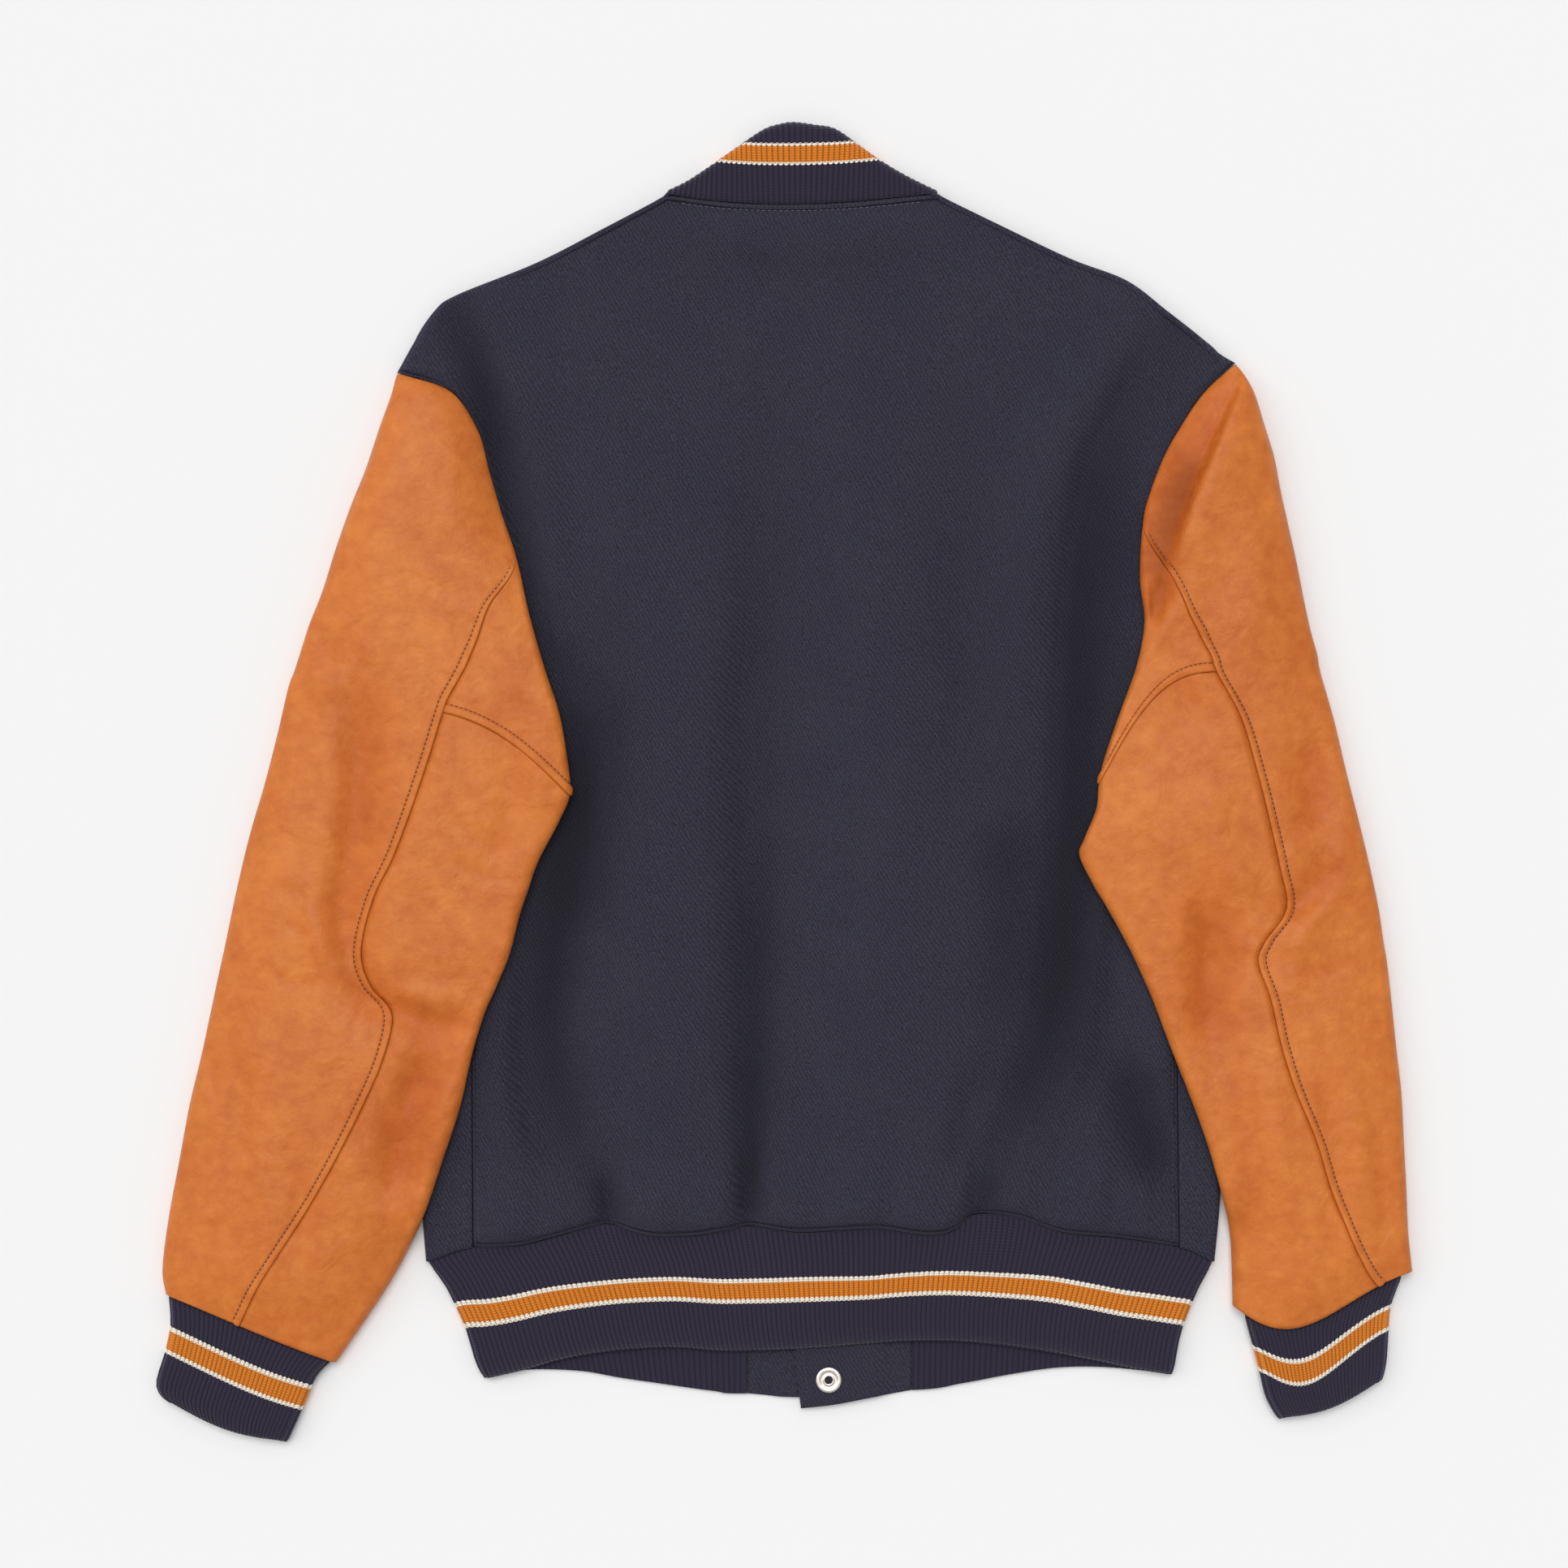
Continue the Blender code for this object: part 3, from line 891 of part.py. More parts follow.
def cuff_sheet(start, end, bow, share, height):
    plan = start[:, None] * (1.0 - share[:, None]) + end[:, None] * share[:, None]
    plan[..., 1] -= bow[:, None] * np.sin(np.pi * share)
    return level_sheet(plan, height)


def cuff_fold(line, run, inset, height):
    plan = line + run * inset
    return np.concatenate([plan, np.full((len(line), 1), float(height))], 1)[:, None]


def collar():
    """The collar strip: from the front neckline round the shoulder and over the back of the neck."""
    fold_rows = np.array(COLLAR_FOLD)
    neck = BACK_TOP_LINE[NECK_COLUMNS[0]:NECK_COLUMNS[1] + 1]
    length = np.concatenate([[0.0], np.cumsum(np.hypot(*np.diff(fold_rows[:, 0:2], axis=0).T))])
    walls = []
    places = []
    for face, columns in ((0, 2 * COLLAR_RIBS), (1, COLLAR_RIBS // 2)):
        share = np.linspace(0.0, 1.0, columns + 1)
        seam = along_line(neck, share) + (0.0, COLLAR_GAP)
        fold = np.stack([np.interp(share * length[-1], length, fold_rows[:, i]) for i in range(4)], 1)
        ribs = rib_wave(COLLAR_RIBS) if face == 0 else np.zeros(columns + 1)
        hump = [collar_column(seam[i], fold[i, 0:2], fold[i, 2:4], None, face, ribs[i])
                for i in range(columns + 1)]
        halves = [[collar_column(np.array(row[0:2]), None, np.array(row[2:4]), np.radians(row[4]), face, 0.0)
                   for row in half] for half in (COLLAR_FRONT_LEFT, COLLAR_FRONT_RIGHT)]
        walls.append(np.array(halves[0] + hump + halves[1][::-1]).transpose(1, 0, 2))
        turn = np.arange(len(halves[0])) / len(halves[0])
        places.append(np.concatenate([turn, 1 + share, 2.1 + turn]))
    ribbed_wall("collar", walls[0], walls[1], places[0], places[1])


def collar_column(seam, fold, under, start, face, rib):
    """Points of one line across the strip, from the neck seam over the fold to the free edge."""
    radius = HEM_TOP / 2.0
    if fold is None:
        back = (under - seam) / np.linalg.norm(under - seam)
        fold = seam - back * radius * (1.0 - np.sin(start))
        up = -back
        straight = 0.0
    else:
        height = np.linalg.norm(fold - seam)
        up = (fold - seam) / height
        back = (under - fold) / np.linalg.norm(under - fold)
        start = 0.0
        straight = max(height - radius, 0.0)
    arc = radius * (np.pi - start)
    total = straight + arc + np.linalg.norm(under - fold) - radius
    first = max(straight, 1.0)
    turn = max(arc, 4.0)
    end = max(total, first + turn + 2.0)
    stops = [0.0, first, first + turn / 3, first + 2 * turn / 3, first + turn, end]
    column = []
    for s in stops:
        if s < straight:
            plan = seam + up * s
            z = HEM_TOP
            angle = 0.0
        elif s < straight + arc:
            angle = start + (s - straight) / radius
            mix = smoothstep(angle / np.pi)
            short = radius * (1.0 - np.sin(angle))
            plan = fold - up * short * (1.0 - mix) + back * short * mix
            z = radius * (1.0 + np.cos(angle))
        else:
            angle = np.pi
            plan = fold + back * (s - straight - arc + radius)
            z = 0.0
        mix = smoothstep(angle / np.pi)
        side = up * (1.0 - mix) - back * mix
        side = side / max(np.linalg.norm(side), 1e-6)
        normal = np.array([side[0] * np.sin(angle), side[1] * np.sin(angle), np.cos(angle)])
        shift = rib * max(np.cos(0.5 * angle), 0.0) ** 2 - (RIB if face else 0.0)
        column.append(np.array([plan[0], plan[1], z]) + normal * shift)
    return column


# --- snaps -----------------------------------------------------------------------------------
def turned_disc(name, x, y, profile, holed):
    """A disc or a ring turned from a profile of radius and height."""
    angle = np.arange(SNAP_SIDES) * 2.0 * np.pi / SNAP_SIDES
    points = []
    for radius, height in profile:
        points += [(x + radius * np.cos(a), y + radius * np.sin(a), height) for a in angle]
    count = len(profile)
    faces = []
    for i in range(count if holed else count - 1):
        here = i * SNAP_SIDES
        there = (i + 1) % count * SNAP_SIDES
        for j in range(SNAP_SIDES):
            k = (j + 1) % SNAP_SIDES
            faces.append((here + j, here + k, there + k, there + j))
    if not holed:
        faces.append(tuple(range(SNAP_SIDES)))
        faces.append(tuple(range((count - 1) * SNAP_SIDES, count * SNAP_SIDES)))
    return add_piece(name, "metal", np.array(points), faces)


def snaps():
    """A cap on the left front and a ring on the right front at each fastening."""
    low = RIGHT_LIFT + WOOL + 0.3
    cap = ((SNAP_RADIUS - 0.6, 0.0), (SNAP_RADIUS, 0.4), (SNAP_RADIUS - 0.3, SNAP_THICK))
    ring = ((SNAP_HOLE, low), (SNAP_RADIUS, low), (SNAP_RADIUS - 0.5, low + SNAP_THICK),
            (SNAP_HOLE + 0.6, low + SNAP_THICK))
    places = [(float(centre_x(y)), float(y)) for y in SNAP_ROWS_Y] + [TAB_SNAP]
    for i, (x, y) in enumerate(places, 1):
        turned_disc("snap_cap_%d" % i, x, y, cap, False)
        turned_disc("snap_ring_%d" % i, x, y, ring, True)


def main():
    for item in list(bpy.data.objects):
        bpy.data.objects.remove(item)
    left = Sleeve(LEFT_SECTIONS, LEFT_FRONT_ARMHOLE, -1)
    right = Sleeve(RIGHT_SECTIONS, RIGHT_FRONT_ARMHOLE, 1)
    back_panel(left, right)
    front_panel("left", left, LEFT_FRONT_ARMHOLE, LEFT_FRONT_TOP, LEFT_SHOULDER_COLUMNS, LEFT_SIDE,
                LEFT_WRAP_HEM)
    front_panel("right", right, RIGHT_FRONT_ARMHOLE, RIGHT_FRONT_TOP, RIGHT_SHOULDER_COLUMNS, RIGHT_SIDE,
                RIGHT_WRAP_HEM)
    top_sleeve("top_sleeve_left", left)
    top_sleeve("top_sleeve_right", right)
    under_sleeves("under_sleeve_upper_left", "under_sleeve_lower_left", left)
    under_sleeves("under_sleeve_upper_right", "under_sleeve_lower_right", right)
    hem_band()
    hem_tab("hem_tab_left", "left", LEFT_TAB)
    hem_tab("hem_tab_right", "right", RIGHT_TAB)
    cuff("cuff_left", LEFT_CUFF, left)
    cuff("cuff_right", RIGHT_CUFF, right)
    collar()
    snaps()


main()
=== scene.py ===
# %% [markdown]
# # A varsity jacket, laid flat
# The jacket lies face down on a table, so its back and the backs of its sleeves show.
# Wool makes the body, cowhide the sleeves, and striped rib knit the collar, cuffs and hem.
# The plain solids that hold its size and weight come first, from model.glb.
# Everything below is then made in the same frame: +X to the wearer's right, +Y to the collar, +Z up.

import bmesh
import bpy
import numpy as np
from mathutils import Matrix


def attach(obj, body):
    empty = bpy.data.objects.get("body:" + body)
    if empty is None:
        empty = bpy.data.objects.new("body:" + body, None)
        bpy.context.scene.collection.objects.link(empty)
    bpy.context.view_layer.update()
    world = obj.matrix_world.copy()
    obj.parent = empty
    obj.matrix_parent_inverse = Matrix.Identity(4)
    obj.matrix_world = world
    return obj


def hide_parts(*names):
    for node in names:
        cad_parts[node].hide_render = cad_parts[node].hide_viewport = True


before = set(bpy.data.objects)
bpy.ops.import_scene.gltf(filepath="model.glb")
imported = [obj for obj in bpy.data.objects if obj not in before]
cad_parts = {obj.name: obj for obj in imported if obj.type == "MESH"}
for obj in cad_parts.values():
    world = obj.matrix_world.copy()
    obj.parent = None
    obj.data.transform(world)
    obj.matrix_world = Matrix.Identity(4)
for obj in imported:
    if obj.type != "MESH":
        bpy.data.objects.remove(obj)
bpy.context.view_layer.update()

# %% [markdown]
# ## Grids of cloth
# Cloth is a sheet, and a sheet is a grid of points with rows and columns.
# Such a grid could be modelled by pushing vertices about, but a jacket's seams are easier to state as
# short tables of measured points.  A Catmull-Rom curve then passes smoothly through each table.
# All tables are in millimetres, because tailors measure in them; a mesh gets metres at the end.

# %% Curves through short tables
MM = 0.001


def smooth_rows(rows, place):
    """Read a table of rows at places between them, with a Catmull-Rom curve."""
    rows = np.asarray(rows, float)
    place = np.clip(np.asarray(place, float), 0, len(rows) - 1)
    i = np.minimum(place.astype(int), len(rows) - 2)
    t = (place - i).reshape(place.shape + (1,) * (rows.ndim - 1))
    before, here, after = rows[np.maximum(i - 1, 0)], rows[i], rows[i + 1]
    beyond = rows[np.minimum(i + 2, len(rows) - 1)]
    bend = 2 * before - 5 * here + 4 * after - beyond
    twist = 3 * (here - after) + beyond - before
    return here + 0.5 * t * ((after - before) + t * (bend + t * twist))


def smooth_table(rows, count):
    """The same table with count rows, evenly spread over its places."""
    return smooth_rows(rows, np.linspace(0, len(rows) - 1, count))


def smoothstep(x):
    x = np.clip(x, 0.0, 1.0)
    return x * x * (3.0 - 2.0 * x)


def quarter(x):
    """Height of a quarter circle of radius 1 at x from its foot."""
    return np.sqrt(np.maximum(0.0, 1.0 - (1.0 - np.clip(x, 0.0, 1.0)) ** 2))


def line_at(line, x):
    """Height y of a smoothed line that runs along x."""
    line = smooth_table(line, 12 * len(line))
    return np.interp(x, line[:, 0], line[:, 1])

# %% [markdown]
# ## From two grids to a closed piece
# A real cloth piece has two faces and cut edges.  An open sheet with a Solidify modifier would do for
# much of it, but the ribs need many points outside and few inside, so each wall is closed by hand:
# an outer grid, an inner grid, and a strip of faces round the border between them.

# %% Make a piece
SMALL = 1e-9               # keeps a division away from zero


def make_piece(name, material, points, faces, stands_for, slot, uv=None, painted_shade_mask=None):
    """Turn points in millimetres into a piece that takes the place of plain solids."""
    if stands_for:
        name = name + "_" + slot
    mesh = bpy.data.meshes.new(name)
    mesh.from_pydata((np.asarray(points) * MM).tolist(), [], faces)
    if uv is not None:
        corners = np.empty(len(mesh.loops), np.int32)
        mesh.loops.foreach_get("vertex_index", corners)
        mesh.uv_layers.new(name="cloth").data.foreach_set("uv", np.asarray(uv, float)[corners].ravel())
    # The painted shade mask: how much each point's colour is darkened as shade, kept on the mesh for the materials.
    if painted_shade_mask is not None:
        mesh.attributes.new("painted_shade_mask", "FLOAT", "POINT").data.foreach_set("value", np.asarray(painted_shade_mask, np.float32))
    work = bmesh.new()
    work.from_mesh(mesh)
    bmesh.ops.recalc_face_normals(work, faces=work.faces)
    work.to_mesh(mesh)
    work.free()
    mesh.shade_smooth()
    mesh.materials.append(material)
    piece = bpy.data.objects.new(name, mesh)
    bpy.context.scene.collection.objects.link(piece)
    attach(piece, "root")
    if stands_for:
        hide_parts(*stands_for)
    print(name, "-", len(mesh.polygons), "faces")


def grid_normals(grid, side=1.0):
    """Unit normals of a grid of points."""
    normal = side * np.cross(np.gradient(grid, axis=1), np.gradient(grid, axis=0))
    return normal / np.maximum(np.linalg.norm(normal, axis=-1, keepdims=True), SMALL)

# %% [markdown]
# Each grid cell that is asked for gives one face outside and one inside.  An edge that only one cell
# uses lies on the border, and there a narrow face joins the two sides.

# %% Close a wall of cloth
cloth_cut = {}             # width, length and area of each piece's outer face, for the cutting list


def measure_cut(name, grid, cells):
    """Keep the greatest width and length of a sheet along its own lines, and its area, in metres."""
    across, down = np.diff(grid, axis=1)[:-1], np.diff(grid, axis=0)[:, :-1]
    cells = cells[:, :across.shape[1]]
    width = (np.linalg.norm(across, axis=-1) * cells).sum(1).max()
    length = (np.linalg.norm(down, axis=-1) * cells).sum(0).max()
    area = (np.linalg.norm(np.cross(across, down), axis=-1) * cells).sum()
    cloth_cut[name] = (round(width * MM, 3), round(length * MM, 3), round(area * MM * MM, 4))


def cloth_wall(name, material, outer, inner, stands_for, slot, cells=None, uv=None, closed=False, painted_shade_mask=None):
    """A closed wall from two like grids, over the grid cells that are asked for."""
    rows, columns = outer.shape[:2]
    number = np.arange(rows * columns).reshape(rows, columns)
    if closed:
        number = np.concatenate([number, number[:, :1]], 1)
    cells = np.ones((rows - 1, number.shape[1] - 1), bool) if cells is None else cells
    below = rows * columns
    faces, edges = [], {}
    for i, j in np.argwhere(cells):
        corners = (int(number[i, j]), int(number[i, j + 1]), int(number[i + 1, j + 1]), int(number[i + 1, j]))
        faces.append(corners)
        faces.append(tuple(corner + below for corner in corners[::-1]))
        for start, end in zip(corners, corners[1:] + corners[:1]):
            if edges.pop((end, start), None) is None:
                edges[start, end] = True
    faces += [(end, start, start + below, end + below) for start, end in edges]
    points = np.concatenate([outer.reshape(-1, 3), inner.reshape(-1, 3)])
    if uv is not None:
        uv = np.concatenate([uv.reshape(-1, 2), uv.reshape(-1, 2)])
    if painted_shade_mask is not None:
        painted_shade_mask = np.concatenate([painted_shade_mask.ravel(), painted_shade_mask.ravel()])
    used = np.unique(np.array(faces))
    place = np.zeros(len(points), int)
    place[used] = np.arange(len(used))
    measure_cut(name + "_" + slot, outer, cells)
    make_piece(name, material, points[used], place[np.array(faces)].tolist(), stands_for, slot,
               None if uv is None else uv[used], None if painted_shade_mask is None else painted_shade_mask[used])

# %% [markdown]
# ## Camera, table and light
# The jacket lies on a white table and is seen from straight above, with a long lens so that the
# edges don't lean.  A real studio would hang one wide softbox over it and a weaker one at the side:
# the wide one keeps the shadows soft, and the side one lets folds and stitching show.

# %% Camera, table and light
PLANE_HALF = 0.46368       # half the width of table in view, in metres
JACKET_LEVEL = 0.012       # height over the table at which that width is measured
LENS, SENSOR = 85.0, 36.0


def linear(hex_colour):
    """An sRGB hex colour as linear light, with alpha."""
    parts = [int(hex_colour[i:i + 2], 16) / 255 for i in (1, 3, 5)]
    return tuple(c / 12.92 if c <= 0.04045 else ((c + 0.055) / 1.055) ** 2.4 for c in parts) + (1.0,)


camera_data = bpy.data.cameras.new("camera")
camera_data.lens, camera_data.sensor_width = LENS, SENSOR
camera = bpy.data.objects.new("camera", camera_data)
camera.location = (0.0, 0.0, PLANE_HALF * 2 * LENS / SENSOR + JACKET_LEVEL)
bpy.context.scene.collection.objects.link(camera)
bpy.context.scene.camera = camera
print("camera", round(camera.location.z, 2), "m over the table")

bpy.context.scene.view_settings.view_transform = "Standard"
bpy.context.scene.view_settings.look = "None"


def soft_light(name, height, turn, width, strength):
    """A distant softbox at an elevation and a compass turn in degrees, as wide as the angle it fills."""
    data = bpy.data.lights.new(name, "SUN")
    data.energy, data.angle = strength, np.radians(width)
    light = bpy.data.objects.new(name, data)
    light.rotation_euler = (np.radians(90 - height), 0.0, np.radians(turn))
    bpy.context.scene.collection.objects.link(light)


soft_light("softbox_top", 72, 190, 38, 1.55)
soft_light("softbox_side", 38, 250, 50, 0.55)

world = bpy.data.worlds.new("studio")
bpy.context.scene.world = world
world.use_nodes = True
world.node_tree.nodes["Background"].inputs["Color"].default_value = linear("#ffffff")
world.node_tree.nodes["Background"].inputs["Strength"].default_value = 0.42    # light from the white walls

# %% [markdown]
# ## Materials
# Each finish starts from what it is made of, and its pattern from a real size.  One helper adds any
# node, so that a material reads like a list of what happens to the surface.

# %% One helper for nodes
def add(tree, kind, sockets=None, **settings):
    """Add a shader node with its settings, and a value or another socket for each input."""
    node = tree.nodes.new("ShaderNode" + kind)
    for name, value in settings.items():
        setattr(node, name, value)
    for name, value in (sockets or {}).items():
        if isinstance(value, bpy.types.NodeSocket):
            tree.links.new(value, node.inputs[name])
        else:
            node.inputs[name].default_value = value
    return node


def start_material(name, **surface):
    """A Principled material with its even values set on the shader itself."""
    material = bpy.data.materials.new(name)
    material.use_nodes = True
    shader = material.node_tree.nodes["Principled BSDF"]
    for socket, value in surface.items():
        shader.inputs[socket.replace("_", " ")].default_value = value
    return material, material.node_tree, shader

# %% [markdown]
# ### Melton wool
# Melton is woven as a twill and then felted, so the diagonal ribs of the weave, 2 mm apart here, are
# half hidden under short fibres.  The fibres scatter light at low angles, which is what sheen is for.
# Deep folds get painted shade: each point keeps how deep it lies in the folds, and its colour is darkened by that.
# The weave is drawn a little coarser than the real 1.4 mm, or it would vanish in a render.

# %% Melton wool
TWILL_MM = 2.1
FIBRE_MM = 0.9
CLOUD_MM = 38.0            # size of the faint patches that wear and brushing leave

wool, tree, shader = start_material("melton_wool_felted_twill", Roughness=0.92, IOR=1.5)
shader.inputs["Sheen Weight"].default_value = 0.22
shader.inputs["Sheen Roughness"].default_value = 0.45
shader.inputs["Sheen Tint"].default_value = linear("#b6aacc")
shader.inputs["Specular IOR Level"].default_value = 0.25
place = add(tree, "TexCoord").outputs["Object"]
slant = add(tree, "Mapping", {"Vector": place, "Rotation": (0.0, 0.0, np.radians(14.0))}).outputs[0]
bands = 2 * np.pi / (10 * TWILL_MM * MM * np.sqrt(2.0))    # diagonal bands are this much closer than straight ones
twill = add(tree, "TexWave", {"Vector": slant, "Scale": bands, "Distortion": 3.2, "Detail": 2.0,
                              "Detail Scale": 1.3, "Detail Roughness": 0.6}, bands_direction="DIAGONAL")
fibre = add(tree, "TexNoise", {"Vector": place, "Scale": 1 / (FIBRE_MM * MM), "Detail": 3.0, "Roughness": 0.65})
cloud = add(tree, "TexNoise", {"Vector": place, "Scale": 1 / (CLOUD_MM * MM), "Detail": 2.0})
tone = add(tree, "ValToRGB", {"Fac": fibre.outputs["Fac"]})
tone.color_ramp.elements[0].position, tone.color_ramp.elements[0].color = 0.30, linear("#23222e")
tone.color_ramp.elements[1].position, tone.color_ramp.elements[1].color = 0.74, linear("#444354")
woven = add(tree, "Mix", {0: 0.34, 6: tone.outputs["Color"], 7: twill.outputs["Fac"]}, data_type="RGBA",
            blend_type="MULTIPLY")
cloudy = add(tree, "MapRange", {"Value": cloud.outputs["Fac"], "To Min": -0.004, "To Max": 0.006})
clouded = add(tree, "BrightContrast", {"Color": woven.outputs[2], "Bright": cloudy.outputs[0]})
# Painted shade: the wool's colour is darkened, down to 0.42 of itself, where the folds lie deepest.
painted_shade_mask = add(tree, "Attribute", attribute_name="painted_shade_mask").outputs["Fac"]
painted_shade_node = add(tree, "MapRange", {"Value": painted_shade_mask, "To Min": 1.0, "To Max": 0.42})
shaded = add(tree, "VectorMath", {0: clouded.outputs[0], "Scale": painted_shade_node.outputs[0]}, operation="SCALE")
tree.links.new(shaded.outputs[0], shader.inputs["Base Color"])
height = add(tree, "Math", {0: twill.outputs["Fac"], 1: fibre.outputs["Fac"]}, operation="ADD")
bump = add(tree, "Bump", {"Height": height.outputs[0], "Strength": 0.55, "Distance": 0.35 * MM})
tree.links.new(bump.outputs[0], shader.inputs["Normal"])
print("wool: twill", TWILL_MM, "mm, fibres", FIBRE_MM, "mm")

# %% [markdown]
# ### Cowhide
# The sleeves are vegetable-tanned cowhide: dye soaks in unevenly, so the colour is cloudy over
# 30 to 80 mm.  The grain is shallow, with pores about 1 mm apart and fine wrinkles, and a thin wax
# finish leaves a half-gloss on top.  Creases get painted shade: the deeper a point lies in them, the
# darker its colour is painted and the more its gloss is turned down.

# %% Cowhide
PORE_MM = 1.3
WRINKLE_MM = 6.0
DENT_MM = 26.0
DYE_MM = (60.0, 9.0)       # broad clouds and fine mottling

leather, tree, shader = start_material("cowhide_vegetable_tanned", IOR=1.5)
shader.inputs["Coat Weight"].default_value = 0.04
shader.inputs["Coat Roughness"].default_value = 0.32
place = add(tree, "TexCoord").outputs["Object"]
dye = add(tree, "TexNoise", {"Vector": place, "Scale": 1 / (DYE_MM[0] * MM), "Detail": 4.0, "Roughness": 0.55,
                             "Distortion": 0.6})
fine_dye = add(tree, "TexNoise", {"Vector": place, "Scale": 1 / (DYE_MM[1] * MM), "Detail": 3.0, "Roughness": 0.6})
both = add(tree, "Math", {0: dye.outputs["Fac"], 1: fine_dye.outputs["Fac"]}, operation="ADD")
mean = add(tree, "Math", {0: both.outputs[0], 1: 0.5}, operation="MULTIPLY")
tone = add(tree, "ValToRGB", {"Fac": mean.outputs[0]})
tone.color_ramp.elements[0].position, tone.color_ramp.elements[0].color = 0.32, linear("#c46526")
tone.color_ramp.elements[1].position, tone.color_ramp.elements[1].color = 0.68, linear("#dc8138")
# Painted shade: the colour is painted darker in deep creases, and the gloss is turned down there so the shade stays
# dark.
painted_shade_mask = add(tree, "Attribute", attribute_name="painted_shade_mask").outputs["Fac"]
painted_shade_tone = add(tree, "ValToRGB", {"Fac": painted_shade_mask})
painted_shade_tone.color_ramp.elements[0].color, painted_shade_tone.color_ramp.elements[1].color = linear("#ffffff"), linear("#b09c94")
painted_shade_tone.color_ramp.elements.new(0.4).color = linear("#efdccf")
painted_shade_node = add(tree, "Mix", {0: 1.0, 6: tone.outputs["Color"], 7: painted_shade_tone.outputs["Color"]}, data_type="RGBA",
              blend_type="MULTIPLY")
tree.links.new(painted_shade_node.outputs[2], shader.inputs["Base Color"])
shine = add(tree, "MapRange", {"Value": painted_shade_mask, "To Min": 0.24, "To Max": 0.04})
tree.links.new(shine.outputs[0], shader.inputs["Specular IOR Level"])
pores = add(tree, "TexVoronoi", {"Vector": place, "Scale": 1 / (PORE_MM * MM)}, feature="SMOOTH_F1")
wrinkles = add(tree, "TexNoise", {"Vector": place, "Scale": 1 / (WRINKLE_MM * MM), "Detail": 5.0,
                                  "Roughness": 0.62, "Distortion": 1.4})
gloss = add(tree, "MapRange", {"Value": wrinkles.outputs["Fac"], "From Min": 0.3, "From Max": 0.7,
                               "To Min": 0.40, "To Max": 0.54})
tree.links.new(gloss.outputs[0], shader.inputs["Roughness"])
grain = add(tree, "Bump", {"Height": pores.outputs["Distance"], "Strength": 0.16, "Distance": 0.25 * MM})
dents = add(tree, "TexNoise", {"Vector": place, "Scale": 1 / (DENT_MM * MM), "Detail": 2.0, "Distortion": 0.8})
dented = add(tree, "Bump", {"Height": dents.outputs["Fac"], "Strength": 0.8, "Distance": 2.4 * MM,
                            "Normal": grain.outputs[0]})
creased = add(tree, "Bump", {"Height": wrinkles.outputs["Fac"], "Strength": 0.5, "Distance": 1.0 * MM,
                             "Normal": dented.outputs[0]})
tree.links.new(creased.outputs[0], shader.inputs["Normal"])
print("cowhide: pores", PORE_MM, "mm, wrinkles", WRINKLE_MM, "mm, dents", DENT_MM, "mm")

# %% [markdown]
# ### Rib knit
# Collar, cuffs and hem are a worsted rib: columns of V-shaped stitches with deep grooves between
# them.  The ribs themselves are modelled.  The stitches are bump, and the stripes are knitted in, so
# their edges step with each rib.  U counts the ribs and V runs in centimetres down the strip.

# %% Rib knit
STITCH_MM = 1.5            # coarser than real ones, so that they show in a render
FUZZ_PER_METRE = 900.0     # fibre ends that stand out of the yarn
YARN = {"navy": "#302a3f", "cream": "#fff4e2", "gold": "#e38222"}


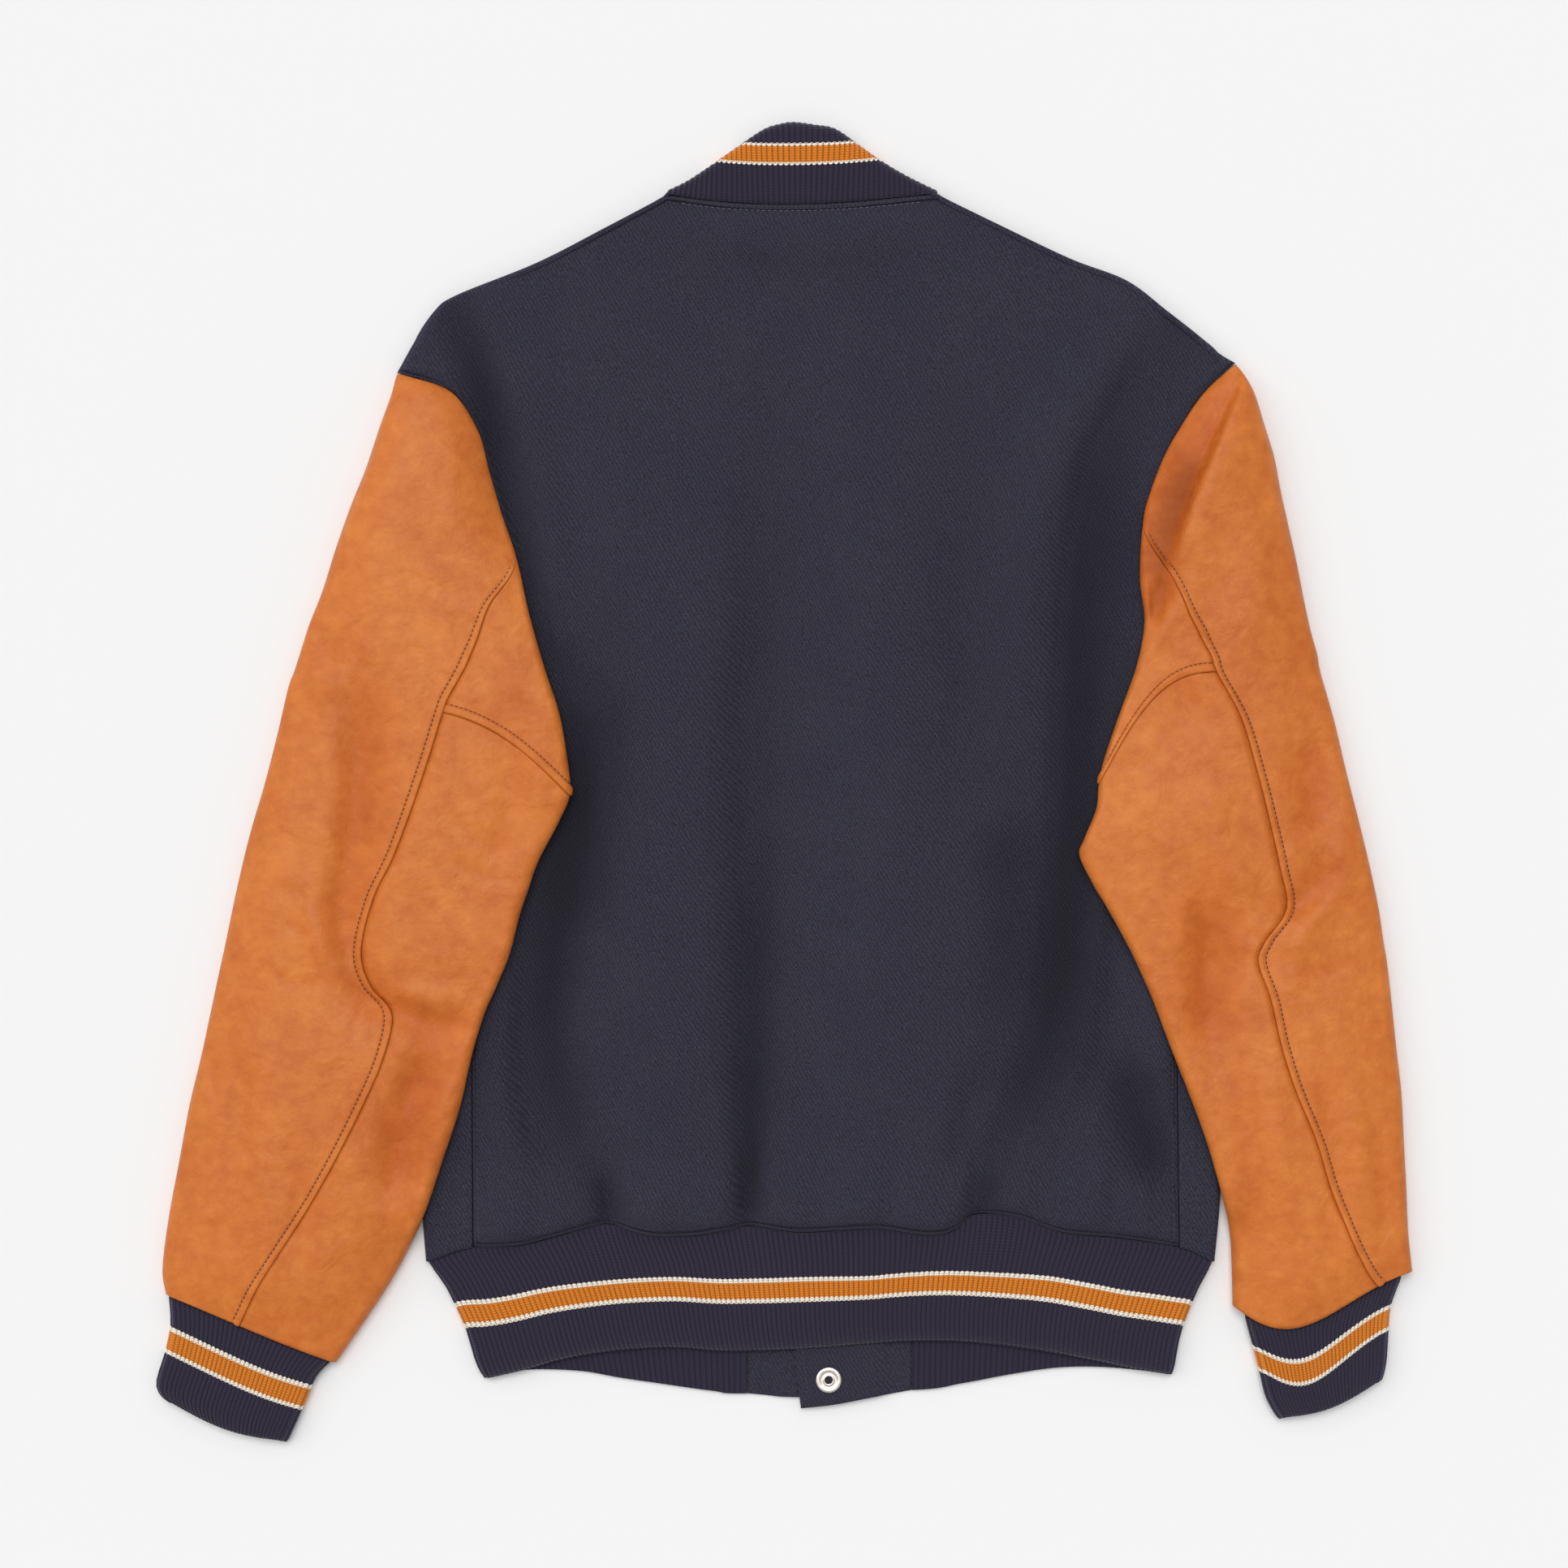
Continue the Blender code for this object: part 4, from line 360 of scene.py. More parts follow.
def rib_knit(name, stripes):
    """Rib knit with stripes as (start, end) in centimetres for cream, gold and cream."""
    material, tree, shader = start_material(name, Roughness=0.85, IOR=1.5)
    shader.inputs["Sheen Weight"].default_value = 0.25
    shader.inputs["Sheen Roughness"].default_value = 0.5
    shader.inputs["Specular IOR Level"].default_value = 0.2
    parts = add(tree, "SeparateXYZ", {0: add(tree, "UVMap", uv_map="cloth").outputs[0]})
    across = add(tree, "Math", {0: parts.outputs[0]}, operation="FRACT")
    centred = add(tree, "Math", {0: across.outputs[0], 1: 0.5}, operation="SUBTRACT")
    leg = add(tree, "Math", {0: centred.outputs[0]}, operation="ABSOLUTE")
    stepped = add(tree, "Math", {0: leg.outputs[0], 1: -0.16, 2: parts.outputs[1]}, operation="MULTIPLY_ADD")
    share = add(tree, "Math", {0: stepped.outputs[0], 1: 0.1}, operation="MULTIPLY")
    yarn = add(tree, "ValToRGB", {"Fac": share.outputs[0]})
    ramp = yarn.color_ramp
    ramp.interpolation = "CONSTANT"
    ramp.elements[0].color = linear(YARN["navy"])
    ramp.elements.remove(ramp.elements[1])
    for (start, end), colour in zip(stripes, ("cream", "gold", "cream")):
        ramp.elements.new(start * 0.1).color = linear(YARN[colour])
    ramp.elements.new(stripes[-1][1] * 0.1).color = linear(YARN["navy"])
    rows = add(tree, "Math", {0: parts.outputs[1], 1: 10 / STITCH_MM}, operation="MULTIPLY")
    chevron = add(tree, "Math", {0: leg.outputs[0], 1: 0.9, 2: rows.outputs[0]}, operation="MULTIPLY_ADD")
    turn = add(tree, "Math", {0: chevron.outputs[0], 1: 2 * np.pi}, operation="MULTIPLY")
    stitch = add(tree, "Math", {0: turn.outputs[0]}, operation="SINE")
    place = add(tree, "TexCoord").outputs["Object"]
    fuzz = add(tree, "TexNoise", {"Vector": place, "Scale": FUZZ_PER_METRE, "Detail": 2.0})
    # Painted shade: the colour is darkened in the grooves between the ribs, and the stitch wave paints each stitch
    # lighter on its crest and darker between; the fuzz adds real random tone.
    groove = add(tree, "MapRange", {"Value": leg.outputs[0], "From Min": 0.28, "From Max": 0.5,
                                    "To Min": 1.0, "To Max": 0.42})
    rough_yarn = add(tree, "Math", {0: stitch.outputs[0], 1: fuzz.outputs["Fac"]}, operation="ADD")
    grain = add(tree, "MapRange", {"Value": rough_yarn.outputs[0], "From Min": -0.8, "From Max": 1.6,
                                   "To Min": 0.66, "To Max": 1.12})
    shade = add(tree, "Math", {0: groove.outputs[0], 1: grain.outputs[0]}, operation="MULTIPLY")
    dyed_and_shaded = add(tree, "VectorMath", {0: yarn.outputs["Color"], "Scale": shade.outputs[0]}, operation="SCALE")
    tree.links.new(dyed_and_shaded.outputs[0], shader.inputs["Base Color"])
    bump = add(tree, "Bump", {"Height": stitch.outputs[0], "Strength": 0.5, "Distance": 0.3 * MM})
    tree.links.new(bump.outputs[0], shader.inputs["Normal"])
    return material


hem_knit = rib_knit("worsted_rib_knit_hem", ((2.88, 3.13), (3.13, 4.17), (4.17, 4.42)))
cuff_knit = rib_knit("worsted_rib_knit_cuff", ((1.75, 2.0), (2.0, 3.1), (3.1, 3.35)))
collar_knit = rib_knit("worsted_rib_knit_collar", ((2.2, 2.38), (2.38, 3.33), (3.33, 3.51)))
print("rib knit: stitches", STITCH_MM, "mm")

# %% [markdown]
# ### Thread, snaps and the table
# The seams are topstitched with waxed polyester, the snaps are nickel-plated brass, stamped and
# tumbled, and the table is matt white paper.

# %% Thread, plated brass and paper
TWIST_PER_METRE, SCUFF_PER_METRE = 1500.0, 600.0

thread, tree, shader = start_material("polyester_thread_waxed", Roughness=0.5, IOR=1.6)
place = add(tree, "TexCoord").outputs["Object"]
twist = add(tree, "TexNoise", {"Vector": place, "Scale": TWIST_PER_METRE})
tone = add(tree, "ValToRGB", {"Fac": twist.outputs["Fac"]})
tone.color_ramp.elements[0].color, tone.color_ramp.elements[1].color = linear("#1a1a24"), linear("#3b3a4c")
tree.links.new(tone.outputs["Color"], shader.inputs["Base Color"])

grey_thread = thread.copy()
grey_thread.name = "polyester_thread_faded"
ramp = next(node for node in grey_thread.node_tree.nodes if node.bl_idname == "ShaderNodeValToRGB").color_ramp
ramp.elements[0].color, ramp.elements[1].color = linear("#4a4858"), linear("#77758a")

plated, tree, shader = start_material("brass_nickel_plated_tumbled", Metallic=1.0)
place = add(tree, "TexCoord").outputs["Object"]
scuff = add(tree, "TexNoise", {"Vector": place, "Scale": SCUFF_PER_METRE, "Detail": 4.0})
tone = add(tree, "ValToRGB", {"Fac": scuff.outputs["Fac"]})
tone.color_ramp.elements[0].color, tone.color_ramp.elements[1].color = linear("#ecdfd2"), linear("#fff8f0")
tree.links.new(tone.outputs["Color"], shader.inputs["Base Color"])
rough = add(tree, "MapRange", {"Value": scuff.outputs["Fac"], "To Min": 0.25, "To Max": 0.42})
tree.links.new(rough.outputs[0], shader.inputs["Roughness"])

paper, tree, shader = start_material("paper_matt_white", Roughness=0.9)
shader.inputs["Base Color"].default_value = linear("#f6f6f6")
shader.inputs["Specular IOR Level"].default_value = 0.1

TABLE_HALF = 4.0           # metres
TABLE_LEVEL = -0.0005      # half a millimetre down, so that no cloth shares a face with it
table_mesh = bpy.data.meshes.new("table")
table_corners = [(x * TABLE_HALF, y * TABLE_HALF, TABLE_LEVEL) for x, y in ((-1, -1), (1, -1), (1, 1), (-1, 1))]
table_mesh.from_pydata(table_corners, [], [(0, 1, 2, 3)])
table_mesh.materials.append(paper)
table = bpy.data.objects.new("table", table_mesh)
bpy.context.scene.collection.objects.link(table)

# %% [markdown]
# ## The shape of a sleeve
# A sleeve that lies flat is still a tube, pressed down to about 22 mm where the leather won't fold
# tighter.  Each table row is one section across it, from the shoulder to the cuff: its outer and
# inner edge as seen from above, where the leather turned under the inner edge ends, how far the
# section bows toward the cuff, its height, and where the back seam crosses it.

# %% Measured sections
# Columns: outer x, y, inner x, y, lap x, y, bow, height, seam share.
LEFT_SECTIONS = (
    (-229.6, 243.4, -222.5, 241.5, -225.0, 241.5, 0, 8.5, 0.985),
    (-233.0, 230.5, -197.0, 232.5, -198.0, 231.0, 0, 14, 0.985),
    (-240.0, 211.0, -181.0, 209.0, -182.5, 208.5, 0, 18, 0.985),
    (-248.0, 187.0, -174.5, 186.0, -176.5, 185.5, 0, 21, 0.985),
    (-257.0, 164.5, -167.0, 160.0, -169.0, 159.5, 0, 22, 0.985),
    (-266.0, 139.0, -158.0, 133.0, -160.0, 132.0, 0, 22, 1.0),
    (-273.5, 115.0, -150.5, 100.0, -157.5, 100.0, -4, 22, 0.815),
    (-281.5, 94.5, -141.0, 67.0, -158.0, 66.0, -9, 22, 0.713),
    (-286.5, 79.0, -132.5, 41.0, -167.0, 29.0, -14, 22, 0.642),
    (-290.5, 66.5, -127.0, 8.0, -202.0, -18.0, -20, 22, 0.573),
    (-294.0, 57.0, -126.5, -7.0, -204.5, -37.0, -22, 22, 0.557),
    (-300.5, 29.0, -133.0, -22.5, -206.0, -57.5, -15, 22, 0.545),
    (-308.0, 0.0, -145.0, -45.5, -207.5, -79.0, -11, 22, 0.545),
    (-317.0, -31.0, -151.5, -64.0, -208.5, -96.0, -6, 22, 0.526),
    (-324.5, -62.5, -156.5, -79.0, -209.0, -108.0, -3, 22, 0.491),
    (-331.5, -96.0, -162.0, -100.5, -210.0, -126.0, 0, 22, 0.486),
    (-336.5, -119.0, -169.5, -119.0, -210.5, -139.0, 0, 21, 0.555),
    (-340.0, -135.5, -177.0, -136.0, -211.5, -153.5, 0, 21, 0.667),
    (-345.5, -161.0, -184.5, -161.0, -213.0, -175.0, 0, 22, 0.682),
    (-352.5, -190.5, -191.5, -191.5, -214.5, -201.5, 0, 22, 0.645),
    (-358.5, -223.0, -202.0, -223.5, -217.5, -230.5, 0, 22, 0.598),
    (-364.0, -252.0, -212.0, -253.0, -219.5, -255.5, 0, 21, 0.541),
    (-367.5, -276.0, -223.5, -277.5, -231.5, -278.5, 1, 20, 0.483),
    (-368.5, -290.5, -238.0, -302.5, -245.5, -301.0, 3, 18, 0.441),
    (-366.5, -301.9, -265.5, -342.8, -272.5, -340.0, 1, 12, 0.440))
RIGHT_SECTIONS = (
    (268.2, 249.2, 262.2, 244.6, 264.0, 246.0, 0, 8.5, 0.985),
    (278.0, 234.0, 248.0, 231.0, 249.5, 229.5, 0, 14, 0.985),
    (285.0, 212.5, 234.0, 210.5, 235.5, 210.0, 0, 18, 0.985),
    (290.5, 194.5, 224.5, 193.5, 226.5, 193.0, 0, 20, 0.985),
    (294.5, 174.0, 216.5, 172.5, 218.5, 172.0, 0, 21, 0.985),
    (299.0, 153.5, 212.0, 152.0, 214.0, 151.0, 0, 21, 1.0),
    (304.0, 131.0, 210.5, 121.5, 214.5, 121.5, 0, 21, 0.81),
    (308.5, 108.0, 213.0, 96.0, 217.5, 96.0, -2, 21, 0.734),
    (312.0, 92.0, 208.5, 70.5, 218.0, 67.0, -12, 21, 0.657),
    (314.5, 83.0, 198.0, 41.0, 225.5, 24.0, -24, 21, 0.572),
    (316.5, 75.5, 189.0, 14.5, 246.0, -18.0, -35, 21, 0.508),
    (318.0, 66.5, 186.0, 0.0, 248.0, -37.0, -38, 21, 0.480),
    (326.0, 38.5, 184.5, -14.5, 249.5, -57.5, -32, 21, 0.400),
    (333.5, 7.0, 177.5, -32.0, 251.0, -77.0, -22, 21, 0.348),
    (341.0, -22.5, 174.5, -42.0, 251.5, -89.0, -11, 21, 0.328),
    (347.5, -49.5, 182.0, -58.5, 252.0, -96.0, -4, 21, 0.333),
    (352.5, -73.5, 191.0, -73.5, 253.0, -103.0, 0, 21, 0.348),
    (355.5, -93.5, 202.0, -93.5, 253.5, -115.0, 0, 21, 0.472),
    (357.5, -105.5, 208.0, -105.5, 254.0, -125.0, 0, 20, 0.522),
    (360.0, -127.0, 217.5, -127.0, 255.0, -141.5, 0, 21, 0.515),
    (363.0, -156.0, 228.5, -156.0, 257.0, -165.5, 0, 21, 0.518),
    (366.0, -182.5, 239.0, -182.5, 258.0, -189.5, 0, 21, 0.504),
    (367.5, -211.0, 249.5, -211.0, 260.5, -216.0, 0, 21, 0.455),
    (369.0, -240.0, 258.0, -240.0, 262.5, -242.5, 0, 20, 0.416),
    (370.0, -264.0, 264.0, -264.0, 270.5, -264.0, 2, 19, 0.348),
    (371.5, -280.0, 265.5, -286.5, 272.5, -285.5, 10, 17, 0.270),
    (372.5, -288.5, 266.0, -309.0, 273.0, -307.0, 20, 12, 0.200))
# The armhole's front edge on the surface below, at the sleeve's sections down to the underarm.
LEFT_FRONT_ARMHOLE = (
    (-223.6, 243.4), (-202.0, 218.5), (-185.5, 194.5), (-175.5, 169.5), (-169.5, 142.5),
    (-166.0, 113.0), (-165.5, 84.0), (-170.0, 48.0), (-179.5, 17.0), (-205.5, -18.0))
RIGHT_FRONT_ARMHOLE = (
    (263.0, 245.0), (252.5, 221.0), (238.0, 201.5), (227.5, 180.0), (220.5, 156.0), (216.0, 132.0),
    (214.0, 103.0), (214.0, 77.0), (220.0, 45.5), (228.5, 14.5), (249.5, -18.0))
FORK = 5                  # the section where the back seam leaves the armhole seam
LAP_FOOT = 8.0            # plan length of the leather's step down from the body to the surface
FRONT_SEAM = (0.86, 0.62) # where the front seam crosses the lower sheet, at the fork and at the cuff
LEFT_SIDE = ((-202.0, -18.0), (-209.5, -137.0), (-216.0, -252.0), (-212.5, -283.5))
RIGHT_SIDE = ((246.0, -18.0), (253.0, -137.0), (259.5, -247.0), (255.5, -283.5))
LAP_REST = 8.6             # underside of a sleeve where it lies on the body
LIP_REST = 4.4             # where the leather turns down into the armhole seam
OUTER_FOLD = 6.0           # radius of the fold down a sleeve's outer edge
INNER_FOLDS = (2.0, 2.5, 3.5, 4.5, 5.5)    # radius of the inner fold: above the fork, at it, and from there on
SEAM_GAP = 0.5
LEATHER = 1.4              # thickness of the hide

# %% [markdown]
# Leather creases instead of draping.  A crease is drawn as a line of points with a height and a
# width on each side, so that one side can be steep and the other soft, as where the leather folds
# over the armhole.  A sculpting brush would give the same marks, but a line can be measured and moved.

# %% Creases drawn as lines
FULL_SHADE_DEPTH = 18.0         # a trough this deep gets the full painted shade


def crease_height(creases, x, y):
    """Sum of ridges (+) and troughs (-).  Each is a rise, a width to the left and right, and a line."""
    total = np.zeros(np.shape(x))
    for rise, left, right, line in creases:
        line = smooth_table(line, 5 * len(line))
        run = np.linalg.norm(np.diff(line, axis=0), axis=1)
        length = np.concatenate([[0.0], np.cumsum(run)])
        near = np.full(np.shape(x), np.inf)
        share = np.zeros(np.shape(x))
        side = np.zeros(np.shape(x))
        for i in range(len(run)):
            along = (line[i + 1] - line[i]) / run[i]
            dx, dy = x - line[i, 0], y - line[i, 1]
            t = np.clip(dx * along[0] + dy * along[1], 0.0, run[i])
            apart = np.hypot(dx - t * along[0], dy - t * along[1])
            closer = apart < near
            near = np.where(closer, apart, near)
            share = np.where(closer, (length[i] + t) / length[-1], share)
            side = np.where(closer, along[0] * dy - along[1] * dx, side)
        width = np.where(side > 0.0, left, right)
        taper = smoothstep(share / 0.3) * smoothstep((1.0 - share) / 0.3) * 0.75 + 0.25
        total += rise * taper * np.exp(-(near / width) ** 2)
    return total


def painted_shade_amount(creases, x, y):
    """From 0 to 1, how much painted shade a place gets from the troughs it lies in; the shade reaches a little wider
    than they do.
    """
    troughs = tuple((rise, 1.15 * left, 1.15 * right, line) for rise, left, right, line in creases if rise < 0.0)
    return np.clip(-crease_height(troughs, x, y) / FULL_SHADE_DEPTH, 0.0, 1.0)

# %% [markdown]
# The deepest troughs lie at the elbow and along the armhole, and short, shallow ones fan out from
# them.  Ridges beside the troughs stand for the leather that is pushed up there.

# %% The sleeves' creases
# Painted shade: places whose colour is darkened more than their creases alone would make it, in the same form as
# creases.
LEFT_SHADE = (
    (-1.0, 16, 12, ((-196, -150), (-212, -176), (-222, -206))),
    (-2.0, 10, 10, ((-200, 120), (-178, 150), (-184, 200), (-206, 226))),
    (-3.0, 8, 9, ((-180, 96), (-150, 40), (-138, -10))))
RIGHT_SHADE = (
    (-10.5, 18, 4, ((214, 104), (219, 118), (224, 134), (230, 155), (236, 172), (243, 190), (250, 208))),
    (-6.0, 6, 8, ((231, 128), (225, 112), (214, 92))),
    (-1.0, 10, 12, ((240, -64), (246, -110), (250, -150))))
LEFT_CREASES = (
    (-6.0, 17, 10, ((-266.9, 69.6), (-252.5, 36), (-254.4, -26.4), (-260.2, -74.4), (-255.4, -108), (-240, -126))),
    (-4.8, 9, 12, ((-262, -104), (-252, -117), (-235.7, -128), (-214, -139), (-183, -142.6))),
    (-5.6, 18, 11, ((-200, -146), (-218, -180), (-227, -218), (-233, -255))),
    (2.4, 10, 10, ((-189, -158), (-206, -215), (-216, -262))),
    (2.2, 24, 24, ((-224, 233), (-248, 150), (-253, 80))),
    (2.4, 9, 10, ((-294, 66), (-274, 64), (-257, 50))),
    (2.6, 8, 7, ((-282, -62), (-270, -98), (-246, -120), (-214, -127), (-190, -130))),
    (1.4, 12, 12, ((-292, 20), (-300, -60), (-306, -120))),
    (-0.8, 4, 3, ((-305, -113), (-287, -119), (-270, -117))),
    (-0.8, 4, 3, ((-298, -80), (-284, -88), (-272, -86))),
    (-0.7, 4, 3, ((-302, -58), (-290, -66), (-280, -62))),
    (-0.9, 5, 3, ((-190, -27), (-172, -38), (-158, -36))),
    (-0.8, 4, 4, ((-196, -42), (-180, -54), (-168, -52))),
    (-1.8, 10, 5, ((-166, 26), (-162, -6), (-170, -36), (-182, -52))),
    (1.6, 10, 9, ((-150, 40), (-142, 8), (-146, -20))),
    (1.4, 10, 8, ((-200, -172), (-212, -192), (-234, -205))),
    (-1.4, 8, 8, ((-330, -140), (-320, -190), (-324, -235))),
    (-1.2, 7, 7, ((-290, -215), (-284, -252), (-290, -285))),
    (1.4, 8, 8, ((-308, -225), (-304, -262), (-312, -296))),
    (-1.0, 5, 4, ((-352, -120), (-340, -150), (-336, -190))))
RIGHT_CREASES = (
    (5.0, 4, 22, ((226, 112), (230, 128), (236, 148), (243, 168), (254, 195), (264, 218), (275, 240))),
    (-4.4, 14, 4, ((221, 118), (225, 134), (231, 155), (238, 174), (249, 200), (260, 224), (271, 246))),
    (-3.0, 2.6, 1.8, ((222.5, 112), (226.5, 128), (232.5, 148), (239.5, 168), (250.5, 195), (260.5, 218), (271, 240))),
    (-3.2, 5, 7, ((231, 128), (227, 116), (220, 103), (211, 88))),
    (1.8, 8, 5, ((238, 118), (232, 106), (224, 94), (214, 80))),
    (-6.0, 15, 12, ((250, -58), (250, -88.8), (250, -130), (254.5, -165.8))),
    (-4.6, 12, 8, ((288, -77), (303.9, -71), (316, -61), (332, -42))),
    (3.6, 13, 13, ((244.7, 12.4), (254, -28), (268, -62), (276, -74))),
    (-3.4, 13, 11, ((304, 28), (311, -5), (315, -34))),
    (2.4, 9, 9, ((338, -10), (328, -48), (306, -88), (298, -130))),
    (2.2, 20, 20, ((282, 190), (276, 120), (268, 60))),
    (-2.2, 10, 7, ((222, 66), (238, 48), (254, 36))),
    (2.0, 10, 10, ((212, 20), (222, -20), (236, -64), (246, -110))),
    (-0.9, 4, 3, ((268, -84), (280, -92), (292, -90))),
    (-1.1, 5, 4, ((298, -106), (316, -112), (336, -106))),
    (1.6, 9, 9, ((286, -150), (290, -200), (298, -250))),
    (-1.8, 10, 8, ((316, -160), (324, -215), (326, -268))),
    (-1.6, 8, 8, ((268, -180), (276, -226), (282, -270))),
    (-1.2, 6, 6, ((346, -180), (352, -230), (354, -272))))

# %% [markdown]
# Round a section, one number says where a point is: -1 to 0 is the sheet on the table, up to the
# outer fold at 0.  0 to 1 is the upper sheet, 1 to 2 is turned under the inner fold, and 2 to 3
# steps down beside the body and meets the lower sheet again.

# %% The outer face of a sleeve
def bow_shape(share):
    """A bow across a section, from 0 to 1 and deepest past the middle."""
    return np.sin(np.pi * share ** 1.6)


class Sleeve:
    """The outer face of one sleeve, as a point for each section v and each place a round it."""

    def __init__(self, sections, front_armhole, out, creases, shade):
        rows = np.array(sections, float)
        count = len(rows)
        self.out = out
        self.creases = creases
        self.shade = shade
        self.last = count - 1
        self.underarm = len(front_armhole) - 1
        across = rows[:, 0:2] - rows[:, 2:4]
        foot = rows[:, 4:6] + across * (LAP_FOOT / np.linalg.norm(across, axis=1, keepdims=True))
        foot[:self.underarm + 1] = front_armhole
        self.rows = np.concatenate([rows, foot], 1)
        side = np.array(LEFT_SIDE if out < 0 else RIGHT_SIDE)[::-1]
        side_x = np.interp(rows[:, 3], side[:, 1], side[:, 0])
        on_body = out * (rows[:, 2] - side_x) < 0.0
        self.rest = np.where(on_body, LAP_REST, 0.0)
        self.rest[:FORK] = LIP_REST
        self.fold = np.full(count, INNER_FOLDS[-1])
        self.fold[:FORK] = INNER_FOLDS[0]
        self.fold[FORK:FORK + 3] = INNER_FOLDS[1:-1]

    def section(self, v):
        """The measured numbers of a section, smoothed between the table's rows."""
        return smooth_rows(self.rows, np.asarray(v, float))

    def number(self, values, v):
        """One of the numbers kept for each section, read between them."""
        return np.interp(v, np.arange(len(values)), values)

    def point(self, v, a):
        """The point at a place round a section, from whichever of its four sheets the place is on."""
        v, a = np.broadcast_arrays(np.asarray(v, float), np.asarray(a, float))
        row = self.section(v)
        outer, inner, lap, foot = row[..., 0:2], row[..., 2:4], row[..., 4:6], row[..., 9:11]
        bow, crown = row[..., 6], row[..., 7]
        rest = self.number(self.rest, v)
        inner_fold = self.number(self.fold, v)
        width = np.linalg.norm(inner - outer, axis=-1)
        outer_fold = np.minimum(OUTER_FOLD, 0.45 * width)
        top = self.upper(a, outer, inner, bow, crown, rest, outer_fold, inner_fold, width)
        below = np.where((a < 0)[..., None], self.floor(-a, outer, foot, outer_fold),
                         np.where((a <= 2)[..., None], self.turned(a - 1.0, inner, lap, rest, inner_fold),
                                  self.step(a - 2.0, lap, foot, rest)))
        near_cuff = smoothstep((v - self.last + 3.0) / 3.0)
        below[..., 1] -= self.sag(below[..., 0:2], outer, inner, bow * near_cuff)
        on_top = (a >= 0) & (a <= 1)
        return np.where(on_top[..., None], top, below)

    def sag(self, plan, outer, inner, bow):
        """How far a section's line runs below its straight chord."""
        chord = inner - outer
        share = np.sum((plan - outer) * chord, -1) / np.sum(chord * chord, -1)
        return bow * bow_shape(np.clip(share, 0.0, 1.0))

    def upper(self, a, outer, inner, bow, crown, rest, outer_fold, inner_fold, width):
        """The sheet on top: it rises over both folds and domes between them, and carries the creases."""
        t = 0.5 - 0.5 * np.cos(np.pi * np.clip(a, 0.0, 1.0))
        plan = outer + (inner - outer) * t[..., None]
        y = plan[..., 1] - bow * bow_shape(t)
        mix = smoothstep(t)
        from_outer = outer_fold * (1.0 + quarter(t * width / outer_fold))
        from_inner = rest + inner_fold * (1.0 + quarter((1.0 - t) * width / inner_fold))
        level = 2.0 * outer_fold * (1.0 - mix) + (rest + 2.0 * inner_fold) * mix
        dome = 1.0 - np.abs(2.0 * t - 1.0) ** 2.5
        z = from_outer * (1.0 - mix) + from_inner * mix + np.maximum(crown - level, 0.0) * dome
        z += crease_height(self.creases, plan[..., 0], y) * smoothstep(3.0 * dome)
        return np.stack([plan[..., 0], y, z], -1)

    def turned(self, b, inner, lap, rest, inner_fold):
        """The leather turned under the inner fold, b from 0 at the fold to 1 at its end."""
        b = np.clip(b, 0.0, 1.0)
        share = 1.0 - np.cos(0.5 * np.pi * b)
        reach = np.linalg.norm(lap - inner, axis=-1)
        plan = inner + (lap - inner) * share[..., None]
        z = rest + inner_fold * (1.0 - quarter(share * reach / inner_fold))
        return np.concatenate([plan, z[..., None]], -1)

    def step(self, b, lap, foot, rest):
        """The step from the body's top down to the table."""
        b = np.clip(b, 0.0, 1.0)
        plan = lap + (foot - lap) * b[..., None]
        return np.concatenate([plan, (rest * (1.0 - b))[..., None]], -1)

    def floor(self, b, outer, foot, outer_fold):
        """The sheet on the table, b from 0 at the outer fold to 1 at the step."""
        b = np.clip(b, 0.0, 1.0)
        share = 1.0 - np.cos(0.5 * np.pi * b)
        reach = np.linalg.norm(foot - outer, axis=-1)
        plan = outer + (foot - outer) * share[..., None]
        z = outer_fold * (1.0 - quarter(share * reach / outer_fold))
        return np.concatenate([plan, z[..., None]], -1)

    def cuff_line(self, x):
        """Height y of the sleeve's end, where the cuff is sewn on."""
        row = self.rows[-1]
        share = (x - row[0]) / (row[2] - row[0])
        return row[1] + (row[3] - row[1]) * share - row[6] * bow_shape(np.clip(share, 0.0, 1.0))

    def normal(self, v, a):
        """Outward unit normal, from the section's own side of the armhole slit."""
        v, a = np.broadcast_arrays(np.asarray(v, float), np.asarray(a, float))
        low = np.where(a > 2.0, np.maximum(a - 0.02, 2.0), np.maximum(a - 0.02, -1.0))
        high = np.where(a > 2.0, np.minimum(a + 0.02, 3.0), np.minimum(a + 0.02, 2.0))
        across = self.point(v, high) - self.point(v, low)
        along = self.point(np.minimum(v + 0.3, self.last), a) - self.point(np.maximum(v - 0.3, 0.0), a)
        normal = self.out * np.cross(across, along)
        return normal / np.maximum(np.linalg.norm(normal, axis=-1, keepdims=True), SMALL)

    def seam_share(self, v):
        """How far across the section the back seam runs, from the outer edge to the inner one."""
        return self.section(v)[..., 8]

    def front_seam(self, v):
        """The place of the front seam, on the sheet below."""
        share = np.interp(v, (FORK, self.last), FRONT_SEAM)
        return -np.arccos(1.0 - share) * 2.0 / np.pi

    def step_round(self, v, a, distance):
        """Move a place round the section by a distance in millimetres."""
        speed = np.linalg.norm(self.point(v, a + 0.01) - self.point(v, a - 0.01), axis=-1) / 0.02
        return a + distance / speed


left_sleeve = Sleeve(LEFT_SECTIONS, LEFT_FRONT_ARMHOLE, -1, LEFT_CREASES, LEFT_SHADE)
right_sleeve = Sleeve(RIGHT_SECTIONS, RIGHT_FRONT_ARMHOLE, 1, RIGHT_CREASES, RIGHT_SHADE)

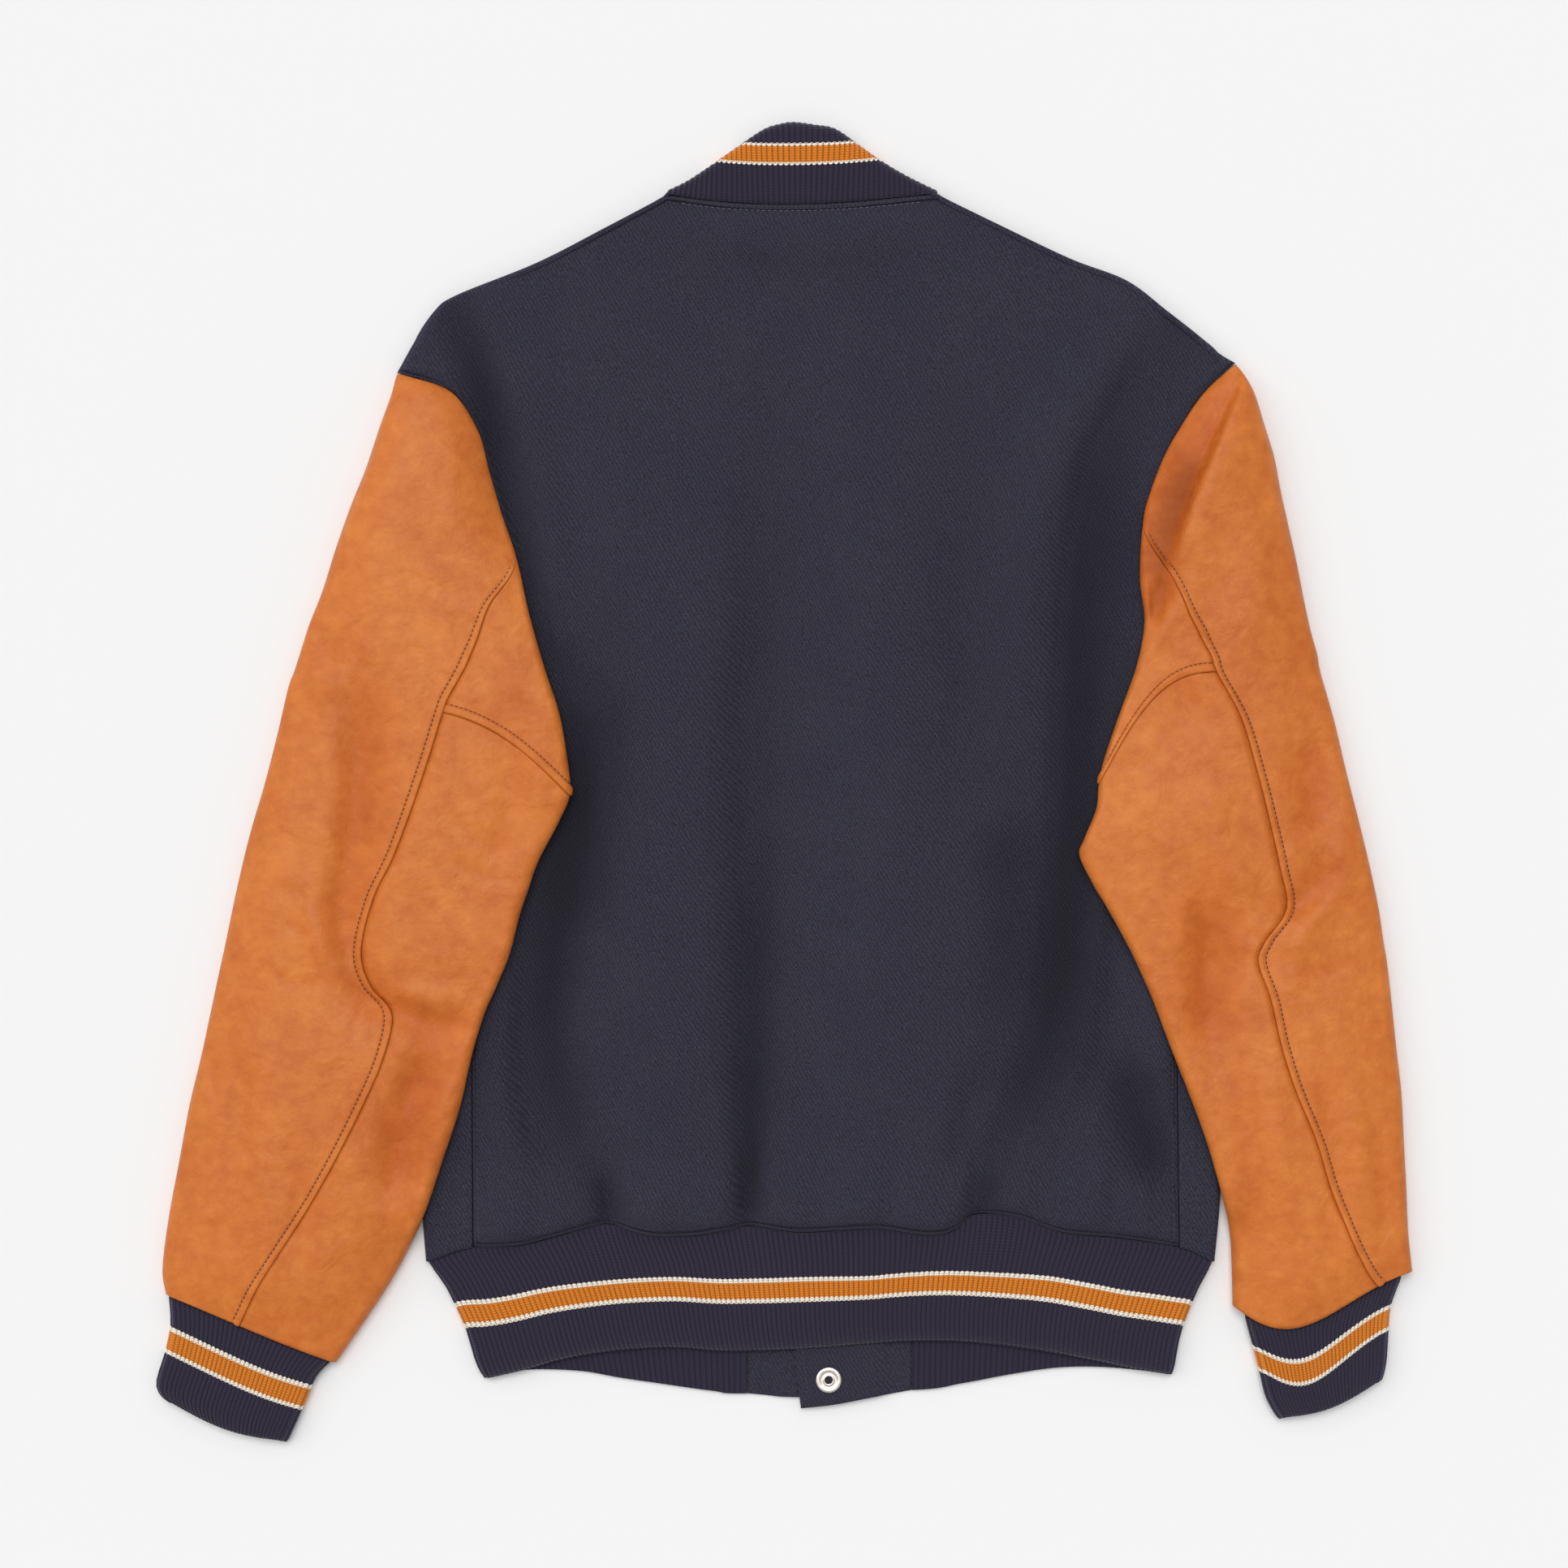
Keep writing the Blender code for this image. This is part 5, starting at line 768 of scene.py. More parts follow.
# %% [markdown]
# ## Cutting the leather
# Each sleeve has three pieces of cowhide: a top sleeve that goes round the outer fold, and two
# under sleeves that a cross seam joins at the elbow.  The edge of one piece is folded over and
# sewn down on its neighbour, which leaves a rounded ridge, a groove along the stitches, and a step.

# %% Profile of a lapped seam
RIDGE = 4.2                # width of the lapped seam down the sleeve
CROSS_RIDGE = 7.2          # and of the one across it
LAP_GAP = 0.2              # between the lapped edge and the piece below it
STITCH_GROOVE = 0.42       # how deep the stitches draw the leather down
LAP_STEPS = np.array((11.0, 8.5, 7.0, 6.2, 5.7, 5.3, 4.9, 4.5, 3.8, 2.9, 2.0, 1.2, 0.6, 0.25, 0.0))


def lap_lift(apart, width):
    """Height of the leather at a distance from its lapped edge."""
    rim = quarter(apart / 1.1) * 0.85 + 0.35
    far = smoothstep((width - apart) / 1.6)
    groove = -STITCH_GROOVE * np.exp(-((apart - width - 0.5) / 0.8) ** 2)
    return 1.05 * np.minimum(rim, 1.2) * far + groove * (apart > 0.8 * width)


def ridge_width(section):
    """The long seam's ridge grows from the point where it leaves the armhole."""
    return RIDGE * (0.55 + 0.45 * smoothstep((section - FORK) / 3.0))


def cut_leather(name, sleeve, v, a, lift, cells=None):
    """A leather wall between its outer face, raised by the lap, and a face one thickness inside."""
    outer = sleeve.point(v, a)
    normal = sleeve.normal(v, a)
    outer = outer + normal * lift[..., None]
    on_top = smoothstep(a * 20.0) * smoothstep((1.3 - a) * 10.0)
    # Painted shade on the upper sheet: how much the leather's colour is darkened, from its creases and its shade
    # table.
    painted_shade_mask = painted_shade_amount(sleeve.creases + sleeve.shade, outer[..., 0], outer[..., 1]) * on_top
    cloth_wall(name, leather, outer, outer - normal * LEATHER, (name,), "leather", cells, painted_shade_mask=painted_shade_mask)


def fine_sections(sleeve, first, last, step=3.0):
    """Section numbers a few millimetres apart."""
    middle = 0.5 * (sleeve.rows[:, 0:2] + sleeve.rows[:, 2:4])
    run = np.maximum(np.linalg.norm(np.diff(sleeve.rows[:, 0:2], axis=0), axis=1),
                     np.linalg.norm(np.diff(middle, axis=0), axis=1))
    parts = [i + np.arange(n) / n for i, n in enumerate(np.ceil(run / step).astype(int)) if first <= i < last]
    return np.append(np.concatenate(parts), last)

# %% [markdown]
# The top sleeve goes from the front seam, under the sleeve, round the outer fold to the back seam.
# Above the fork the back seam hasn't left the armhole yet, so there the leather turns down into the
# armhole instead of ending in a lap.  The two ways are blended just above the fork.

# %% The top sleeves
def top_sleeve(side, sleeve):
    """The top sleeve, with its grid lines closer together by the lapped edge."""
    v = fine_sections(sleeve, 0, sleeve.last)
    floor_share = np.concatenate([np.linspace(1.0, 0.25, 8)[:-1], np.linspace(0.25, 0.0, 8)])
    upper_share = np.linspace(0.0, 1.0, 44)[1:-1]
    lap_share = np.linspace(0.0, 1.0, len(LAP_STEPS))
    row = sleeve.section(v)
    width = np.linalg.norm(row[:, 2:4] - row[:, 0:2], axis=1)
    seam = sleeve.seam_share(v)
    places, lifts = [], []
    for section, wide, share in zip(v, width, seam):
        apart = LAP_STEPS + LAP_GAP / 2
        high = np.arccos(1.0 - 2.0 * np.clip(share - apart / wide, 0.05, 0.999)) / np.pi
        if section < FORK:
            begin = np.arccos(1.0 - 2.0 * max(share - apart[0] / wide, 0.3)) / np.pi
            turned = np.where(lap_share < 0.5, begin + (1.0 - begin) * 2.0 * lap_share, 2.0 * lap_share)
            near_fork = smoothstep((section - FORK + 1.2) / 1.2)
            low, high = -1.0, turned * (1.0 - near_fork) + high * near_fork
            lift = np.zeros(len(LAP_STEPS))
        else:
            low = sleeve.step_round(section, sleeve.front_seam(section), SEAM_GAP / 2)
            lift = lap_lift(LAP_STEPS, ridge_width(section)) * smoothstep((section - FORK) * 1.6)
        places.append(np.concatenate([low * floor_share, high[0] * upper_share, high]))
        lifts.append(np.concatenate([np.zeros(len(floor_share) + len(upper_share)), lift]))
    places = np.array(places)
    cut_leather("top_sleeve_" + side, sleeve, v[:, None] + 0 * places, places, np.array(lifts))


for side, sleeve in (("left", left_sleeve), ("right", right_sleeve)):
    top_sleeve(side, sleeve)

# %% [markdown]
# The under sleeves start just below the lapped edge, go round the inner fold and end at the front
# seam, under the sleeve.  Above the underarm they leave the sleeve open, because there the armhole
# is sewn to the body.

# %% The under sleeves
TURNED = np.array((1.08, 1.18, 1.3, 1.45, 1.6, 1.8, 2.0))
UPPER_COLUMNS = 30


def under_places(sleeve, v):
    """Places round a section, from the back seam round the inner fold to the front seam."""
    width = np.linalg.norm(sleeve.section(v)[2:4] - sleeve.section(v)[0:2])
    start = np.arccos(1.0 - 2.0 * min(sleeve.seam_share(v) + LAP_GAP / 2 / width, 0.999)) / np.pi
    end = sleeve.step_round(v, sleeve.front_seam(v), -SEAM_GAP / 2)
    upper = start + (1.0 - start) * np.linspace(0.0, 1.0, UPPER_COLUMNS)
    return np.concatenate([upper, TURNED, [2.5], -1.0 + (end + 1.0) * np.linspace(0.0, 1.0, 10)])


def under_sleeve(name, sleeve, first, last, lapped):
    """An under sleeve from one section to another.  The upper one laps the lower one."""
    v = fine_sections(sleeve, first, last)
    places = np.array([under_places(sleeve, section) for section in v])
    sections = v[:, None] + 0 * places
    lift = np.zeros_like(sections)
    border = last if lapped else first
    middle = sleeve.point(np.array([border - 0.25, border + 0.25])[:, None], places[-1 if lapped else 0][None])
    speed = np.linalg.norm(middle[1] - middle[0], axis=-1) / 0.5
    if lapped:
        near = LAP_STEPS * CROSS_RIDGE / RIDGE
        keep = v < border - (near[0] + 2.0) / speed.min()
        lap = border - (near[:, None] + LAP_GAP / 2) / speed
        lap_places = np.array([under_places(sleeve, s) for s in lap[:, 0]])
        sections = np.concatenate([sections[keep], lap])
        places = np.concatenate([places[keep], lap_places])
        on_top = (np.arange(places.shape[1]) < UPPER_COLUMNS + 3).astype(float)
        lift = np.concatenate([lift[keep], lap_lift(near, CROSS_RIDGE)[:, None] * on_top])
    else:
        sections[0] += (LAP_GAP / 2) / speed
    cells = np.ones((len(sections) - 1, places.shape[1] - 1), bool)
    if lapped:
        opened = sections[1:, 0] < sleeve.underarm
        step = UPPER_COLUMNS + len(TURNED)
        cells[opened, step - 1:step + 1] = False
    cut_leather(name, sleeve, sections, places, lift, cells)


for side, sleeve in (("left", left_sleeve), ("right", right_sleeve)):
    cross = sleeve.underarm + 1
    under_sleeve("under_sleeve_upper_" + side, sleeve, FORK, cross, True)
    under_sleeve("under_sleeve_lower_" + side, sleeve, cross, sleeve.last, False)

# %% [markdown]
# ## The wool body
# The back is one piece of melton between the two armholes.  Below the underarms the fronts wrap
# round to the back, so the side seams lie about 28 mm in from the outline.

# %% Measured edges of the body
# The back's top edge: left shoulder to the neck, along the neck seam, and down the right shoulder.
BACK_TOP_LINE = (
    (-223.0, 244.0), (-219.5, 262.5), (-207.5, 281.0), (-194.0, 290.5), (-147.0, 309.5),
    (-107.0, 330.0), (-70.0, 349.5), (-45.0, 345.8), (-20.0, 343.9), (5.0, 343.5), (30.0, 344.3),
    (58.0, 346.5), (91.0, 350.0), (128.0, 332.0), (170.0, 312.0), (203.5, 299.0), (227.5, 281.0),
    (246.0, 266.5), (258.0, 256.0), (262.0, 248.0))
NECK_COLUMNS = (6, 12)
# The seam of the back and the hem band, a point for each point of the top edge.
BACK_HEM_SEAM = (
    (-184.0, -274.5), (-157.0, -273.5), (-134.5, -268.0), (-112.5, -262.0), (-101.5, -261.5),
    (-80.5, -267.5), (-58.0, -268.0), (-36.0, -265.0), (-19.0, -262.2), (7.5, -265.5), (31.0, -264.6),
    (54.5, -263.5), (86.0, -267.5), (102.0, -264.0), (112.0, -255.5), (137.0, -256.5),
    (164.0, -265.5), (193.5, -268.5), (214.0, -271.0), (234.0, -274.5))
# Where the fronts wrap round to the back, the same seam runs on to the side folds.
LEFT_WRAP_HEM = ((-212.5, -283.5), (-198.2, -278.0), (-184.0, -274.5))
RIGHT_WRAP_HEM = ((234.0, -274.5), (244.8, -277.8), (255.5, -283.5))
BACK_HEM_EDGE = (
    (-178.5, -353.0), (-153.5, -347.5), (-134.5, -342.0), (-115.5, -338.0), (-93.0, -335.0),
    (-64.5, -334.0), (-34.0, -336.0), (16.5, -334.5), (66.0, -330.5), (105.5, -330.5), (144.5, -334.5),
    (184.0, -342.0), (205.5, -346.5), (231.0, -350.5))
SIDE_ROWS_Y = (-60, -108, -156, -200, -240)
EDGE_REACH = 140.0        # how far in a bend of the armhole moves the cloth's grid lines
SIDE_SEAM_X = ((-186.0, -184.0), (231.0, 234.0))      # at the underarm and at the hem
# Hidden armhole edge of the back under each sleeve, from the fork to the underarm.
LEFT_BACK_ARMHOLE = ((-156.0, 100.0), (-157.0, 66.0), (-166.0, 29.0), (-186.0, -18.0))
RIGHT_BACK_ARMHOLE = ((213.0, 118.0), (217.0, 85.0), (221.0, 40.0), (231.0, -18.0))
WOOL = 2.0                 # thickness of the melton
BACK_TOP = 7.8             # the back's outer face over the table, so the layers lie on each other
FOLD_RADIUS = 3.9          # side folds
ARMHOLE_GAP = 0.3

# %% [markdown]
# The cloth's grid follows its edges: each row starts and ends on an armhole or a side seam, and each
# column runs from the shoulder to the hem.  Rows and columns are 4 mm apart, and close together by
# the edges, where the cloth rolls down into its seams.

# %% A grid between four edges
STEP = 3.8
LIP_STEPS = (0.25, 0.6, 1.1, 1.7, 2.5)


def fine_line(line, places, corners=()):
    """A line at places between its points, smooth but for its corners."""
    line = np.asarray(line, float)
    breaks = [0, *corners, len(line) - 1]
    out = np.zeros((len(places), line.shape[1]))
    for start, end in zip(breaks, breaks[1:]):
        here = (places >= start) & (places <= end)
        out[here] = smooth_rows(line[start:end + 1], places[here] - start)
    return out


def line_places(first, second, step=STEP):
    """Places about a step apart along two lines with the same number of points."""
    run = np.maximum(np.linalg.norm(np.diff(first, axis=0), axis=1), np.linalg.norm(np.diff(second, axis=0), axis=1))
    parts = [i + np.arange(n) / n for i, n in enumerate(np.ceil(run / step).astype(int))]
    return np.append(np.concatenate(parts), len(run))


def spread(first, second, top, bottom):
    """Plan points between two edges, one row for each of their points, and a top and bottom line."""
    share = (bottom[:, 0] - bottom[0, 0]) / (bottom[-1, 0] - bottom[0, 0])
    down_first = (first[0, 1] - first[:, 1]) / (first[0, 1] - first[-1, 1])
    down_second = (second[0, 1] - second[:, 1]) / (second[0, 1] - second[-1, 1])
    down = down_first[:, None] * (1.0 - share) + down_second[:, None] * share
    plan = top[None] * (1.0 - down[..., None]) + bottom[None] * down[..., None]
    reach_first = np.clip(1.0 - np.abs(plan[..., 0] - plan[:, :1, 0]) / EDGE_REACH, 0.0, 1.0)[..., None]
    reach_second = np.clip(1.0 - np.abs(plan[..., 0] - plan[:, -1:, 0]) / EDGE_REACH, 0.0, 1.0)[..., None]
    return plan + (first - plan[:, 0])[:, None] * reach_first + (second - plan[:, -1])[:, None] * reach_second


def add_lips(grid, axis):
    """Put lines close to the first line of a grid."""
    lines = np.moveaxis(grid, axis, 0)
    step = lines[1] - lines[0]
    step = step / np.linalg.norm(step, axis=-1, keepdims=True)
    lips = np.array([lines[0] + step * inset for inset in (0.0,) + LIP_STEPS])
    return np.moveaxis(np.concatenate([lips, lines[1:]]), 0, axis)


def way_in(grid, axis):
    """How far each point lies from the first line of the grid, along its own line."""
    lines = np.moveaxis(grid[..., :2], axis, 0)
    run = np.linalg.norm(np.diff(lines, axis=0), axis=-1)
    return np.moveaxis(np.concatenate([np.zeros_like(run[:1]), np.cumsum(run, axis=0)]), 0, axis)


def offset_line(line, distance):
    """A line moved sideways, to its left for a positive distance."""
    step = np.gradient(np.asarray(line, float), axis=0)
    step /= np.linalg.norm(step, axis=1, keepdims=True)
    return line + distance * np.stack([-step[:, 1], step[:, 0]], 1)

# %% [markdown]
# ## Folds of the back
# Melton is thick and springy, so its folds are broad.  Deep valleys run down from both shoulders
# where the sleeves pull, and the knitted hem gathers the cloth into low puffs just above it.

# %% Folds of the back
BACK_CREASES = (
    (-9.0, 15, 10, ((-203, 288), (-188, 248), (-177, 208), (-167, 160), (-160, 120), (-150, 84))),
    (6.0, 14, 18, ((-176, 276), (-158, 228), (-146, 184), (-139, 140), (-130, 90))),
    (-9.0, 12, 26, ((-134, 70), (-127, 30), (-124, 0), (-129, -40), (-138, -100), (-141, -150), (-128, -205),
                    (-103, -259))),
    (6.0, 12, 12, ((-160, -90), (-164, -130), (-166, -190), (-150, -244))),
    (7.0, 30, 30, ((-104, 250), (-94, 150), (-84, 60), (-86, -40), (-88, -130), (-82, -200), (-74, -250))),
    (-5.0, 18, 14, ((-12, 240), (-16, 150), (-19, 60), (-19, -30), (-19, -110), (-20, -180), (-22, -262))),
    (-5.0, 8, 8, ((-20, -150), (-21, -220), (-22, -260))),
    (7.0, 26, 34, ((-52, 180), (-52, 60), (-54, -60), (-52, -160), (-50, -250))),
    (8.5, 36, 30, ((40, 240), (52, 120), (60, 0), (62, -120), (60, -200), (54, -250))),
    (-11.0, 26, 10, ((231, 275), (214, 250), (198, 218), (184, 180), (177, 130), (173, 81), (171, 30), (170, -17),
                     (166, -70), (163, -113), (150, -161), (132, -205), (112, -257))),
    (6.0, 16, 18, ((204, 276), (172, 222), (152, 170), (140, 110), (134, 50), (130, -10))),
    (7.0, 9, 14, ((192, 80), (190, 20), (188, -40), (183, -100), (174, -160), (152, -216), (142, -246))),
    (-5.6, 12, 10, ((200, -165), (212, -205), (226, -245))),
    (5.0, 12, 12, ((178, -190), (184, -220), (190, -250))),
    (3.0, 10, 12, ((212, -100), (220, -150), (230, -190))),
    (-2.4, 22, 22, ((98, 240), (106, 160), (108, 60), (112, -30))),
    (-3.4, 12, 10, ((122, -160), (108, -200), (98, -246))),
    (2.0, 22, 14, ((-60, 330), (10, 322), (84, 330))),
    (-1.6, 10, 14, ((-70, 312), (10, 302), (92, 310))))
# Painted shade on the back: places whose colour is darkened more than their folds alone would make it, in the same
# form as creases.
BACK_SHADE = (
    (-5.0, 16, 10, ((-196, 270), (-177, 208), (-160, 120), (-134, 70), (-126, 10), (-138, -90), (-138, -160),
                    (-118, -225), (-103, -259))),
    (-6.0, 9, 8, ((-200, 292), (-186, 254), (-176, 225), (-168, 180))),
    (-9.0, 16, 18, ((-104, 90), (-106, 40), (-104, 0), (-116, -50), (-126, -110))),
    (-5.0, 26, 12, ((214, 250), (184, 180), (173, 81), (170, -17), (163, -113), (140, -190), (112, -257))),
    (-10.0, 22, 20, ((136, 0), (134, -50), (136, -100), (126, -160))),
    (-9.0, 18, 14, ((196, -150), (208, -200), (222, -245))),
    (-8.0, 12, 11, ((-17, -40), (-18, -120), (-19, -190), (-21, -250))),
    (-9.0, 6, 6, ((-20, -205), (-21, -240), (-22, -266))),
    (-8.0, 7, 7, ((-112, -225), (-105, -250), (-102, -266))),
    (-8.0, 7, 7, ((124, -225), (117, -250), (114, -268))))
HEM_VALLEYS = ((-180, 0.4, 7), (-146, 0.5, 8), (-103, 1.0, 8), (-62, 0.45, 9), (-21, 1.0, 6.5), (20, 0.4, 9),
               (62, 0.5, 9), (115, 1.0, 8), (152, 0.5, 8), (196, 0.7, 9), (226, 0.5, 7))
BACK_LOWEST = 4.4          # no valley reaches further down, where the fronts lie
CENTRE_LINE = ((11.5, 245.0), (24.0, -297.0))
PLACKET_HALF = 23.0        # each front passes the closing's middle line by this much


def centre_x(y):
    """The front closing's middle line under the back."""
    (x0, y0), (x1, y1) = CENTRE_LINE
    return x0 + (x1 - x0) * (y0 - np.asarray(y, float)) / (y0 - y1)


def placket_rise(x, y):
    """How much higher the cloth lies over the two layers of the front closing."""
    return 1.0 * smoothstep((PLACKET_HALF + 22.0 - np.abs(x - centre_x(y))) / 16.0)


def back_fold_height(x, y):
    """Folds, and the puffs over the hem seam with the valleys between them."""
    above = y - line_at(BACK_HEM_SEAM, np.clip(x, -183.9, 233.9))
    puff = 6.0 * smoothstep((above + 3.0) / 11.0) * (1.0 - smoothstep((above - 12.0) / 40.0))
    valley = sum(depth * np.exp(-((x - middle) / wide) ** 2) for middle, depth, wide in HEM_VALLEYS)
    fade = smoothstep((above + 1.0) / 16.0)
    return crease_height(BACK_CREASES, x, y) * (0.35 + 0.65 * fade) + puff * (1.0 - valley)

# %% [markdown]
# The back's edges end low where they are sewn.  At a shoulder the wool rolls over to the front, at
# the neck it goes under the collar, and at an armhole it dips into the seam with the leather.

# %% The back
SHOULDER_TIPS = ((-229.8, 243.9), (268.0, 249.9))
NECK = ((-78.0, 0.0), (-66.0, 1.0), (87.0, 1.0), (99.0, 0.0))    # x along the top edge: 1 is under the collar
SHOULDER_ROLL, NECK_ROLL, HEM_ROLL, ARMHOLE_DIP = 4.4, 0.8, 2.4, 0.6


def side_edge(armhole, hidden, side, hem_y):
    """The back's long edge: armhole seam, hidden armhole edge, side seam."""
    ys = np.array(SIDE_ROWS_Y + (hem_y,), float)
    seam_x = np.interp(-ys, (18.0, -hem_y), SIDE_SEAM_X[side])
    return np.concatenate([armhole, np.array(hidden), np.stack([seam_x, ys], 1)])


def make_back():
    """The back's outer face, its normals, and each point's way in from the top edge."""
    left_armhole = offset_line(left_sleeve.rows[:FORK + 1, 2:4], ARMHOLE_GAP)
    right_armhole = offset_line(right_sleeve.rows[:FORK + 1, 2:4], -ARMHOLE_GAP)
    top, hem = np.array(BACK_TOP_LINE), np.array(BACK_HEM_SEAM)
    top[0] = left_armhole[0] = SHOULDER_TIPS[0]
    top[-1] = right_armhole[0] = SHOULDER_TIPS[1]
    left_edge = side_edge(left_armhole, LEFT_BACK_ARMHOLE, 0, hem[0, 1])
    right_edge = side_edge(right_armhole, RIGHT_BACK_ARMHOLE, 1, hem[-1, 1])
    rows, columns = line_places(left_edge, right_edge), line_places(top, hem)
    top_line = fine_line(top, columns, NECK_COLUMNS)
    plan = spread(fine_line(left_edge, rows), fine_line(right_edge, rows), top_line, fine_line(hem, columns))
    armhole_rows = int((rows < FORK + len(LEFT_BACK_ARMHOLE)).sum()) + len(LIP_STEPS)
    grid = add_lips(add_lips(plan, 0), 1)
    grid = add_lips(grid[:, ::-1], 1)[:, ::-1]
    grid = add_lips(grid[::-1], 0)[::-1]
    x, y = grid[..., 0], grid[..., 1]
    z = BACK_TOP + back_fold_height(x, y) + placket_rise(x, y)
    z = BACK_LOWEST + np.log1p(np.exp((z - BACK_LOWEST) / 0.7)) * 0.7
    left_in, right_in = way_in(grid, 1), way_in(grid[:, ::-1], 1)[:, ::-1]
    side_in = np.minimum(left_in, right_in)
    in_armhole = (np.arange(grid.shape[0]) < armhole_rows)[:, None]
    z = BACK_TOP + (z - BACK_TOP) * smoothstep((side_in - 1.0) / np.where(in_armhole, 9.0, 6.0))
    z -= ARMHOLE_DIP * (1.0 - smoothstep(side_in / 2.4)) ** 1.5
    neck = np.interp(x[0], *zip(*NECK))
    top_in = way_in(grid, 0)
    roll = SHOULDER_ROLL * (1.0 - neck) + NECK_ROLL * neck
    rolled = BACK_TOP - roll * (1.0 - quarter(top_in / 4.2))
    z = rolled + (z - BACK_TOP) * smoothstep(top_in / 16.0)
    hem_in = way_in(grid[::-1], 0)[::-1]
    z -= HEM_ROLL * (1.0 - quarter(hem_in / 5.0))
    outer = np.concatenate([grid, z[..., None]], -1)
    normal = grid_normals(outer, -1.0)
    at_tip = sum(np.exp(-np.sum((grid - tip) ** 2, -1) / 7.0 ** 2) for tip in SHOULDER_TIPS)[..., None]
    normal = normal * (1.0 - at_tip) + np.array((0.0, 0.0, 0.5)) * at_tip
    return outer, normal, top_in


back_outer, back_normal, back_top_in = make_back()
# Painted shade on the back: how much the wool's colour is darkened, from its folds and its shade table.
back_painted_shade = painted_shade_amount(BACK_CREASES + BACK_SHADE, back_outer[..., 0], back_outer[..., 1])
cloth_wall("back_panel", wool, back_outer, back_outer - back_normal * WOOL, ("back_panel",), "wool",
           painted_shade_mask=back_painted_shade)

# %% [markdown]
# ## The fronts
# The fronts lie under the back.  Little of them shows, but they are cloth too: each one is flat on
# the table, laps over the other by 46 mm at the closing, and wraps round the side fold.

# %% The fronts
# Top edges of the fronts: the shoulder, the neckline and then the placket.
LEFT_FRONT_TOP = (
    (-223.0, 244.0), (-219.5, 262.5), (-207.5, 281.0), (-194.0, 290.5), (-147.0, 309.5),
    (-107.0, 330.0), (-70.0, 349.5), (-69.0, 324.0), (-60.5, 295.0), (-43.5, 266.5), (-25.5, 252.0),
    (-13.5, 248.0), (6.0, 245.3), (34.5, 245.0))
RIGHT_FRONT_TOP = (
    (262.0, 248.0), (258.0, 256.0), (246.0, 266.5), (227.5, 281.0), (203.5, 299.0), (170.0, 312.0),
    (128.0, 332.0), (91.0, 350.0), (89.5, 324.0), (80.5, 295.0), (66.0, 270.0), (52.5, 258.0),
    (38.5, 250.5), (14.0, 245.3), (-11.5, 245.0))
LEFT_SHOULDER_COLUMNS = 7
RIGHT_SHOULDER_COLUMNS = 8
PLACKET_COLUMNS = 4       # the last columns of a front run along the centre line
FRONT_HEM_SEAM = (
    (-212.5, -283.5), (-153.5, -280.0), (-98.0, -285.0), (-42.0, -293.0), (5.5, -297.0),
    (47.0, -298.0), (76.0, -293.0), (135.0, -283.0), (193.5, -279.0), (255.5, -283.5))
CAP_LIFT = 1.1             # left front over the table, above its snap caps
RIGHT_LIFT = 3.4           # right front, on top of the left one
FRONT_STEP = 5.0
UNDERARM_Y = -18.0         # where the armhole ends and the side fold starts


def front_height(side, x, y):
    """Height of a front's lower face, which is raised where the closing laps."""
    past = x - centre_x(y)
    if side == "left":
        return CAP_LIFT * smoothstep((past + PLACKET_HALF + 14.0) / 12.0)
    return RIGHT_LIFT * smoothstep((PLACKET_HALF + 18.0 - past) / 14.0)


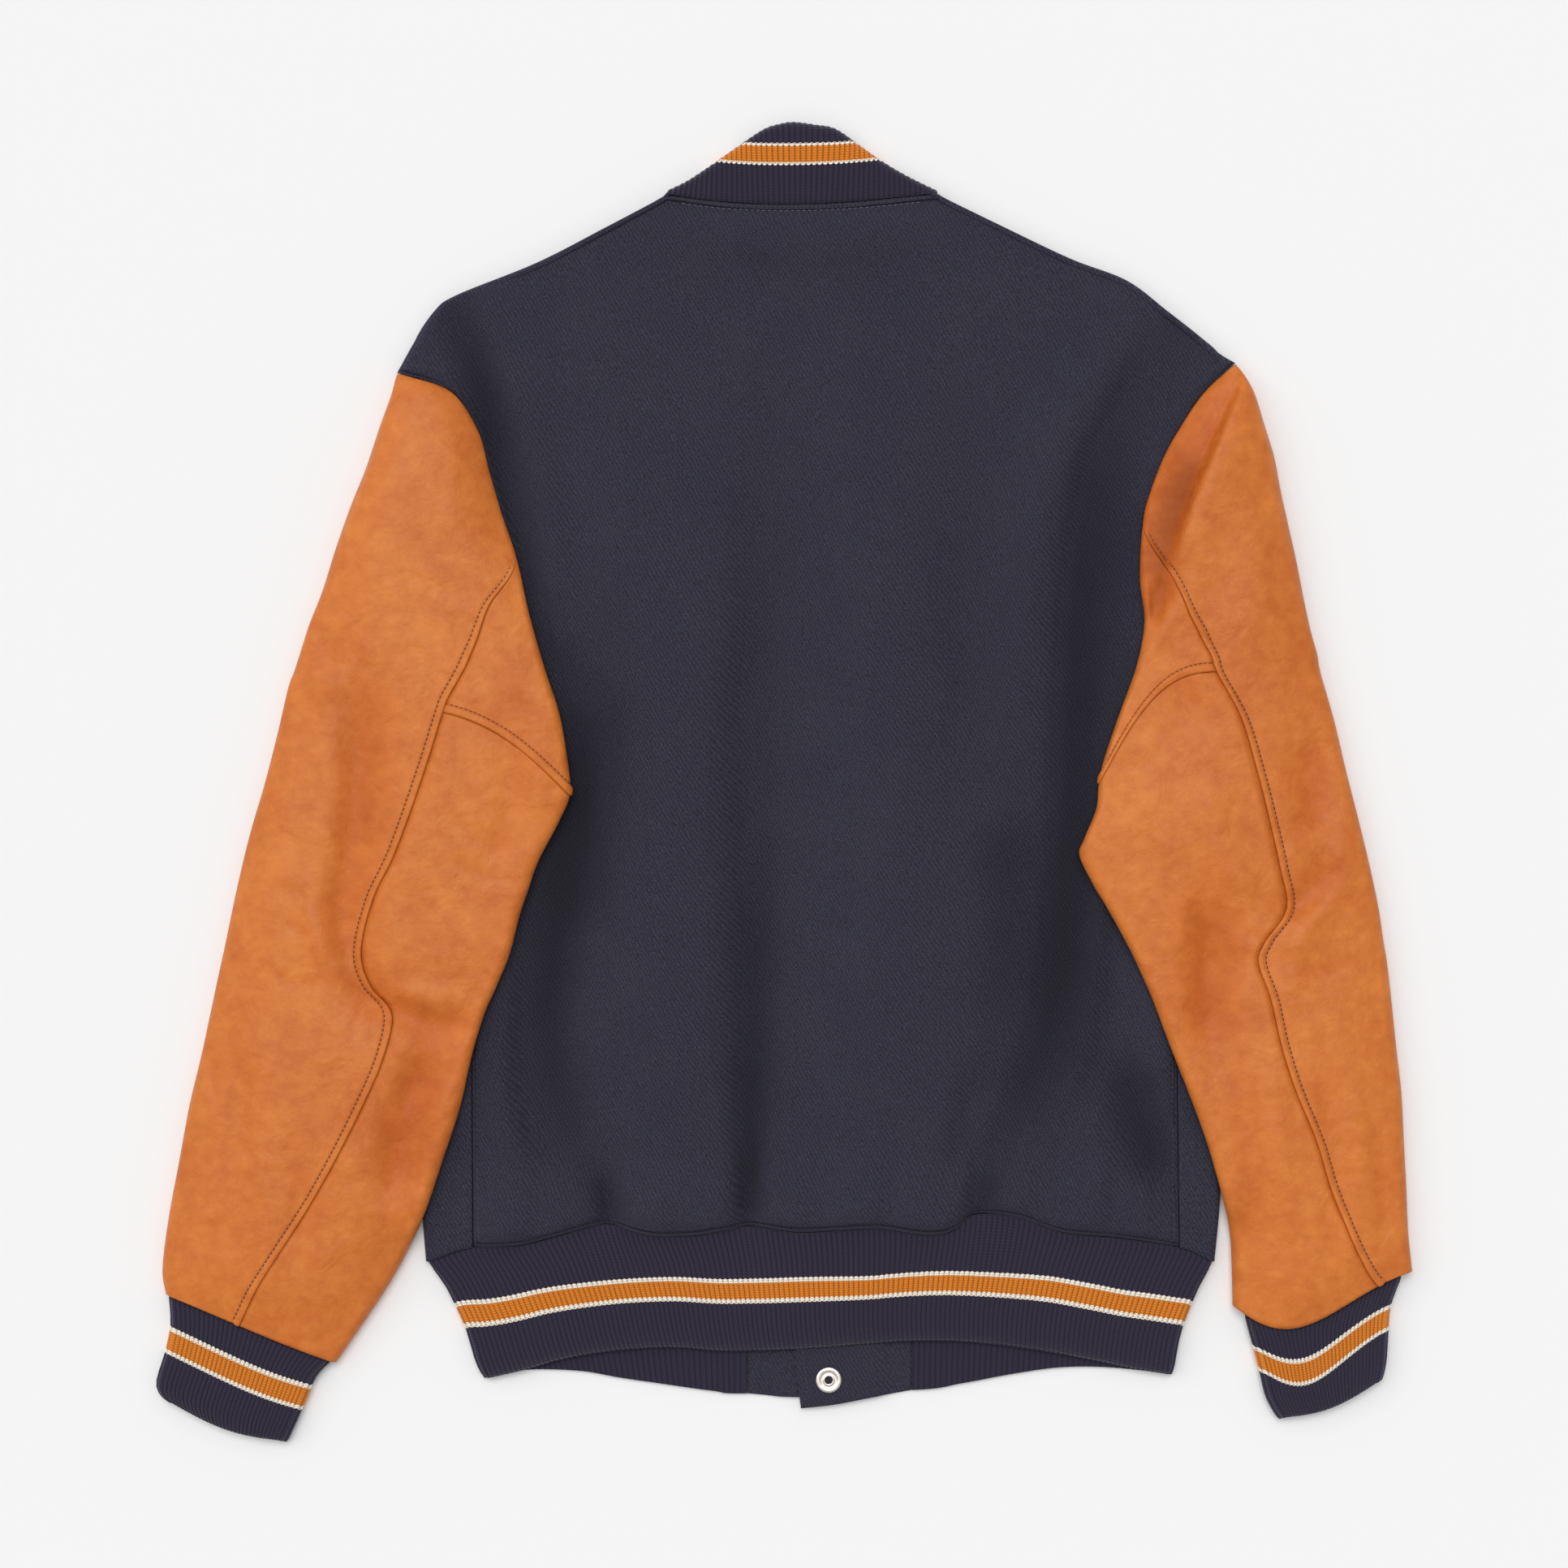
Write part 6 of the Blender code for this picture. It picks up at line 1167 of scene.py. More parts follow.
def make_front(side, sleeve, armhole, top_line, shoulder_columns, edge, wrap_hem, side_seam):
    """A front: a flat grid on the table, and from the underarm down a grid that wraps round the side."""
    out = sleeve.out
    edge = np.array(edge)[::-1]
    side_y = np.array((UNDERARM_Y,) + SIDE_ROWS_Y + (edge[0, 1],), float)
    low_edge = np.stack([np.interp(side_y, edge[:, 1], edge[:, 0]) - out * FOLD_RADIUS, side_y], 1)
    armhole = offset_line(armhole, -out * ARMHOLE_GAP)
    top = np.array(top_line)
    top[0] = armhole[0] = armhole[0] + (-out * 0.4, 0.6)
    fixed = len(top) - PLACKET_COLUMNS
    parallel_x = top[fixed:, 0] - CENTRE_LINE[0][0] + CENTRE_LINE[1][0]
    hem_x = np.concatenate([np.linspace(low_edge[-1, 0], parallel_x[0], fixed + 1)[:-1], parallel_x])
    hem = np.stack([hem_x, line_at(FRONT_HEM_SEAM, hem_x)], 1)
    outer_edge = np.concatenate([armhole[:sleeve.underarm], low_edge])
    outer_edge[-1] = hem[0]
    share = (outer_edge[0, 1] - outer_edge[:, 1]) / (outer_edge[0, 1] - outer_edge[-1, 1])
    inner_edge = top[-1] * (1.0 - share[:, None]) + hem[-1] * share[:, None]
    rows, columns = line_places(outer_edge, inner_edge, FRONT_STEP), line_places(top, hem, FRONT_STEP)
    plan = spread(fine_line(outer_edge, rows), fine_line(inner_edge, rows),
                  fine_line(top, columns, (shoulder_columns - 1,)), fine_line(hem, columns))
    flat = add_lips(plan, 0)
    roll = 3.0 * (1.0 - quarter(way_in(flat, 0) / 4.0)) * smoothstep((shoulder_columns - 1 - columns) * 4.0 + 0.6)
    z = front_height(side, flat[..., 0], flat[..., 1]) * smoothstep(way_in(flat, 0) / 8.0 + 0.2) + roll
    flat = np.concatenate([flat, z[..., None]], -1)
    below = rows >= sleeve.underarm
    ys = plan[below, 0, 1]
    side_x = plan[below, 0, 0] + out * FOLD_RADIUS
    seam_x = np.interp(-ys, (-UNDERARM_Y, -ys[-1]), side_seam) + out * SEAM_GAP
    turn = np.linspace(0.5 * np.pi, -0.5 * np.pi, 14)[:-1]
    inset = np.concatenate([np.full(10, FOLD_RADIUS), FOLD_RADIUS * (1.0 - np.cos(turn))])
    over = np.concatenate([1.0 - np.concatenate([[0, 0.4, 1.0, 2.0], np.linspace(4, 24, 6)]) / 28.0, 0.0 * turn])
    height = np.concatenate([[-0.6, -0.35, -0.1], np.zeros(7), FOLD_RADIUS * (np.sin(turn) - 1.0)]) + BACK_TOP
    x = (side_x[:, None] - out * inset) * (1.0 - over) + seam_x[:, None] * over
    wrapped = smoothstep(np.linspace(1.4, -0.4, len(height)))
    hem_y = line_at(wrap_hem, x[-1]) * wrapped + ys[-1] * (1.0 - wrapped)
    y = UNDERARM_Y + (ys[:, None] - UNDERARM_Y) * (hem_y - UNDERARM_Y) / (ys[-1] - UNDERARM_Y)
    wrap = np.stack([x, y, np.broadcast_to(height, x.shape)], -1)
    wrap = np.concatenate([np.repeat(wrap[:1], len(flat) - len(wrap), 0), wrap])
    outer = np.concatenate([wrap, flat], 1)
    outer[..., 2] = np.maximum(outer[..., 2], 0.0)
    normal = np.zeros_like(outer)
    first = len(flat) - int(below.sum())
    normal[first:] = grid_normals(outer[first:], -out)
    normal[:first, len(height):] = grid_normals(outer[:first + 1, len(height):], -out)[:-1]
    cells = np.ones((outer.shape[0] - 1, outer.shape[1] - 1), bool)
    cells[:first, :len(height)] = False
    name = "front_" + side
    cloth_wall(name, wool, outer, outer - normal * WOOL, (name,), "wool", cells)


make_front("left", left_sleeve, LEFT_FRONT_ARMHOLE, LEFT_FRONT_TOP, LEFT_SHOULDER_COLUMNS, LEFT_SIDE, LEFT_WRAP_HEM,
           SIDE_SEAM_X[0])
make_front("right", right_sleeve, RIGHT_FRONT_ARMHOLE, RIGHT_FRONT_TOP, RIGHT_SHOULDER_COLUMNS, RIGHT_SIDE,
           RIGHT_WRAP_HEM, SIDE_SEAM_X[1])

# %% [markdown]
# A small tab of wool ends each side of the hem band, so that the last snap has firm cloth to bite.

# %% The hem tabs
TAB_STITCH_IN = 5.6        # the topstitching's way in from a tab's edge
# Each tab's columns: x at its seam, and its lower edge.
LEFT_TAB = (
    (-22.0, -22.0, -362.0), (-13.0, -11.5, -363.0), (-1.0, 0.5, -364.0), (23.0, 25.0, -364.2),
    (47.0, 48.0, -362.5))
RIGHT_TAB = (
    (1.5, 10.0, -370.5), (26.0, 30.0, -368.3), (51.0, 52.5, -364.0), (65.0, 66.5, -361.7),
    (76.0, 76.0, -360.0))


def make_tab(side, table):
    """A tab with its rim rounded over, and a groove where it is stitched."""
    columns = fine_line(table, np.linspace(0, len(table) - 1, 24))
    top = np.stack([columns[:, 0], line_at(FRONT_HEM_SEAM, columns[:, 0]) - SEAM_GAP], 1)
    down = np.concatenate([[0.0, 0.01, 0.03], np.linspace(0.06, 0.94, 18), [0.97, 0.99, 1.0]])[:, None, None]
    plan = top * (1.0 - down) + columns[:, 1:3] * down
    level = front_height(side, plan[..., 0], plan[..., 1])
    rim = np.minimum(way_in(plan, 1), way_in(plan[:, ::-1], 1)[:, ::-1])
    rim = np.minimum(rim, way_in(plan[::-1], 0)[::-1])
    round_over = 0.45 * (1.0 - quarter(rim / 1.6))
    groove = 0.22 * np.exp(-((rim - TAB_STITCH_IN) / 0.8) ** 2)
    outer = np.concatenate([plan, (level + round_over)[..., None]], -1)
    inner = np.concatenate([plan, (level + WOOL - round_over - groove)[..., None]], -1)
    name = "hem_tab_" + side
    cloth_wall(name, wool, outer, inner, (name,), "wool")
    return inner


tab_tops = make_tab("left", LEFT_TAB), make_tab("right", RIGHT_TAB)

# %% [markdown]
# ## Rib knit strips
# The hem, cuffs and collar are strips of rib knit folded double.  A rib is a smooth wave across the
# strip.  Eight points for each rib give it a round crest and a narrow groove, which catches the
# light as yarn does; a bump map alone would leave the strip's edges straight.

# %% Ribs
RIB = 3.0                  # thickness of the doubled strip
RIB_HEIGHT = 0.8
RIB_POINTS = 8
HEM_TOP = 8.7              # level of the upper layer of the hem and the collar


def rib_wave(turns):
    """Height of the ribs at a number of ribs from the start: round crests and narrow grooves."""
    return RIB_HEIGHT * np.abs(np.sin(np.pi * np.asarray(turns))) ** 0.7

# %% [markdown]
# The hem band runs from the left tab under the front, round the left fold, across the back, round
# the right fold and back to the right tab.  It is one strip, so its ribs are counted along it.

# %% Measured lines of the hem band
FRONT_HEM_EDGE = (
    (-178.5, -353.0), (-153.5, -348.0), (-122.0, -348.5), (-98.0, -352.5), (-74.0, -356.0),
    (-42.0, -360.5), (-22.0, -362.0), (76.0, -360.0), (105.5, -356.0), (135.0, -350.5),
    (164.0, -346.5), (193.5, -346.5), (231.0, -350.5))
HEM_LEFT_FOLD = (
    (-212.5, -283.5), (-201.5, -296.0), (-194.5, -309.5), (-188.0, -324.0), (-184.0, -338.5),
    (-178.5, -353.0))
HEM_RIGHT_FOLD = (
    (255.5, -283.5), (247.0, -296.0), (241.0, -309.5), (235.5, -324.0), (232.5, -338.5),
    (231.0, -350.5))
LEFT_BAND_END = -22.15
RIGHT_BAND_END = 76.15
HEM_DOWN = np.array((0.0, 0.015, 0.04, 0.08, 0.15, 0.25, 0.36, 0.48, 0.60, 0.72, 0.83, 0.90, 0.94, 0.97, 0.99, 1.0))
HEM_CM = 7.52              # the band's height as the stripes count it
HEM_RIBS, LOW_RIBS = 144, 46               # across the back, and from a side fold to the closing
FOLD_RIBS = 4
HEM_GAP, HIDDEN_GAP = 0.3, 1.5             # between the band and the wool, above and below

# %% [markdown]
# The level parts are laid between two lines down the band's height.  The folds take their rows from
# the level parts on either side, so that the stripes run on round them.

# %% The hem band
def band_part(first, second, part, share):
    """Plan points of one level part of the band, between two lines down its height."""
    seam, edge, gap = part
    x = first[:, None, 0] * (1.0 - share) + second[:, None, 0] * share
    down = HEM_DOWN[:, None]
    seam_y = line_at(seam, x) - gap
    reach = np.minimum(12.0, 0.25 * np.abs(x[:, -1:] - x[:, :1]) * np.minimum(share, 1.0 - share))
    calm = sum(line_at(seam, x + reach * i) for i in range(-4, 5)) / 9.0 - gap
    top = calm + (seam_y - calm) * (1.0 - smoothstep(down / 0.36))
    return np.stack([x, top * (1.0 - down) + line_at(edge, x) * down], -1)


def fold_part(line, run, parts):
    """The band where it turns over at a side, as a half circle from the front's part up to the back's."""
    radius, down = HEM_TOP / 2, HEM_DOWN[:, None]
    angle = np.linspace(-0.5 * np.pi, 0.5 * np.pi, FOLD_RIBS * RIB_POINTS + 2)
    over, line = 0.5 * (1.0 + np.sin(angle)), smooth_table(line, 60)
    x = np.full((len(HEM_DOWN), len(angle)), line[0, 0])
    for settle in range(12):               # x and y each follow from the other, so they are found in turns
        front, back = ((line_at(seam, x) - gap) * (1.0 - down) + line_at(edge, x) * down for seam, edge, gap in parts)
        y = front * (1.0 - over) + back * over
        x = np.interp(-y, -line[:, 1], line[:, 0]) + run * radius * (1.0 - np.cos(angle))
    return np.stack([x, y, np.broadcast_to(HEM_TOP * over, x.shape)], -1)


def make_hem():
    """The band's outer and inner face, and each point's ribs along it and centimetres down it."""
    back_seam = LEFT_WRAP_HEM[:-1] + BACK_HEM_SEAM + RIGHT_WRAP_HEM[1:]
    front, back = (FRONT_HEM_SEAM, FRONT_HEM_EDGE, HIDDEN_GAP), (back_seam, BACK_HEM_EDGE, HEM_GAP)
    left, right = fold_part(HEM_LEFT_FOLD, 1.0, (front, back)), fold_part(HEM_RIGHT_FOLD, -1.0, (front, back))
    ends = [np.full((len(HEM_DOWN), 2), x) for x in (LEFT_BAND_END, RIGHT_BAND_END)]
    low_share, share = (np.linspace(0, 1, count * RIB_POINTS + 1) for count in (LOW_RIBS, HEM_RIBS))
    low_left = band_part(ends[0], left[:, 0], front, low_share)
    low_right = band_part(right[:, 0], ends[1], front, low_share)
    upper = band_part(left[:, -1], right[:, -1], back, share)
    flat = [np.concatenate([part, np.full(part.shape[:2] + (1,), level)], -1)
            for part, level in ((low_left, 0.0), (upper, HEM_TOP), (low_right, 0.0))]
    rise = placket_rise(upper[..., 0], upper[..., 1])
    wave = 0.45 * np.sin(upper[..., 0] / 31.0 + 0.8) + 0.3 * np.sin(upper[..., 0] / 13.0)
    flat[1][..., 2] += rise + wave * np.sin(np.pi * HEM_DOWN)[:, None] ** 0.6
    base = np.concatenate([flat[0], left[:, 1:-1], flat[1], right[:, -2:0:-1], flat[2]], 1)
    turns = np.arange(base.shape[1]) / RIB_POINTS
    turns = turns - turns[flat[0].shape[1] + FOLD_RIBS * RIB_POINTS]
    up = grid_normals(base, -1.0)
    on_top = smoothstep((base[..., 2] - 1.0) / (HEM_TOP - 2.5))
    wander = 0.10 * np.sin(turns * 0.61)[None] * (HEM_DOWN[:, None] - 0.5) + 0.05 * np.sin(turns * 2.3)[None]
    ribs = rib_wave(turns[None] + wander)
    droop = np.array([3.2, 2.5, 1.7, 0.9, 0.3] + [0.0] * (len(HEM_DOWN) - 10) + [0.1, 0.5, 1.1, 1.9, 2.9])[:, None]
    outer = base + up * ((ribs - droop) * on_top)[..., None]
    inner = base - up * (RIB - 0.6 * ribs * (1.0 - on_top))[..., None]
    inner[..., 2] += droop * 0.25 * on_top
    past = np.maximum(-turns, turns - HEM_RIBS - 2.0 * FOLD_RIBS)
    v = HEM_DOWN[:, None] * HEM_CM * (1.0 + 0.22 * smoothstep(past / 20.0))[None]
    uv = np.stack([np.broadcast_to(turns[None], v.shape), v], -1)
    return outer, inner, uv


hem_outer, hem_inner, hem_uv = make_hem()
cloth_wall("hem_band", hem_knit, hem_outer, hem_inner, ("hem_band",), "rib", uv=hem_uv)

# %% [markdown]
# A cuff is the same strip sewn into a tube, here pressed flat.

# %% The cuffs
# Rows of each cuff from its seam to its end: outer and inner edge, and the bow of the row.
LEFT_CUFF = (
    (-364.5, -303.5, -269.0, -342.0, 1.0),
    (-363.5, -320.0, -277.5, -351.0, 2.2),
    (-366.5, -336.0, -284.0, -366.0, 3.0),
    (-372.0, -356.0, -290.5, -380.5, 4.0),
    (-366.0, -366.0, -295.0, -390.5, 4.5))
RIGHT_CUFF = (
    (366.0, -296.5, 273.5, -318.5, 12.0),
    (359.5, -311.0, 278.0, -333.0, 5.5),
    (358.0, -326.5, 282.0, -347.5, 4.0),
    (357.0, -341.5, 286.0, -363.5, 4.0),
    (354.5, -354.0, 293.5, -377.0, 4.5))
CUFF_RIBS = 30             # on each side of the pressed tube
CUFF_TOP = 9.2             # level of its upper side
CUFF_GAP = 0.6


def make_cuff(side, table, sleeve):
    """A tube of rib, pressed flat: upper side, inner fold, lower side and outer fold."""
    table = np.array(table, float)
    places = np.concatenate([[0, 0.04, 0.12], np.linspace(0.25, 3.6, 14), [3.8, 3.92, 3.98, 4.0]])
    rows = fine_line(table, places)
    outer_edge, inner_edge, bow = rows[:, 0:2], rows[:, 2:4], rows[:, 4]
    run = inner_edge - outer_edge
    run = run / np.linalg.norm(run, axis=1, keepdims=True)
    radius = CUFF_TOP / 2
    start, end = outer_edge + run * radius, inner_edge - run * radius
    down = places / places[-1]

    def level(share, height):
        plan = start[:, None] * (1.0 - share[:, None]) + end[:, None] * share[:, None]
        plan[..., 1] -= bow[:, None] * np.sin(np.pi * share)
        return np.concatenate([plan, np.full(plan.shape[:2] + (1,), height)], -1)

    def fold(line, inward, count, upward):
        angle = np.linspace(-0.5 * np.pi, 0.5 * np.pi, count + 2)[1:-1] * upward
        plan = line[:, None] + inward[:, None] * (radius * (1.0 - np.cos(angle)))[None, :, None]
        return np.concatenate([plan, np.broadcast_to(radius * (1.0 + np.sin(angle)), plan.shape[:2])[..., None]], -1)

    upper = level(np.linspace(0.0, 1.0, CUFF_RIBS * RIB_POINTS + 1), CUFF_TOP)
    lower = level(np.linspace(1.0, 0.0, CUFF_RIBS * RIB_POINTS + 1), 0.0)
    turn = FOLD_RIBS * RIB_POINTS - 1
    base = np.concatenate([upper, fold(inner_edge, -run, turn, -1), lower, fold(outer_edge, run, turn, 1)], 1)
    base[:, :, 1] -= (base[0, :, 1] - (sleeve.cuff_line(base[0, :, 0]) - CUFF_GAP))[None] * (1.0 - down[:, None]) ** 4
    turns = np.arange(base.shape[1]) / RIB_POINTS
    wrapped = np.concatenate([base[:, -1:], base, base[:, :1]], 1)
    up = grid_normals(wrapped, sleeve.out)[:, 1:-1]
    on_top = smoothstep((base[..., 2] - 1.0) / (CUFF_TOP - 2.5))
    ribs = rib_wave(turns[None] + 0.06 * np.sin(turns * 1.9)[None] + 0.1 * down[:, None] * np.sin(turns * 0.5)[None])
    droop = np.interp(np.arange(len(rows)), (0, 1, 2, 3, len(rows) - 5, len(rows) - 3, len(rows) - 2, len(rows) - 1),
                      (0.9, 0.4, 0.05, 0.0, 0.0, 0.7, 1.5, 2.6))[:, None]
    outer = base + up * ((ribs - droop) * on_top)[..., None]
    inner = base - up * RIB
    run = np.linalg.norm(np.diff(base, axis=0), axis=-1)
    length = np.concatenate([np.zeros((1, base.shape[1])), np.cumsum(run, 0)])
    uv = np.stack([np.broadcast_to(turns[None], length.shape), length / 10.0], -1)
    name = "cuff_" + side
    cloth_wall(name, cuff_knit, outer, inner, (name,), "rib", uv=uv, closed=True)
    print(name, "is", round(length[-1].mean(), 1), "mm long")


make_cuff("left", LEFT_CUFF, left_sleeve)
make_cuff("right", RIGHT_CUFF, right_sleeve)

# %% [markdown]
# The collar's two ends meet at the closing in front, so under the neck the strip lies flat, pointing
# up.  At the shoulders it turns over, and behind the neck it stands up and folds down again.  So each
# line across it starts at the neck seam, and turns round a fold that wanders along the strip.

# %% Measured lines of the collar
# The strip over the back of the neck folds at its outline: fold, then its free edge underneath.
COLLAR_FOLD = (
    (-68.8, 352.0, -27.0, 331.0), (-57.5, 357.5, -22.0, 341.5), (-44.5, 366.0, -18.0, 354.0),
    (-29.5, 376.5, -14.0, 369.5), (-12.5, 388.0, -12.5, 380.0), (-2.0, 391.5, -2.0, 382.0),
    (6.0, 392.5, 6.0, 382.5), (18.0, 391.0, 17.0, 381.5), (30.5, 388.5, 28.0, 380.5),
    (45.0, 378.5, 27.0, 370.0), (57.0, 370.0, 31.0, 356.0), (72.0, 361.0, 37.0, 342.5),
    (91.0, 351.6, 42.4, 331.0))
# The strip round the front of the neck: seam, free edge, and how far it has turned over in degrees.
COLLAR_FRONT_LEFT = (
    (10.5, 245.9, 10.5, 293.5, 180), (-13.3, 248.7, 3.0, 293.7, 180), (-25.2, 252.8, -3.0, 295.0, 180),
    (-42.9, 267.0, -10.0, 297.6, 180), (-59.8, 295.3, -19.7, 307.0, 180),
    (-68.3, 324.1, -24.0, 318.0, 180), (-68.9, 339.7, -26.0, 325.5, 180),
    (-68.5, 348.3, -27.0, 328.6, 170), (-70.8, 350.6, -26.8, 330.0, 135))
COLLAR_FRONT_RIGHT = (
    (12.5, 245.9, 12.5, 293.5, 180), (38.1, 251.2, 19.0, 294.5, 180), (52.0, 258.8, 24.0, 297.0, 180),
    (65.2, 270.5, 29.0, 300.0, 180), (79.7, 295.3, 35.5, 307.0, 180), (88.7, 324.1, 40.0, 318.0, 180),
    (89.2, 339.1, 41.3, 325.5, 180), (89.4, 349.6, 42.5, 328.6, 160), (92.6, 350.4, 42.2, 330.0, 120))
COLLAR_RIBS = 52           # over the back of the neck
COLLAR_RIB_MM = 3.02       # width of a rib there, used to count them on round the front
COLLAR_GAP = 0.5

# %% [markdown]
# A line across the strip goes straight up from the seam, round a half circle and straight back to the
# free edge.  Where it has already turned at the seam, it starts part of the way round the circle.

# %% The collar
def along_line(line, share):
    """The point at a share of a line's length."""
    line = np.asarray(line, float)
    length = np.concatenate([[0.0], np.cumsum(np.linalg.norm(np.diff(line, axis=0), axis=1))])
    return np.stack([np.interp(share * length[-1], length, line[:, i]) for i in range(line.shape[1])], -1)


def collar_column(seam, fold, under, start, face, rib):
    """Points of one line across the strip, from the neck seam over the fold to the free edge."""
    radius = HEM_TOP / 2
    if fold is None:
        back = (under - seam) / np.linalg.norm(under - seam)
        fold = seam - back * radius * (1.0 - np.sin(start))
        up, straight = -back, 0.0
    else:
        height = np.linalg.norm(fold - seam)
        up, back = (fold - seam) / height, (under - fold) / np.linalg.norm(under - fold)
        start, straight = 0.0, max(height - radius, 0.0)
    arc = radius * (np.pi - start)
    total = straight + arc + np.linalg.norm(under - fold) - radius
    first, turn = max(straight, 1.0), max(arc, 4.0)
    end = max(total, first + turn + 2.0)
    rise = np.concatenate([[0.0, 0.04, 0.1], np.linspace(0.2, 1.0, 10)])
    fall = np.concatenate([np.linspace(0, 0.9, 12)[1:], [0.96, 1.0]])
    stops = np.concatenate([rise * first, first + turn * np.linspace(0.0, 1.0, 14)[1:],
                            first + turn + (end - first - turn) * fall])
    column = []
    for s in stops:
        if s < straight:
            plan, z, angle = seam + up * s, HEM_TOP, 0.0
        elif s < straight + arc:
            angle = start + (s - straight) / radius
            mix = smoothstep(angle / np.pi)
            short = radius * (1.0 - np.sin(angle))
            plan = fold - up * short * (1.0 - mix) + back * short * mix
            z = radius * (1.0 + np.cos(angle))
        else:
            plan, z, angle = fold + back * (s - straight - arc + radius), 0.0, np.pi
        mix = smoothstep(angle / np.pi)
        side = up * (1.0 - mix) - back * mix
        side = side / max(np.linalg.norm(side), 1e-6)
        normal = np.array([side[0] * np.sin(angle), side[1] * np.sin(angle), np.cos(angle)])
        droop = 0.8 * (1.0 - smoothstep(s / 2.0)) if straight > 3.0 else 0.0
        shift = (rib - droop) * max(np.cos(0.5 * angle), 0.0) ** 2 - (RIB if face else 0.0)
        column.append(np.append(plan, z) + normal * shift)
    return np.array(column), stops


def make_collar():
    """The strip's outer and inner face, from the left front round the neck to the right front."""
    neck = fine_line(BACK_TOP_LINE[NECK_COLUMNS[0]:NECK_COLUMNS[1] + 1], np.linspace(0, 6, 60))
    fold_rows = fine_line(COLLAR_FOLD, np.linspace(0, len(COLLAR_FOLD) - 1, 12 * len(COLLAR_FOLD)))
    length = np.concatenate([[0.0], np.cumsum(np.hypot(*np.diff(fold_rows[:, 0:2], axis=0).T))])
    count = COLLAR_RIBS * RIB_POINTS
    share = np.linspace(0.0, 1.0, count + 1)
    seam = along_line(neck, share) + (0.0, COLLAR_GAP)
    fold = np.stack([np.interp(share * length[-1], length, fold_rows[:, i]) for i in range(4)], 1)
    turns = np.arange(count + 1) / RIB_POINTS
    ribs = rib_wave(turns + 0.05 * np.sin(turns * 1.7))
    fronts = []
    for table in (COLLAR_FRONT_LEFT, COLLAR_FRONT_RIGHT):
        rows = np.array(table, float)
        run = np.concatenate([[0.0], np.cumsum(np.linalg.norm(np.diff(rows[:, 0:2], axis=0), axis=1))])
        places = np.interp(np.linspace(0, run[-1], int(run[-1] / 0.75)), run, np.arange(len(rows)))
        fronts.append(np.stack([np.interp(places, np.arange(len(rows)), rows[:, i]) for i in range(5)], 1))
    walls = []
    for face in (0, 1):
        hump = [collar_column(seam[i], fold[i, 0:2], fold[i, 2:4], None, face, ribs[i]) for i in range(count + 1)]
        halves = [[collar_column(row[0:2], None, row[2:4], np.radians(row[4]), face, 0.0) for row in half]
                  for half in fronts]
        columns = halves[0] + hump + halves[1][::-1]
        walls.append(np.array([column for column, stops in columns]).transpose(1, 0, 2))
        stops = np.array([stops for column, stops in columns]).T
    first = len(fronts[0])
    run = np.linalg.norm(np.diff(walls[0][0, :, :2], axis=0), axis=1)
    along = np.concatenate([[0.0], np.cumsum(run)]) / COLLAR_RIB_MM
    along[first:first + count + 1] = along[first] + turns
    along[first + count + 1:] += along[first + count] - along[first + count + 1] + 0.25
    uv = np.stack([np.broadcast_to(along[None], stops.shape), stops / 10.0], -1)
    return walls[0], walls[1], uv


collar_outer, collar_inner, collar_uv = make_collar()
cloth_wall("collar", collar_knit, collar_outer, collar_inner, ("collar",), "rib", uv=collar_uv)

# %% [markdown]
# ## Topstitching
# The seams are sewn with navy thread, 2.9 mm to a stitch.  Each stitch is a short bent thread that
# dives into the cloth at both ends, so the row reads as dashes with small dimples between them.

# %% Stitches along a line
STITCH_PITCH = 2.9
STITCH_RADIUS = 0.30
STITCH_SIDES = 6
# Share of the stitch's length, height over the cloth, and share of the thread's thickness.
STITCH_SHAPE = ((0.0, -0.35, 0.5), (0.14, 0.02, 0.9), (0.5, 0.16, 1.0), (0.86, 0.02, 0.9), (1.0, -0.35, 0.5))


def stitch_row(line, normal, pitch=STITCH_PITCH, radius=STITCH_RADIUS):
    """Points and faces of a row of stitches along a line of points with their normals."""
    length = np.concatenate([[0.0], np.cumsum(np.linalg.norm(np.diff(line, axis=0), axis=1))])
    starts = np.arange(0.3, length[-1] - pitch, pitch)

    def read(values, at):
        return np.stack([np.interp(at, length, values[:, i]) for i in range(3)], -1)

    points, faces = [], []
    for start in starts:
        for share, lift, thick in STITCH_SHAPE:
            at = start + share * 0.80 * pitch
            middle, up = read(line, at), read(normal, at)
            along = read(line, at + 0.5) - read(line, at - 0.5)
            across = np.cross(along, up)
            across /= max(np.linalg.norm(across), SMALL)
            up = up / max(np.linalg.norm(up), SMALL)
            for k in range(STITCH_SIDES):
                angle = 2 * np.pi * k / STITCH_SIDES
                points.append(middle + up * (lift + thick * radius * np.sin(angle))
                              + across * (thick * radius * np.cos(angle)))
        first = len(points) - STITCH_SIDES * len(STITCH_SHAPE)
        rings = [[first + STITCH_SIDES * r + k for k in range(STITCH_SIDES)] for r in range(len(STITCH_SHAPE))]
        faces += [tuple(rings[0][::-1]), tuple(rings[-1])]
        faces += [(here[k], here[(k + 1) % STITCH_SIDES], there[(k + 1) % STITCH_SIDES], there[k])
                  for here, there in zip(rings, rings[1:]) for k in range(STITCH_SIDES)]
    return points, faces


def sew(name, material, slot, rows):
    """One object from several rows of stitches."""
    points, faces = [], []
    for row in rows:
        more, shapes = stitch_row(*row)
        faces += [tuple(len(points) + k for k in shape) for shape in shapes]
        points += more
    make_piece(name, material, points, faces, (), slot)

# %% [markdown]
# On the leather a row holds down each lap, just past its ridge and sunk into its groove.

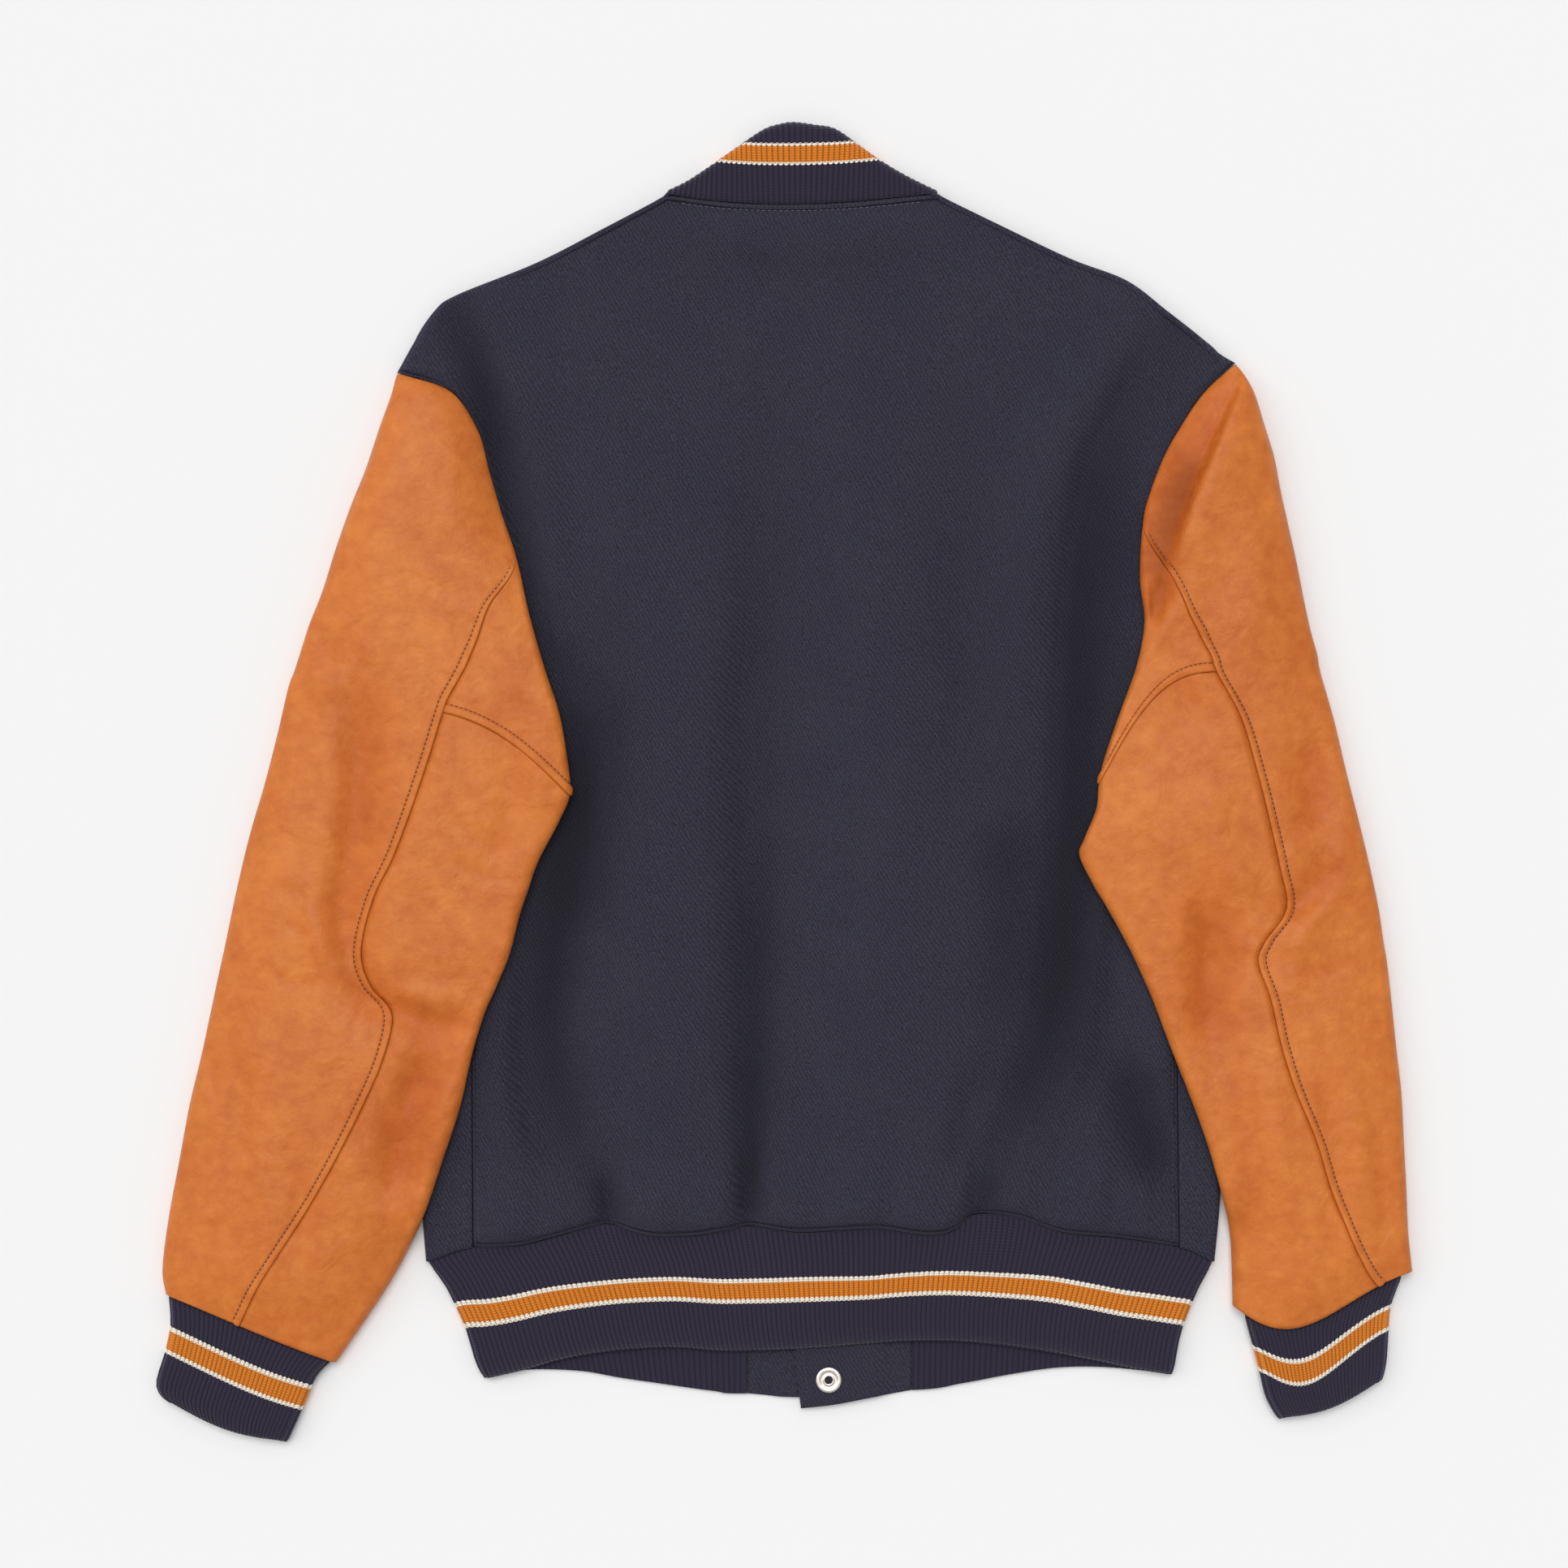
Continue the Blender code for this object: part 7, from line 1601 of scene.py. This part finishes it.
# %% Rows on the leather
ROW_APART = 0.6            # from the end of the ridge
ROW_SUNK = -0.32


def lap_row(sleeve, first, last, apart, lift):
    """A line beside the long seam, this far past its ridge."""
    v = np.linspace(first, last, 500)
    row = sleeve.section(v)
    wide = np.linalg.norm(row[:, 2:4] - row[:, 0:2], axis=1)
    a = np.arccos(1.0 - 2.0 * np.clip(row[:, 8] - (ridge_width(v) + apart) / wide, 0.01, 0.999)) / np.pi
    normal = sleeve.normal(v, a)
    return sleeve.point(v, a) + normal * lift, normal


def cross_row(sleeve, apart, lift):
    """A line above the cross seam, from the long seam to the inner fold."""
    cross = sleeve.underarm + 1
    start = np.arccos(1.0 - 2.0 * sleeve.seam_share(cross)) / np.pi
    a = np.linspace(start + 0.01, 1.35, 160)
    speed = np.linalg.norm(sleeve.point(cross + 0.25, a) - sleeve.point(cross - 0.25, a), axis=-1) / 0.5
    v = cross - apart / speed
    normal = sleeve.normal(v, a)
    return sleeve.point(v, a) + normal * lift, normal


for side, sleeve in (("left", left_sleeve), ("right", right_sleeve)):
    sew("stitches_sleeve_" + side, thread, "leather",
        [lap_row(sleeve, FORK + 0.15, sleeve.last - 0.02, ROW_APART, ROW_SUNK),
         cross_row(sleeve, CROSS_RIDGE + ROW_APART, ROW_SUNK)])

# %% [markdown]
# On the wool a faded grey row follows the neck seam, 7 mm below it, and holds the collar's seam
# allowance down.  Navy rows run beside the side seams, and round the two hem tabs.

# %% Rows on the wool
def across_grid(grid, normal, way, apart):
    """A line over a grid of cloth at one distance down its columns."""
    line = np.array([[np.interp(apart, way[:, j], grid[:, j, k]) for k in range(3)] for j in range(grid.shape[1])])
    up = np.array([[np.interp(apart, way[:, j], normal[:, j, k]) for k in range(3)] for j in range(grid.shape[1])])
    return line, up


NECK_ROW_DOWN, SIDE_ROW_IN = 7.0, 4.2
NECK_ROW_ENDS = (-64.0, 85.0)
NECK_PITCH, NECK_THREAD = 3.4, 0.26

neck_line, neck_up = across_grid(back_outer, back_normal, back_top_in, NECK_ROW_DOWN)
on_neck = (neck_line[:, 0] > NECK_ROW_ENDS[0]) & (neck_line[:, 0] < NECK_ROW_ENDS[1])
sew("stitches_neck", grey_thread, "wool", [(neck_line[on_neck], neck_up[on_neck], NECK_PITCH, NECK_THREAD)])

side_rows = []
for columns in (back_outer, back_outer[:, ::-1]):
    low = columns[:, 0, 1] < -40.0
    line = np.array([[np.interp(SIDE_ROW_IN, way_in(columns[i:i + 1], 1)[0], columns[i, :, k]) for k in range(3)]
                     for i in np.flatnonzero(low)])
    side_rows.append((line, np.tile((0.0, 0.0, 1.0), (len(line), 1))))
sew("stitches_side_seams", thread, "wool", side_rows)


def tab_row(grid):
    """A line a little way in from a tab's edge."""
    corners = grid[[0, -1, -1, 0]][:, [0, 0, -1, -1]].diagonal().T
    middle = corners.mean(0)
    ring = np.concatenate([np.linspace(a, b, 60) for a, b in zip(corners, np.roll(corners, -1, 0))])
    reach = np.abs(ring - middle)[:, :2].max(0)
    shrink = 1.0 - TAB_STITCH_IN / np.maximum(reach, 1.0)
    line = np.stack([middle[0] + (ring[:, 0] - middle[0]) * shrink[0],
                     middle[1] + (ring[:, 1] - middle[1]) * shrink[1], ring[:, 2]], 1)
    return line, np.tile((0.0, 0.0, 1.0), (len(line), 1))


sew("stitches_hem_tabs", thread, "wool", [tab_row(tab_top) for tab_top in tab_tops])

# %% [markdown]
# ## Snaps
# Each fastening is a cap on one front and a ring inside the other, stamped from thin brass sheet and
# plated.  Both are solids of revolution, so a profile is turned round an axis.  That is quicker than
# a lathe modifier here, and keeps the rolled rims exact.

# %% Snaps
SNAP_ROWS_Y = (225, 131, 37, -57, -151, -245)
TAB_SNAP = (26.5, -353.5)
SNAP_LIFT = 0.25           # a ring over the cloth that it is pressed into
SNAP_SIDES = 48
# Each profile's points: radius, and height over the level the snap is set at.
CAP_PROFILE = ((0.0, 0.25), (5.2, 0.12), (6.4, 0.0), (7.1, 0.08), (7.55, 0.35), (7.6, 0.6), (7.35, 0.8), (6.8, 0.86),
               (0.0, 0.86))
RING_PROFILE = ((2.3, 0.0), (7.3, 0.0), (7.6, 0.18), (7.6, 0.5), (7.35, 0.78), (6.9, 0.92), (6.2, 0.98), (5.3, 0.90),
                (4.9, 0.72), (4.4, 0.62), (3.5, 0.66), (3.1, 0.86), (2.8, 0.94), (2.5, 0.86), (2.3, 0.6))


def turned(name, x, y, level, profile):
    """A ring of metal, or a disc where the profile starts and ends on the axis."""
    angle = np.arange(SNAP_SIDES) * 2 * np.pi / SNAP_SIDES
    points, rings = [], []
    for radius, height in profile:
        if radius == 0.0:
            rings.append([len(points)] * SNAP_SIDES)
            points.append((x, y, level + height))
        else:
            rings.append(list(range(len(points), len(points) + SNAP_SIDES)))
            points += [(x + radius * np.cos(a), y + radius * np.sin(a), level + height) for a in angle]
    faces = []
    closed = profile[0][0] > 0.0
    for here, there in zip(rings, rings[1:] + rings[:1] if closed else rings[1:]):
        for j in range(SNAP_SIDES):
            k = (j + 1) % SNAP_SIDES
            faces.append(tuple(dict.fromkeys((here[j], here[k], there[k], there[j]))))
    make_piece(name, plated, points, faces, (name,), "metal")


snap_places = [(float(centre_x(y)), float(y)) for y in SNAP_ROWS_Y] + [TAB_SNAP]
for i, (x, y) in enumerate(snap_places, 1):
    turned("snap_cap_%d" % i, x, y, 0.0, CAP_PROFILE)
    turned("snap_ring_%d" % i, x, y, RIGHT_LIFT + WOOL + SNAP_LIFT, RING_PROFILE)
print("snaps set:", len(snap_places))

# %% [markdown]
# ## The cutting list
# Every piece of cloth is stated with the flat size that it was cut to.  The area comes from its
# outer face, and a tailor would add seam allowance to it.

# %% State each sheet of cloth
LEAST_SHARE = 0.4          # of the rectangle that a piece is cut from

for name, (width, length, area) in cloth_cut.items():
    if area < LEAST_SHARE * width * length:    # a wedge is cut on the slant, from a narrower strip
        width = round(area / (LEAST_SHARE * length), 3)
    print(name, "cut to", width, "x", length, "m, area", area, "m2")
